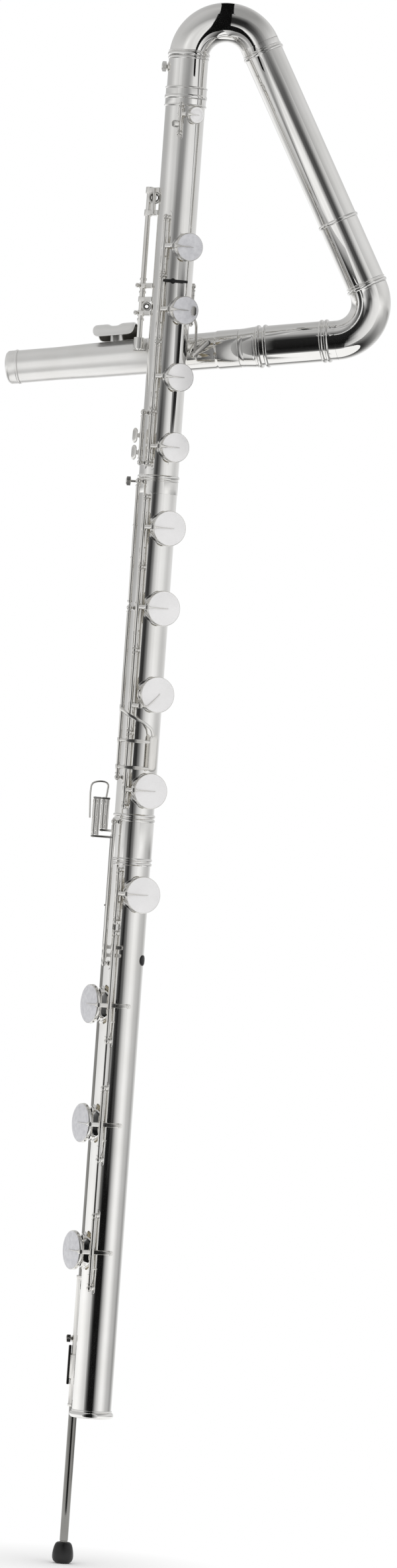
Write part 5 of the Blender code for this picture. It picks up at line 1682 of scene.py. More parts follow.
    def lip_plate(self) -> None:
        """Makes the sculpted lip plate, its blow hole, the riser beneath it and a dark sheet under it that paints its
        shade.
        """
        form = Form()
        steps = 96
        arc = self.lip_arc * self.lip_reach
        edge = self.oval(2.0, 2.0, steps, 9.0)
        hole = [Vector((p.x / arc, p.y / (self.lip_length / 2))) for p in self.oval(self.hole_width, self.hole_length, steps)]
        tops = []
        unders = []
        for i in range(15):
            share = (i / 14) ** 1.2
            lip = 0.7 * (1 - min(share / 0.07, 1.0)) ** 2 + 0.6 * max(0.0, 1 - (1 - share) / 0.06) ** 2
            spots = [near + (far - near) * share for near, far in zip(hole, edge)]
            tops.append([self.lip_point(p.x, p.y, lip) for p in spots])
            unders.append([self.lip_point(p.x, p.y, self.lip_thick - lip * 0.3) for p in spots])
        form.loft(tops + unders[::-1], self.lip_frame, closed=True)
        # A dark sheet just under the plate's underside paints the shade beneath the plate.
        under_shade_sheet = Form()
        rows = []
        for sink, order in ((self.lip_thick + 0.05, range(3, 29)), (self.lip_thick + 0.35, range(28, 2, -1))):
            for i in order:
                spots = [near + (far * 0.97 - near) * (i / 28) for near, far in zip(hole, edge)]
                rows.append([self.lip_point(p.x, p.y, sink) for p in spots])
        under_shade_sheet.loft(rows, self.lip_frame, closed=True)
        self.workshop.publish(under_shade_sheet, "lip_plate_underside", Finish.TARNISH, "head")
        rows = []
        for grow, flare, top in ((0.0, 1.0, True), (2.0, 1.0, True), (2.0, 1.15, False), (0.0, 1.0, False)):
            row = []
            for p in self.oval(self.hole_width + grow, self.hole_length + grow, steps):
                seat = math.sqrt(max(self.narrow_radius**2 - (p.x * flare) ** 2, 0.0)) + 0.3
                share = (p.x / arc, p.y / (self.lip_length / 2))
                out = self.lip_point(*share, 1.0)[1] if top else seat
                row.append((p.x * flare, out, p.y * flare))
            rows.append(row)
        form.loft(rows, self.lip_frame, closed=True)
        self.workshop.publish(form, "lip_plate_formed", Finish.HEAD, "head", ("lip_plate",))

    def crown(self) -> None:
        """Makes the crown with its rims and dome, and the stopper behind it."""
        place = self.axis @ Matrix.Translation((0.0, 0.0, self.high))
        r = self.narrow_radius
        form = Form()
        profile = [
            (0.0, 17.4), (r * 0.4, 17.2), (r * 0.74, 16.3), (r * 0.9, 15.0), (r * 0.98, 13.2), (r + 0.3, 11.6),
            (r + 0.4, 3.4), (r + 0.9, 2.8), (r + 1.1, 1.9), (r + 0.9, 0.9), (r + 0.2, 0.35), (r - 1.2, 0.3),
            (r - 1.2, -8.0), (2.8, -8.0), (2.8, 6.0), (0.0, 6.0),
        ]
        form.turn(profile, place, TUBE_SIDES)
        self.workshop.publish(form, "crown_turned", Finish.HEAD, "crown", ("crown",))
        form = Form()
        bore = r - self.wall - 0.3
        low = self.high - self.lip_to_crown + 42.0 - self.high
        profile = [
            (0.0, 1.7), (2.5, 1.7), (2.5, low + 21.6), (bore - 1.4, low + 21.6), (bore - 1.4, low + 20.0), (bore, low + 19.0),
            (bore - 0.5, low + 10.0), (bore, low + 1.2), (bore - 1.4, low), (bore - 1.4, low - 1.2), (0.0, low - 1.2),
        ]
        form.turn(profile, place, TUBE_SIDES)
        self.workshop.publish(form, "stopper_cork", Finish.CORK, "stopper", ("stopper",))

    def build(self) -> None:
        """Makes every piece of the head joint."""
        self.slide()
        self.tube()
        self.lip_plate()
        self.crown()


@dataclass
class KeyWork:
    """The padded keys: cups, pads, arms and hinge tubes."""

    workshop: Workshop
    tube_radius: float = 2.4
    tube_bore: float = 1.6
    post_gap: float = 3.9
    cups_in_shade: tuple = (*KEYS[:2], *KEYS[9:])

    def cup_top(self, plan: KeyPlan) -> Form:
        """Makes the slightly domed top of a cup.

        Args:
            plan: The key.

        Returns:
            Its form.
        """
        form = Form()
        r = plan.cup
        profile = [
            (0.0, 5.5), (r * 0.35, 5.45), (r * 0.65, 5.28), (r - 3.0, 5.0), (r - 2.2, 4.93), (r - 1.5, 5.0),
            (r - 0.9, 4.9), (r - 0.9, 4.0), (0.0, 4.0),
        ]
        form.turn(profile, plan.cup_frame, 96)
        return form

    def cup_wall(self, form: Form, plan: KeyPlan) -> None:
        """Adds the polished wall and rolled rim of a cup.

        Args:
            form: Where it goes.
            plan: The key.
        """
        r = plan.cup
        profile = [
            (r - 1.0, 4.7), (r - 0.5, 4.75), (r - 0.15, 4.4), (r, 3.8), (r, 1.3), (r + 0.2, 1.0), (r + 0.2, 0.6),
            (r, 0.35), (r - 0.6, 0.4), (r - 1.0, 0.8),
        ]
        form.turn(profile, plan.cup_frame, 96, closed=True)

    def pad(self, plan: KeyPlan) -> Form:
        """Makes the pad in a cup.

        Args:
            plan: The key.

        Returns:
            Its form.
        """
        form = Form()
        r = plan.cup - 1.3
        inner = plan.chimney - 0.6
        profile = [
            (0.0, 0.1), (inner - 1.4, 0.1), (inner - 0.9, 0.22), (inner + 0.3, 0.22), (inner + 0.9, 0.0),
            (r - 0.9, 0.15), (r - 0.2, 0.8), (r, 1.8), (r, 3.7), (0.0, 3.7),
        ]
        form.turn(profile[::-1], plan.cup_frame, 72)
        return form

    def arm(self, form: Form, plan: KeyPlan) -> None:
        """Adds the pointed arm from the hinge tube over the cup.

        Args:
            form: Where it goes.
            plan: The key.
        """
        top = plan.lift + 5.5
        over = top + 0.5
        edge = plan.across - plan.cup
        rise = min(3.2, edge - 2.0)
        reach = plan.across + plan.cup * 0.25
        low = -plan.slant
        path = [
            (1.4, rise * 0.1, low), (top * 0.55, rise * 0.8, low), (top - 1.0, rise, low), (over, rise + 2.6, low),
        ]
        if plan.slant:
            path += [(over, edge + plan.cup * 0.42, low), (over + 0.2, plan.across, -1.5), (over, plan.across + 2.0, 1.5)]
        else:
            path += [(over + 0.1, edge + plan.cup * 0.5, 0.0), (over + 0.2, plan.across, 0.0), (over, reach, 0.0)]
        points = []
        halves = []
        onto = edge + 2.0
        for p in soften(path, 2.6, 5):
            points.append(Vector((p.x, plan.side * p.y, p.z)))
            if p.y < onto:
                halves.append((1.1, 2.7))
            else:
                done = (p.y - onto) / (reach - onto)
                halves.append((0.9 - 0.5 * done, 1.0 - 0.75 * min(done, 1.0)))
        form.sweep(points, halves, UP, 3.2, 14, plan.hinge)

    def hinge_tube(self, form: Form, plan: KeyPlan) -> None:
        """Adds the hinge tube with its collars.

        Args:
            form: Where it goes.
            plan: The key.
        """
        place = plan.hinge
        low = plan.below + self.post_gap - plan.station
        high = plan.above - self.post_gap - plan.station
        form.pipe(self.tube_radius, self.tube_bore, low, high, place, 0.2, SMALL_SIDES)
        at = -plan.slant
        collars = [(low + 1.1, 2.2), (high - 1.1, 2.2), (at, 9.0)]
        for middle, height in collars:
            form.pipe(self.tube_radius + 0.55, self.tube_bore, middle - height / 2, middle + height / 2, place, 0.3,
                      SMALL_SIDES)
        for offset in (-0.34, 0.31):
            seam = offset * (high - low) + (high + low) / 2
            form.pipe(self.tube_radius + 0.3, self.tube_bore, seam - 0.9, seam + 0.9, place, 0.2, SMALL_SIDES)

    def spring_hook(self, form: Form, plan: KeyPlan) -> None:
        """Adds the small hook that the needle spring presses on.

        Args:
            form: Where it goes.
            plan: The key.
        """
        z = plan.below + 24.0 - plan.station
        base = plan.hinge.inverted() @ around(plan.line - plan.side * 0.16, 28.6, plan.station)
        path = [(0.0, 0.0, z), (base.x * 0.55, base.y * 0.55, z), (base.x, base.y, z)]
        form.sweep(path, [(1.0, 1.5), (0.8, 1.2), (0.6, 0.9)], UP, 3.0, 10, plan.hinge)

    def key(self, plan: KeyPlan, body: str, pad_node: str, extra: Form | None = None) -> None:
        """Makes one key: its cup in one finish, and its arm, tube and extras in another.

        Args:
            plan: The key.
            body: Its CAD body.
            pad_node: The CAD node of its pad.
            extra: Touches or tails soldered to it.
        """
        # The top and foot cups take the grey copy of the cup plate, whose darkness is painted shade.
        finish = Finish.PEARL if plan in self.cups_in_shade else Finish.CUP
        self.workshop.publish(self.cup_top(plan), plan.name + "_cup", finish, body, (plan.name,))
        metal = extra or Form()
        self.cup_wall(metal, plan)
        self.arm(metal, plan)
        self.hinge_tube(metal, plan)
        self.spring_hook(metal, plan)
        self.workshop.publish(metal, plan.name + "_metal", Finish.KEY, body)
        self.workshop.publish(self.pad(plan), pad_node + "_felt", Finish.SKIN, body, (pad_node,))

    def at_rest(self, plan: KeyPlan, points: list) -> list[Vector]:
        """Points of the standing body in a key's frame.

        Args:
            plan: The key.
            points: (azimuth in degrees, radius) pairs at the key's height.

        Returns:
            The points in the hinge frame.
        """
        back = plan.hinge.inverted()
        return [back @ around(rad(a), r, plan.station) for a, r in points]

    def kicker(self, form: Form, plan: KeyPlan) -> None:
        """Adds the round ended tail that crosses the front of the foot.

        Args:
            form: Where it goes.
            plan: The key.
        """
        route = self.at_rest(plan, [(-25.0, 30.6), (-17.0, 28.4), (-6.0, 28.4), (8.0, 28.4), (21.0, 28.4)])
        route = soften(route, 3.0, 4)
        halves = [(1.2, 2.9 - 0.6 * i / len(route)) for i in range(len(route))]
        form.sweep(route, halves, UP, 2.0, 18, plan.hinge)
        tip = plan.hinge @ route[-1]
        azimuth = math.atan2(tip.x, -tip.y)
        form.drum(2.9, math.hypot(tip.x, tip.y) - 1.0, math.hypot(tip.x, tip.y) + 1.0, radial(azimuth, plan.station))

    def clutch_tab(self, form: Form, plan: KeyPlan) -> None:
        """Adds the tab that the little finger lever lifts.

        Args:
            form: Where it goes.
            plan: The key.
        """
        route = self.at_rest(plan, [(-25.0, 31.4), (-17.0, 30.9), (-6.0, 30.6)])
        place = plan.hinge @ Matrix.Translation((0.0, 0.0, 768.0 - plan.station))
        form.sweep(soften(route, 2.0, 3), (0.8, 2.5), UP, 3.5, 12, place)
        form.pipe(self.tube_radius + 0.7, self.tube_bore, -4.0, 4.0, place, 0.3, SMALL_SIDES)

    def trill_touch(self, form: Form) -> None:
        """Adds the small touch of the trill key.

        Args:
            form: Where it goes.
        """
        place = TRILL.hinge @ Matrix.Translation((1.6, -6.2, TRILL.below + 11.0 - TRILL.station)) @ UPRIGHT_TO_X
        form.slab(stadium(12.0, 9.0), -0.8, 0.8, place, 0.5, 1.1)

    def thumb_touch(self, form: Form) -> None:
        """Adds the slanted thumb touch on its bent arm.

        Args:
            form: Where it goes.
        """
        back = THUMB.hinge.inverted()
        start = around(THUMB.line, TUBING.hinge_radius, 1553.0) + Vector((2.9, -1.7, 0.0))
        route = [start, Vector((33.0, 13.0, 1546.0)), Vector((34.0, 10.5, 1524.0)), Vector((33.0, 10.0, 1509.0))]
        form.wire([back @ p for p in soften(route, 5.0, 5)], 1.7, back.to_3x3() @ Vector((1.0, 0.0, 0.0)), THUMB.hinge)
        low = Vector((29.0, 10.0, 1504.5))
        high = Vector((51.5, 10.0, 1525.5))
        place = axis_frame((low + high) / 2, FORWARD, (high - low).cross(FORWARD))
        form.slab(stadium((high - low).length, 7.2), -1.0, 0.9, place, 0.45, 0.5)

    def side_touch(self, form: Form, plan: KeyPlan) -> None:
        """Adds the small upright finger plate on the edge of a cup.

        Args:
            form: Where it goes.
            plan: The key.
        """
        place = plan.cup_frame @ Matrix.Translation((0.0, 10.6, 5.2)) @ Matrix.Rotation(rad(90.0), 4, "Z")
        form.slab(stadium(12.0, 6.4), 0.0, 1.9, place, 0.5, 0.3)

    def build(self) -> None:
        """Makes all the padded keys."""
        for number, plan in enumerate(KEYS, 1):
            extra = Form()
            if number == 2:
                self.side_touch(extra, plan)
            if number >= 10:
                self.kicker(extra, plan)
            if number == 10:
                self.clutch_tab(extra, plan)
            self.key(plan, plan.name, f"pad_{number:02d}", extra)
        extra = Form()
        self.trill_touch(extra)
        self.key(TRILL, "trill_key", "trill_pad", extra)
        extra = Form()
        self.thumb_touch(extra)
        self.key(THUMB, "thumb_key", "thumb_pad", extra)


@dataclass
class Levers:
    """The levers on the outer line: left hand, right side and the two little finger levers."""

    workshop: Workshop
    rod_radius: float = 2.4
    steel_radius: float = 1.2
    post_gap: float = 3.9
    roller_top: float = 949.0
    touch_y: float = -25.0
    collar: float = 12.0
    high: float = 923.0
    low: float = 748.0

    def rod(self, form: Form, high: float, low: float) -> None:
        """Adds a solid hinge rod with thin ends and collars.

        Args:
            form: Where it goes.
            high: Height of the upper post.
            low: Height of the lower post.
        """
        place = Matrix.Translation(around(TUBING.outer_line, TUBING.hinge_radius))
        form.drum(self.rod_radius, low + self.post_gap, high - self.post_gap, place, 0.3)
        form.drum(self.steel_radius, low - 2.6, high + 2.6, place, 0.2)
        for z in (low + self.post_gap + 1.1, high - self.post_gap - 1.1):
            form.drum(self.rod_radius + 0.55, z - 1.1, z + 1.1, place, 0.3)

    def arm(self, form: Form, route: list, z: float, half: float, wide: float) -> None:
        """Adds a flat arm that leaves the outer hinge line.

        Args:
            form: Where it goes.
            route: (azimuth in degrees, radius) pairs after the hinge.
            z: Height of its middle.
            half: Half its thickness.
            wide: Half its width.
        """
        points = [around(TUBING.outer_line, TUBING.hinge_radius, z)]
        points += [around(rad(a), r, z) for a, r in route]
        start = points[0] + (points[1] - points[0]).normalized() * 1.6
        form.sweep(soften([start] + points[1:], 3.0, 4), (half, wide), UP, 3.5, 14)
        place = Matrix.Translation(around(TUBING.outer_line, TUBING.hinge_radius))
        form.drum(self.rod_radius + 0.6, z - wide - 1.2, z + wide + 1.2, place, 0.3)

    def touch(self, form: Form, azimuth: float, radius: float, z: float, length: float, width: float) -> None:
        """Adds a crowned finger plate.

        Args:
            form: Where it goes.
            azimuth: Where it faces.
            radius: Distance of its middle from the body axis.
            z: Its height.
            length: Its length, upright.
            width: Its width.
        """
        outward = around(azimuth, 1.0)
        rotation = Matrix((UP.cross(outward), UP, outward)).transposed().to_4x4()
        place = Matrix.Translation(around(azimuth, radius, z)) @ rotation
        form.slab(stadium(length, width, 14), -0.9, 0.8, place, 0.5, 0.6)

    def side(self) -> None:
        """Makes the long right hand side lever."""
        form = Form()
        self.rod(form, 1188.0, 978.0)
        route = [(-38.0, 37.6), (-25.0, 38.6), (-8.0, 37.4), (10.0, 35.4), (27.0, 34.4)]
        for z in (1024.0, 991.0):
            self.arm(form, route, z, 0.95, 2.1)
        crook = [(-49.0, 34.0, 1064.0), (-40.0, 38.0, 1062.0), (-25.0, 38.8, 1056.0), (-8.0, 37.8, 1051.0),
                 (10.0, 36.2, 1046.0), (24.0, 34.8, 1040.0), (30.0, 34.4, 1030.0)]
        form.sweep(soften([around(rad(a), r, z) for a, r, z in crook], 3.0, 4), (0.95, 2.0), UP, 3.0, 14)
        place = Matrix.Translation(around(TUBING.outer_line, TUBING.hinge_radius))
        form.drum(self.rod_radius + 0.6, 1060.0, 1068.0, place, 0.3)
        self.touch(form, rad(31.0), 34.2, 1010.5, 46.0, 12.0)
        self.workshop.publish(form, "side_lever_filed", Finish.KEY, "side_lever", ("side_lever",))

    def left(self) -> None:
        """Makes the left hand lever with its two stacked touches."""
        form = Form()
        self.rod(form, 1430.0, 1368.0)
        for z in (1401.0, 1380.0):
            self.arm(form, [(-54.0, 35.6), (-60.0, 36.6)], z, 0.95, 2.6)
            self.touch(form, rad(-61.0), 37.2, z, 18.6, 11.4)
        self.workshop.publish(form, "left_lever_filed", Finish.KEY, "left_lever", ("left_lever",))

    def frame(self, form: Form, bar_x: float, pin_x: float, low_z: float) -> None:
        """Adds a bar and a roller pin between two end plates.

        Args:
            form: Where it goes.
            bar_x: Where the bar stands.
            pin_x: Where the roller's pin stands.
            low_z: Height of the lower plate.
        """
        y = self.touch_y
        hinge = around(TUBING.outer_line, TUBING.hinge_radius)
        high_z = self.roller_top + 1.8
        bar, pin = Vector((bar_x, y, 0.0)), Vector((pin_x, y, 0.0))
        past = (pin - bar).normalized() * 2.2
        start = hinge + (bar - hinge).normalized() * 1.6
        lift = Vector((0.0, 0.0, low_z))
        form.sweep([start + lift, bar + lift, pin + past + lift], (2.7, 1.5), UP, 3.0, 14)
        lift = Vector((0.0, 0.0, high_z))
        form.sweep([bar - past + lift, pin + past + lift], (2.7, 1.5), UP, 3.0, 14)
        form.drum(2.0, low_z, high_z, Matrix.Translation(bar), 0.2)
        form.drum(0.7, low_z, high_z, Matrix.Translation(pin), 0.1)
        for z in (low_z, high_z):
            form.drum(1.3, z - 1.7, z + 1.7, Matrix.Translation(pin), 0.3)

    def outer(self) -> None:
        """Makes the little finger lever on the outer tube."""
        form = Form()
        place = Matrix.Translation(around(TUBING.outer_line, TUBING.hinge_radius))
        top = self.high - self.post_gap - self.collar - 0.3
        bottom = self.low + self.post_gap + self.collar + 0.3
        form.pipe(self.rod_radius, 1.6, bottom, top, place, 0.2, SMALL_SIDES)
        for z in (bottom + 1.3, top - 1.3):
            form.pipe(self.rod_radius + 0.5, 1.6, z - 1.3, z + 1.3, place, 0.3, SMALL_SIDES)
        self.frame(form, -44.0, -49.0, 903.5)
        self.arm(form, [(-38.0, 28.6), (-24.0, 27.0), (-10.0, 27.0)], 768.0, 0.75, 2.3)
        self.workshop.publish(form, "outer_lever_filed", Finish.KEY, "outer_lever", ("outer_lever",))

    def inner(self) -> None:
        """Makes the little finger lever whose rod turns inside the outer tube, with its wire loop."""
        form = Form()
        place = Matrix.Translation(around(TUBING.outer_line, TUBING.hinge_radius))
        form.drum(self.steel_radius, self.low - 2.6, self.high + 2.6, place, 0.2)
        form.drum(self.rod_radius, self.high - self.post_gap - self.collar, self.high - self.post_gap, place, 0.3)
        form.drum(self.rod_radius, self.low + self.post_gap, self.low + self.post_gap + self.collar, place, 0.3)
        self.frame(form, -33.5, -38.5, 911.5)
        self.arm(form, [(-38.0, 28.6), (-24.0, 27.0), (-10.0, 27.0)], 758.0, 0.75, 2.3)
        guard = [
            (-36.0, -25.0, 951.0), (-35.0, -25.0, 958.0), (-34.0, -25.0, 970.0), (-44.0, -25.5, 972.0),
            (-55.0, -26.0, 969.0), (-56.0, -26.0, 955.0), (-54.5, -26.0, 926.0),
        ]
        form.wire(soften(guard, 5.0, 6), 1.25, FORWARD)
        self.workshop.publish(form, "inner_lever_filed", Finish.KEY, "inner_lever", ("inner_lever",))

    def rollers(self) -> None:
        """Makes the two rollers with their grooves."""
        for name, x, low in (("outer_roller", -49.0, 905.5), ("inner_roller", -38.5, 913.5)):
            form = Form()
            high = self.roller_top
            profile = [(2.8, high - 0.5), (2.5, high), (1.0, high), (1.0, low), (2.5, low), (2.8, low + 0.5)]
            for z in (low + 5.0, (low + high) / 2, high - 5.0):
                profile += [(2.8, z - 0.6), (2.3, z - 0.2), (2.3, z + 0.2), (2.8, z + 0.6)]
            form.turn(profile, Matrix.Translation((x, self.touch_y, 0.0)), SMALL_SIDES, closed=True)
            self.workshop.publish(form, name + "_turned", Finish.KEY, name, (name,))

    def build(self) -> None:
        """Makes every lever."""
        self.side()
        self.left()
        self.outer()
        self.inner()
        self.rollers()


@dataclass
class Brace:
    """The rod beside the body that steadies the head joint, with its clips and its saddle."""

    workshop: Workshop
    head: Matrix
    beside: float = -36.5
    behind: float = 12.0
    radius: float = 3.3
    length: float = 202.0
    above_head: float = 5.7
    head_radius: float = 22.4

    @property
    def foot(self) -> float:
        """Height of the rod's lower end, just above the head axis where that passes behind it."""
        axis = self.head.col[2].to_3d()
        origin = self.head.translation
        return origin.z + axis.z * (self.beside - origin.x) / axis.x + self.above_head

    def clip(self, form: Form, z: float, high: float) -> None:
        """Adds one plate that joins the rod to the body tube.

        Args:
            form: Where it goes.
            z: Height of its middle.
            high: Its height.
        """
        x, y = self.beside, self.behind
        wide = around(rad(-78.0), TUBING.radius)
        back = around(rad(-126.0), TUBING.radius)
        inward = around(rad(-100.0), TUBING.radius - 1.0)
        outline = [
            (x - 4.6, y - 3.0), (x + 2.0, y - 6.0), (wide.x - 1.8, wide.y - 0.6), (wide.x + 1.0, wide.y),
            (inward.x, inward.y), (back.x + 2.0, back.y), (back.x - 1.6, back.y + 1.6), (x - 2.0, y + 4.6),
        ]
        form.slab(soften(outline, 1.6, 3, True), z - high / 2, z + high / 2, None, 0.6)

    def rod(self) -> None:
        """Makes the rod with its clips, clamp screws and collars, and dark sheets in its rings that paint their shade.
        """
        form = Form()
        foot = self.foot
        top = foot + self.length
        place = Matrix.Translation((self.beside, self.behind, 0.0))
        form.drum(self.radius, foot, top, place, 0.8)
        for z in (top - 3.5, top - 31.5):
            self.clip(form, z, 6.4)
            form.drum(self.radius + 1.5, z - 4.2, z + 4.2, place, 0.7)
        for z in (foot + 80.0, foot + 63.0, foot + 46.0):
            self.clip(form, z, 6.0)
            form.drum(self.radius + 1.3, z - 3.6, z + 3.6, place, 0.7)
        for z in (foot + 80.0, foot + 46.0):
            screw = Matrix.Translation((self.beside, self.behind, z)) @ facing(rad(-60.0)) @ UPRIGHT_TO_X
            form.drum(1.4, 2.0, 7.5, screw, 0.2)
            form.drum(2.6, 6.4, 9.4, screw, 0.5)
        for z, outer, inner in ((top - 13.0, 8.2, 5.4), (foot + 54.0, 6.0, 3.4)):
            ring = Matrix.Translation((self.beside + 6.6, 2.0, z)) @ Matrix.Rotation(rad(90.0), 4, "X")
            form.pipe(outer, inner, -3.4, 3.4, ring, 0.8, 40)
            # A dark sheet inside each ring paints the shade in its opening.
            ring_shade_sheet = Form()
            ring_shade_sheet.pipe(inner + 0.02, inner - 1.2, -3.0, 3.0, ring, 0.2, 40)
            self.workshop.publish(ring_shade_sheet, f"brace_lining_{round(z)}", Finish.TARNISH, "body")
        for z in (foot + 88.0, foot + 72.0, foot + 38.0):
            form.drum(self.radius + 1.0, z - 1.6, z + 1.6, place, 0.5)
        strap = soften([(-33.0, -4.0), (-31.0, -6.4), (-27.5, -4.6), (-27.5, 4.0), (-31.0, 6.0), (-33.0, 4.0)], 1.0)
        column = Matrix.Translation((0.0, 4.0, 0.0))
        form.slab(strap, top - 34.0, top - 1.0, column, 0.6)
        self.workshop.publish(form, "brace_rod_turned", Finish.KEY, "body", ("brace_rod",))

    def saddle(self) -> None:
        """Makes the saddle that takes the head joint, with its curved face."""
        form = Form()
        foot = self.foot
        x, y = self.beside, self.behind
        outline = [
            (x - 3.4, y - 6.4), (x + 3.4, y - 6.4), (x + 6.4, y - 2.0), (x + 6.4, y + 8.0), (x + 9.6, y + 30.0),
            (x - 7.8, y + 30.0), (x - 6.4, y + 6.0), (x - 6.4, y - 2.0),
        ]
        form.slab(soften(outline, 1.8, 4, True), foot + 1.2, foot + 15.8, None, 0.8)
        obj = form.made("brace_saddle_cast")
        cutter = Form()
        cutter.drum(self.head_radius + 0.9, 200.0, 330.0, self.head, 0.1, TUBE_SIDES)
        cutter.drum(self.radius + 0.25, foot - 10.0, foot + 30.0, Matrix.Translation((x, y, 0.0)), 0.1)
        pierced(obj, cutter)
        self.workshop.fit(obj, Finish.KEY, "body", ("brace_saddle",))

    def build(self) -> None:
        """Makes the brace."""
        self.rod()
        self.saddle()


@dataclass
class FloorPeg:
    """The holder on the foot, the sliding peg and its rubber foot."""

    workshop: Workshop
    beside: float = -23.0
    behind: float = 24.0
    radius: float = 5.2
    bottom: float = 11.0
    top: float = 905.0
    holder_low: float = 195.2
    holder_high: float = 358.0
    screw: float = 279.0

    @property
    def place(self) -> Matrix:
        """Frame on the peg's axis."""
        return Matrix.Translation((self.beside, self.behind, 0.0))

    def holder(self) -> None:
        """Makes the split sleeve, its collar and the two brackets on the foot."""
        form = Form()
        bore = self.radius + 0.3
        outer = bore + 1.5
        low, high = self.holder_low, self.holder_high
        profile = [
            (outer + 0.6, high), (outer + 0.6, high - 3.0), (outer, high - 3.6), (outer, 260.5), (outer + 1.6, 259.0),
            (outer + 1.6, 230.0), (outer, 228.6), (outer, low + 3.4), (outer + 0.6, low + 2.8), (outer + 0.6, low),
            (bore, low), (bore, high),
        ]
        form.turn(soften(profile, 0.4, 2, True), self.place, 48, closed=True)
        azimuth = math.atan2(self.beside, -self.behind)
        distance = math.hypot(self.beside, self.behind)
        far = distance - bore - 0.4
        for middle in (low + 4.5, high - 10.5):
            near = TUBING.radius - 0.4
            outline = [(near, -11.0), (far, -5.4), (far, 5.4), (near, 11.0)]
            place = Matrix.Translation((0.0, 0.0, middle)) @ facing(azimuth)
            form.slab(outline, -4.5, 4.5, place, 0.8)
            form.sweep(
                [around(azimuth + rad(a), TUBING.radius + 0.35, middle) for a in range(-42, 43, 6)],
                (0.7, 5.4), UP, 4.0, 14,
            )
        boss = self.place @ Matrix.Translation((0.0, 0.0, self.screw)) @ facing(rad(-90.0)) @ UPRIGHT_TO_X
        form.pipe(3.8, 1.9, bore + 0.7, outer + 1.4, boss, 0.3, SMALL_SIDES)
        self.workshop.publish(form, "peg_holder_turned", Finish.KEY, "body", ("peg_holder",))
        form = Form()
        outline = soften([(-34.0, 222.0), (-30.4, 222.0), (-30.4, 271.0), (-34.0, 271.0)], 1.4, 4, True)
        place = Matrix.Translation((0.0, self.behind, 0.0)) @ Matrix.Rotation(rad(90.0), 4, "X")
        form.slab(outline, -1.8, 1.8, place, 0.5)
        self.workshop.publish(form, "peg_clamp_lug", Finish.STEEL, "body")

    def peg(self) -> None:
        """Makes the ground steel peg and its rubber foot."""
        form = Form()
        r = self.radius
        profile = [
            (0.0, self.top), (r - 1.2, self.top), (r, self.top - 1.2), (r, self.bottom + 17.5), (r - 0.5, self.bottom + 17.2),
            (r - 0.5, self.bottom + 16.4), (r, self.bottom + 16.0), (r, self.bottom), (0.0, self.bottom),
        ]
        form.turn(profile, self.place, 64)
        self.workshop.publish(form, "peg_rod_ground", Finish.STEEL, "peg", ("peg_rod",))
        form = Form()
        profile = [
            (0.0, 10.7), (5.5, 10.7), (5.5, 26.4), (6.6, 26.5), (8.2, 26.0), (9.6, 24.9), (10.7, 23.0), (11.7, 20.0),
            (12.6, 16.0), (13.1, 12.4), (13.3, 9.2), (13.0, 6.2), (12.0, 3.4), (10.2, 1.4), (7.8, 0.3), (5.5, 0.0),
            (0.0, 0.0),
        ]
        form.turn(profile, self.place, 64)
        self.workshop.publish(form, "peg_tip_moulded", Finish.RUBBER, "peg", ("peg_tip",))

    def build(self) -> None:
        """Makes the peg and its holder."""
        self.holder()
        self.peg()


@dataclass
class Screws:
    """The knurled clamping screws."""

    workshop: Workshop
    repeater: Repeater
    head_radius: float = 6.3
    head_length: float = 6.2
    stem: float = 1.6

    def screw(self, name: str, place: Matrix, seat: float, tip: float, scale: float = 1.0) -> None:
        """Makes one screw with a knurled head.

        Args:
            name: Name of its CAD node.
            place: Frame whose Z is its axis, in millimetres about the body axis.
            seat: Where the head starts along local Z.
            tip: Where the stem ends along local Z.
            scale: Size of the head.
        """
        r = self.head_radius * scale - 0.5
        high = seat + self.head_length
        form = Form()
        profile = [
            (0.0, high + 0.35), (r * 0.55, high + 0.25), (r * 0.8, high - 0.1), (r * 0.84, high - 0.35), (r * 0.9, high - 0.1),
            (r, high - 0.7), (r, seat + 0.9), (r * 0.86, seat + 0.5), (r * 0.6, seat + 0.3), (r * 0.5, seat),
            (self.stem, seat), (self.stem, tip + 0.5), (self.stem - 0.5, tip), (0.0, tip),
        ]
        form.turn(profile, Matrix.Identity(4), 40)
        form.shape.transform(BODY_TO_FRAME.inverted() @ Matrix.Scale(0.001, 4))
        form.shape.transform(Matrix.Translation((0.0, 0.0, 0.0)))
        obj = form.made(name + "_knurled")
        middle = (high + seat) / 2000.0
        obj.data.transform(Matrix.Translation((0.0, 0.0, -middle)))
        sizes = {"Radius": r / 1000.0, "Height": (self.head_length - 1.8) / 1000.0, "Ridges": 36, "Depth": 0.0007}
        self.repeater.run(obj, self.repeater.knurl, Finish.KEY, sizes)
        turn = (BODY_TO_FRAME @ place @ Matrix.Scale(1000.0, 4)) @ Matrix.Translation((0.0, 0.0, middle))
        obj.data.transform(turn)
        self.workshop.fit(obj, Finish.KEY, name, (name,))

    def build(self) -> None:
        """Makes the three screws."""
        seat = TUBING.radius + 1.7
        self.screw("top_lock_screw", radial(rad(-90.0), 1860.0), seat, 23.6)
        self.screw("body_lock_screw", radial(rad(-90.0), 1345.0), seat + 7.4, 23.6, 0.9)
        peg = Matrix.Translation((-23.0, 24.0, 279.0)) @ facing(rad(-90.0)) @ UPRIGHT_TO_X
        self.screw("peg_screw", peg, 8.7, 5.8, 0.75)


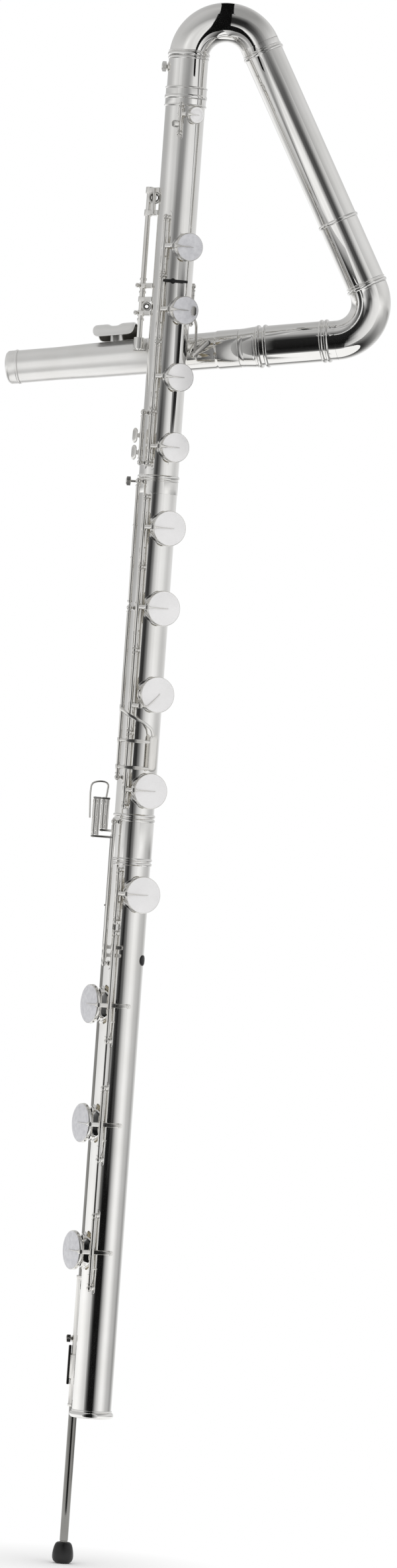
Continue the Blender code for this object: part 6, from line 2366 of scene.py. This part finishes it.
@dataclass
class Fittings:
    """Small fixed fittings: the side bumper and the key stop that crosses the upper body."""

    workshop: Workshop

    def bumper(self) -> None:
        """Makes the rubber bumper on the right side of the foot."""
        form = Form()
        rows = [
            (6.6, -0.2, True), (6.6, 0.8, True), (6.2, 1.3, True), (5.2, 1.65, True), (3.0, 1.8, True),
            (0.6, 1.8, True), (0.6, -0.2, True),
        ]
        form.saddle(rows, radial(rad(70.0), 754.0), TUBING.radius, 40)
        self.workshop.publish(form, "side_bumper_moulded", Finish.RUBBER, "body", ("side_bumper",))

    def key_stop(self) -> None:
        """Makes the near-black bar, in the rubber finish, that crosses the front of the upper body on its stub."""
        form = Form()
        route = [around(rad(a), TUBING.radius + 5.2, 1594.0) for a in range(-26, 39, 8)]
        form.sweep(route, (1.0, 1.7), UP, 3.0, 12)
        form.drum(1.8, TUBING.radius - 0.5, TUBING.radius + 5.2, radial(rad(1.0), 1594.0), 0.2)
        form.drum(3.4, TUBING.radius - 0.5, TUBING.radius + 0.9, radial(rad(1.0), 1594.0), 0.3)
        self.workshop.publish(form, "key_stop_bar", Finish.RUBBER, "body")

    def long_rod(self) -> None:
        """Makes the long rod on the outer line that steadies the lower body's hinge posts."""
        form = Form()
        place = Matrix.Translation(around(TUBING.outer_line, TUBING.hinge_radius))
        form.drum(2.3, 1194.0, 1341.0, place, 0.3)
        for z in (1196.0, 1250.0, 1290.0, 1339.0):
            form.drum(2.9, z - 1.2, z + 1.2, place, 0.3)
        form.drum(1.2, 1186.0, 1348.0, place, 0.2)
        form.drum(1.3, TUBING.radius - 0.5, TUBING.radius + 5.0, radial(rad(-86.0), 819.0), 0.4)
        self.workshop.publish(form, "outer_long_rod", Finish.KEY, "body")

    def build(self) -> None:
        """Makes the fittings."""
        self.bumper()
        self.key_stop()
        self.long_rod()


@dataclass
class Studio:
    """White room, soft lamps, pale floor, glowing ribbons before the tubes that paint their reflections, and the
    photograph's camera.

    A room's row is (upward part of the direction, ((heading in degrees, grey), ...)), 0 degrees being the front.
    A ribbon's greys are painted reflections: they belong to shares of the tube's width, in the order in which the tube
    mirrors them.
    """

    fold: Fold
    lens: float = 170.6
    eye: tuple = (0.0996, -9.224, 0.9768)
    roll: tuple = (0.9974, 0.0718)
    walls: tuple = (
        (-0.85, ((-180.0, 0.06), (-70.0, 0.05), (-20.0, 0.35), (25.0, 0.04), (120.0, 0.03), (180.0, 0.06))),
        (-0.45, ((-160.0, 0.85), (-127.0, 0.3), (-104.0, 0.14), (-85.0, 0.37), (-69.0, 0.5), (-54.0, 0.72),
                 (-44.0, 0.97), (-20.0, 0.55), (10.0, 0.5), (40.0, 0.6), (70.0, 0.35), (120.0, 0.4), (180.0, 0.8))),
        (-0.2, ((-180.0, 1.0), (-86.0, 0.9), (-66.0, 0.75), (-44.0, 0.97), (-20.0, 0.95), (-8.0, 0.7), (20.0, 0.88),
                (50.0, 0.9), (90.0, 0.5), (130.0, 0.4), (180.0, 1.0))),
        (-0.07, ((-157.0, 0.93), (-123.0, 1.04), (-103.0, 1.07), (-86.0, 0.98), (-71.0, 0.83), (-57.0, 0.69),
                 (-47.0, 0.6), (-25.0, 0.85), (0.0, 0.75), (35.0, 0.77), (47.0, 0.95), (58.0, 0.95), (71.0, 0.77),
                 (86.0, 0.55), (103.0, 0.48), (123.0, 0.3), (157.0, 0.8))),
        (0.03, ((-157.0, 0.45), (-123.0, 0.42), (-103.0, 0.46), (-86.0, 0.66), (-71.0, 0.84), (-57.0, 0.72),
                (-47.0, 0.62), (-25.0, 0.8), (0.0, 0.78), (35.0, 0.79), (47.0, 0.89), (58.0, 0.85), (71.0, 0.82),
                (86.0, 0.68), (103.0, 0.6), (123.0, 0.68), (157.0, 0.78))),
        (0.22, ((-180.0, 0.6), (-90.0, 0.6), (-45.0, 0.65), (-25.0, 0.95), (0.0, 0.62), (30.0, 0.55), (90.0, 0.72),
                (180.0, 0.6))),
        (0.5, ((-180.0, 0.55), (-90.0, 0.55), (-45.0, 0.45), (-17.0, 0.36), (20.0, 0.32), (45.0, 0.46), (75.0, 0.7),
               (110.0, 0.75), (180.0, 0.6))),
        (0.85, ((-180.0, 0.45), (-90.0, 0.54), (-50.0, 0.5), (0.0, 0.35), (60.0, 0.33), (120.0, 0.35), (180.0, 0.45))),
    )
    # Greys of the glowing ribbons, which the tubes show as painted reflections.
    body_shares: tuple = (0.3, 0.35, 0.39, 0.45, 0.52, 0.55, 0.6, 0.65)
    body_greys: tuple = (
        (0.05, (0.45, 0.09, 0.008, 0.006, 0.008, 0.16, 0.51, 0.75)),
        (0.46, (0.45, 0.09, 0.008, 0.006, 0.008, 0.16, 0.51, 0.75)),
        (0.62, (0.6, 0.29, 0.04, 0.014, 0.09, 0.32, 0.63, 0.82)),
        (0.84, (0.6, 0.5, 0.1, 0.014, 0.2, 0.45, 0.66, 0.82)),
        (1.0, (0.48, 0.2, 0.035, 0.027, 0.24, 0.45, 0.67, 0.8)),
        (1.24, (0.56, 0.36, 0.055, 0.033, 0.26, 0.52, 0.68, 0.86)),
        (1.42, (0.65, 0.6, 0.16, 0.044, 0.19, 0.415, 0.66, 0.85)),
        (1.52, (0.62, 0.5, 0.34, 0.13, 0.24, 0.37, 0.64, 0.78)),
        (1.69, (0.62, 0.62, 0.43, 0.215, 0.23, 0.314, 0.59, 0.77)),
        (1.88, (0.77, 0.66, 0.5, 0.415, 0.33, 0.31, 0.4, 0.58)),
    )
    diagonal_shares: tuple = (0.4, 0.45, 0.48, 0.55, 0.58, 0.6, 0.65, 0.7)
    diagonal_greys: tuple = (
        (0.0, (0.8, 0.4, 0.2, 0.15, 0.2, 0.2, 0.35, 0.45)),
        (0.06, (0.95, 0.4, 0.12, 0.1, 0.12, 0.15, 0.33, 0.58)),
        (0.16, (0.87, 0.42, 0.1, 0.06, 0.12, 0.21, 0.54, 0.68)),
        (0.33, (0.5, 0.2, 0.06, 0.05, 0.2, 0.39, 0.72, 0.8)),
    )
    bend_greys: tuple = (
        (4.0, (0.7, 0.2, 0.02, 0.02, 0.02, 0.03, 0.2, 0.4)),
        (25.0, (0.95, 0.4, 0.04, 0.02, 0.02, 0.03, 0.15, 0.35)),
        (42.0, (0.9, 0.5, 0.1, 0.06, 0.1, 0.12, 0.23, 0.35)),
        (61.9, (0.8, 0.4, 0.2, 0.15, 0.2, 0.2, 0.35, 0.45)),
    )
    corner_shares: tuple = (0.26, 0.3, 0.35, 0.4, 0.45, 0.5, 0.55, 0.6, 0.65, 0.7)
    corner_greys: tuple = (
        (0.0, (0.8, 0.76, 0.64, 0.42, 0.2, 0.08, 0.15, 0.5, 0.75, 0.82)),
        (0.16, (1.0, 1.0, 0.67, 0.17, 0.03, 0.1, 0.64, 0.8, 0.84, 0.88)),
        (0.35, (1.0, 0.78, 0.24, 0.026, 0.045, 0.46, 0.76, 0.8, 0.86, 0.9)),
        (0.53, (0.38, 0.16, 0.033, 0.025, 0.11, 0.57, 0.72, 0.8, 0.85, 0.85)),
        (0.71, (0.26, 0.075, 0.035, 0.026, 0.03, 0.3, 0.63, 0.7, 0.75, 0.75)),
        (0.89, (0.43, 0.12, 0.035, 0.014, 0.01, 0.008, 0.01, 0.11, 0.47, 0.67)),
        (1.0, (0.53, 0.32, 0.09, 0.017, 0.01, 0.007, 0.006, 0.006, 0.014, 0.03)),
    )
    # Where the near ribbons hang, and the dark ribbons in the gap of the top bend that paint its black reflection.
    card_front: float = -0.09
    gap_above: float = 0.06
    gap_over: tuple = (
        (0.036, -0.0154, 0.0086), (-0.024, -0.0157, 0.009), (-0.059, -0.0184, 0.0099), (-0.084, -0.0212, 0.0106),
        (-0.128, -0.0246, 0.0125),
    )
    gap_before: tuple = (
        (0.06, -0.0245, 0.014), (0.038, -0.022, 0.0125), (0.0, -0.0185, 0.0105), (-0.038, -0.0105, 0.007),
        (-0.066, -0.008, 0.01),
    )
    head_shares: tuple = (0.26, 0.3, 0.35, 0.4, 0.6, 0.65, 0.7, 0.74)
    head_greys: tuple = (
        (-0.01, (0.53, 0.32, 0.09, 0.017, 0.006, 0.014, 0.03, 0.4)),
        (0.1, (0.53, 0.32, 0.09, 0.017, 0.006, 0.014, 0.03, 0.4)),
        (0.12, (0.5, 0.4, 0.2, 0.17, 0.09, 0.015, 0.02, 0.4)),
        (0.15, (0.5, 0.45, 0.4, 0.38, 0.38, 0.35, 0.3, 0.45)),
    )
    # Glowing material of the ribbons, which paints the tubes' reflections.
    cloth: bpy.types.Material = field(init=False)

    def camera(self) -> None:
        """Sets the camera at the photograph's angle."""
        data = bpy.data.cameras.new("camera")
        data.lens = self.lens
        data.sensor_width = 36.0
        data.sensor_fit = "AUTO"
        data.clip_end = 100.0
        obj = bpy.data.objects.new("camera", data)
        c, s = self.roll
        obj.matrix_world = Matrix((
            (c, -s, 0.0, self.eye[0]),
            (0.0, 0.0, -1.0, self.eye[1]),
            (s, c, 0.0, self.eye[2]),
            (0.0, 0.0, 0.0, 1.0),
        ))
        bpy.context.scene.collection.objects.link(obj)
        bpy.context.scene.camera = obj

    def room(self) -> None:
        """Builds the world: white to the camera, even to matt surfaces, walls and gaps to metal."""
        world = bpy.data.worlds.new("studio_room")
        bpy.context.scene.world = world
        world.use_nodes = True
        tree = world.node_tree
        tree.nodes.clear()
        heading = add_node(tree, "ShaderNodeTexCoord").outputs["Generated"]
        parts = add_node(tree, "ShaderNodeSeparateXYZ", {"Vector": heading})
        back = add_node(tree, "ShaderNodeMath", {0: parts.outputs["Y"], 1: -1.0}, operation="MULTIPLY")
        azimuth = add_node(
            tree, "ShaderNodeMath", {0: parts.outputs["X"], 1: back.outputs["Value"]}, operation="ARCTAN2"
        )
        turn = add_node(
            tree,
            "ShaderNodeMapRange",
            {"Value": azimuth.outputs["Value"], "From Min": -math.pi, "From Max": math.pi},
        )
        shade = None
        below = 0.0
        for height, stops in self.walls:
            row = add_node(tree, "ShaderNodeValToRGB", {"Fac": turn.outputs["Result"]})
            self.ramp(row, stops)
            if shade is None:
                shade = row.outputs["Color"]
            else:
                climb = add_node(
                    tree, "ShaderNodeMapRange", {"Value": parts.outputs["Z"], "From Min": below, "From Max": height}
                )
                mixed = add_node(tree, "ShaderNodeMix", {"Factor": climb.outputs["Result"]}, data_type="RGBA")
                tree.links.new(shade, mixed.inputs[6])
                tree.links.new(row.outputs["Color"], mixed.inputs[7])
                shade = mixed.outputs[2]
            below = height
        path = add_node(tree, "ShaderNodeLightPath")
        metal = add_node(tree, "ShaderNodeBackground", {"Color": shade, "Strength": 1.0})
        even = add_node(tree, "ShaderNodeBackground", {"Color": (1.0, 1.0, 1.0, 1.0), "Strength": 0.8})
        white = add_node(tree, "ShaderNodeBackground", {"Color": (1.0, 1.0, 1.0, 1.0), "Strength": 1.0})
        lit = add_node(tree, "ShaderNodeMixShader", {0: path.outputs["Is Glossy Ray"]})
        tree.links.new(even.outputs[0], lit.inputs[1])
        tree.links.new(metal.outputs[0], lit.inputs[2])
        whole = add_node(tree, "ShaderNodeMixShader", {0: path.outputs["Is Camera Ray"]})
        tree.links.new(lit.outputs[0], whole.inputs[1])
        tree.links.new(white.outputs[0], whole.inputs[2])
        add_node(tree, "ShaderNodeOutputWorld", {"Surface": whole.outputs[0]})

    @staticmethod
    def ramp(node: bpy.types.Node, stops: tuple) -> None:
        """Fills a colour ramp with greys over the whole turn.

        Args:
            node: The ramp.
            stops: (heading in degrees, grey) pairs.
        """
        elements = node.color_ramp.elements
        while len(elements) > 1:
            elements.remove(elements[-1])
        for i, (heading, grey) in enumerate(stops):
            at = heading / 360.0 + 0.5
            element = elements[0] if i == 0 else elements.new(at)
            element.position = at
            element.color = (grey, grey, grey, 1.0)

    @staticmethod
    def mirrored(share: float, distance: float) -> float:
        """Where a tube mirrors a plane in front of it.

        Args:
            share: Share of the tube's width, from 0 to 1.
            distance: Distance in metres from the tube's axis to the plane.

        Returns:
            Distance in metres across the tube, from its axis.
        """
        radius = TUBING.radius / 1000.0
        lean = math.asin(2 * share - 1)
        return radius * math.sin(lean) + (distance - radius * math.cos(lean)) * math.tan(2 * lean)

    def ribbon(self, name: str, rows: list, greys: tuple) -> None:
        """Hangs a glowing ribbon that only metal sees, to paint a reflection on it.

        Args:
            name: Its name.
            rows: Rows of points in metres.
            greys: (position, greys of the points) for each row.
        """
        count = len(rows[0])
        faces = []
        for i in range(len(rows) - 1):
            for j in range(count - 1):
                a = i * count + j
                faces.append((a, a + 1, a + 1 + count, a + count))
        mesh = bpy.data.meshes.new(name)
        mesh.from_pydata([p for row in rows for p in row], [], faces)
        shades = mesh.attributes.new("grey", "FLOAT", "POINT")
        for i, grey in enumerate(g for _, row in greys for g in row):
            shades.data[i].value = grey
        obj = bpy.data.objects.new(name, mesh)
        bpy.context.scene.collection.objects.link(obj)
        mesh.materials.append(self.cloth)
        obj.visible_camera = False
        obj.visible_diffuse = False
        obj.visible_shadow = False
        obj.visible_transmission = False

    def ribbons(self) -> None:
        """Hangs the glowing ribbons that paint the reflections of the body, the bend with the diagonal, and the head,
        and the dark ones in the gap of the top bend.
        """
        # The ribbons glow with the greys they carry, and the tubes show them as painted reflections.
        self.cloth, tree = blank_material("ribbon_cloth")
        shade = add_node(tree, "ShaderNodeAttribute", attribute_name="grey")
        glow = add_node(tree, "ShaderNodeEmission", {"Color": shade.outputs["Color"], "Strength": 1.0})
        add_node(tree, "ShaderNodeOutputMaterial", {"Surface": glow.outputs[0]})
        axis = BODY_TO_FRAME.translation
        rows = [self.row(axis + UP * height, -UP, 0.096, self.body_shares) for height, _ in self.body_greys]
        self.ribbon("body_ribbon", rows, self.body_greys)
        fold = self.fold
        bend = fold.bend_radius / 1000.0
        middle = BODY_TO_FRAME @ fold.corner_of_top
        rows = []
        for angle, _ in self.bend_greys:
            outward = Vector((math.sin(rad(angle)), 0.0, math.cos(rad(angle))))
            tangent = Vector((outward.z, 0.0, -outward.x))
            rows.append(self.row(middle + outward * bend, tangent, 0.056, self.diagonal_shares))
        start = BODY_TO_FRAME @ fold.start.translation
        down = fold.start.col[2].to_3d()
        for along, _ in self.diagonal_greys:
            rows.append(self.row(start + down * along, down, 0.056, self.diagonal_shares))
        self.ribbon("diagonal_ribbon", rows, self.bend_greys + self.diagonal_greys)
        rows = []
        turn = fold.corner.to_3x3()
        for share, _ in self.corner_greys:
            angle = share * fold.lower_turn
            outward = turn @ Vector((-math.cos(angle), 0.0, math.sin(angle)))
            tangent = turn @ Vector((math.sin(angle), 0.0, math.cos(angle)))
            spot = BODY_TO_FRAME @ fold.corner.translation + outward * bend
            rows.append(self.row(spot, tangent, self.before(spot, tangent), self.corner_shares))
        self.ribbon("corner_ribbon", rows, self.corner_greys)
        start = BODY_TO_FRAME @ fold.head.translation
        home = fold.head.col[2].to_3d()
        rows = []
        for along, _ in self.head_greys:
            spot = start + home * along
            rows.append(self.row(spot, home, self.before(spot, home), self.head_shares))
        self.ribbon("head_ribbon", rows, self.head_greys)
        crest = middle + UP * bend
        rows = [
            [Vector((crest.x + x, y, crest.z + self.gap_above)) for x in (left, right)] for y, left, right in self.gap_over
        ]
        self.ribbon("gap_ribbon_above", rows, tuple((y, (0.004, 0.004)) for y, *_ in self.gap_over))
        rows = [
            [Vector((crest.x + x, self.card_front, crest.z + z)) for x in (left, right)] for z, left, right in self.gap_before
        ]
        self.ribbon("gap_ribbon_before", rows, tuple((z, (0.004, 0.004)) for z, *_ in self.gap_before))

    def before(self, spot: Vector, tangent: Vector) -> float:
        """Distance from a tube's axis to the plane in which the near cards hang.

        Args:
            spot: A point of the axis in metres.
            tangent: Direction of the axis.

        Returns:
            The distance in metres, square to the axis.
        """
        front = (FORWARD - FORWARD.dot(tangent) * tangent).normalized()
        return (self.card_front - spot.y) / front.y

    def row(self, centre: Vector, tangent: Vector, reach: float, shares: tuple) -> list[Vector]:
        """A row of points in front of a tube.

        Args:
            centre: A point of the tube's axis in metres.
            tangent: Direction of the axis.
            reach: Distance from the axis to the row.
            shares: Shares of the tube's width that mirror the points.

        Returns:
            The points.
        """
        front = (FORWARD - FORWARD.dot(tangent) * tangent).normalized()
        outward = front.cross(tangent)
        return [centre + front * reach + outward * self.mirrored(u, reach) for u in shares]

    def floor(self) -> None:
        """Lays a pale round floor that fades into the white room."""
        mesh = bpy.data.meshes.new("floor")
        shape = bmesh.new()
        bmesh.ops.create_circle(shape, cap_ends=True, segments=96, radius=1.1)
        shape.to_mesh(mesh)
        shape.free()
        obj = bpy.data.objects.new("floor", mesh)
        bpy.context.scene.collection.objects.link(obj)
        material, tree = blank_material("pale_floor")
        place = add_node(tree, "ShaderNodeTexCoord").outputs["Object"]
        distance = add_node(tree, "ShaderNodeVectorMath", {0: place}, operation="LENGTH")
        fade = add_node(
            tree, "ShaderNodeMapRange", {"Value": distance.outputs["Value"], "From Min": 0.03, "From Max": 0.22}
        )
        matt = add_node(tree, "ShaderNodeBsdfDiffuse", {"Color": hex_colour("#FBFBFB")})
        glow = add_node(tree, "ShaderNodeEmission", {"Color": (1.0, 1.0, 1.0, 1.0), "Strength": 1.0})
        whole = add_node(tree, "ShaderNodeMixShader", {0: fade.outputs["Result"]})
        tree.links.new(matt.outputs[0], whole.inputs[1])
        tree.links.new(glow.outputs[0], whole.inputs[2])
        add_node(tree, "ShaderNodeOutputMaterial", {"Surface": whole.outputs[0]})
        mesh.materials.append(material)

    def lamps(self) -> None:
        """Hangs one soft key lamp and one fill."""
        for name, place, size, power in (
            ("key_lamp", (-2.2, -3.0, 2.4), 2.4, 22.0),
            ("fill_lamp", (2.6, -2.4, 1.4), 2.4, 16.0),
        ):
            data = bpy.data.lights.new(name, "AREA")
            data.shape = "SQUARE"
            data.size = size
            data.energy = power
            obj = bpy.data.objects.new(name, data)
            obj.location = place
            aim = Vector((0.02, 0.0, 1.0)) - Vector(place)
            obj.rotation_euler = aim.to_track_quat("-Z", "Y").to_euler()
            obj.visible_glossy = False
            bpy.context.scene.collection.objects.link(obj)

    def build(self) -> None:
        """Builds the studio."""
        bpy.context.scene.view_settings.view_transform = "Standard"
        self.camera()
        self.room()
        self.ribbons()
        self.floor()
        self.lamps()


def main() -> None:
    """Builds the dressed flute and its studio."""
    logging.basicConfig(level=logging.INFO, format="%(name)s %(message)s")
    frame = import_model()
    workshop = Workshop()
    repeater = Repeater(workshop)
    BodySections(workshop, repeater).build()
    fold = Fold(workshop, repeater)
    fold.build()
    HeadJoint(workshop, fold.head).build()
    KeyWork(workshop).build()
    Levers(workshop).build()
    Brace(workshop, fold.head).build()
    FloorPeg(workshop).build()
    Screws(workshop, repeater).build()
    Fittings(workshop).build()
    steels = ("upper_hinge_steel", "lower_hinge_steel", "foot_hinge_steel", "trill_hinge_steel", "thumb_hinge_steel")
    workshop.repaint(frame, steels, Finish.STEEL)
    Studio(fold).build()


if __name__ == "__main__":
    main()
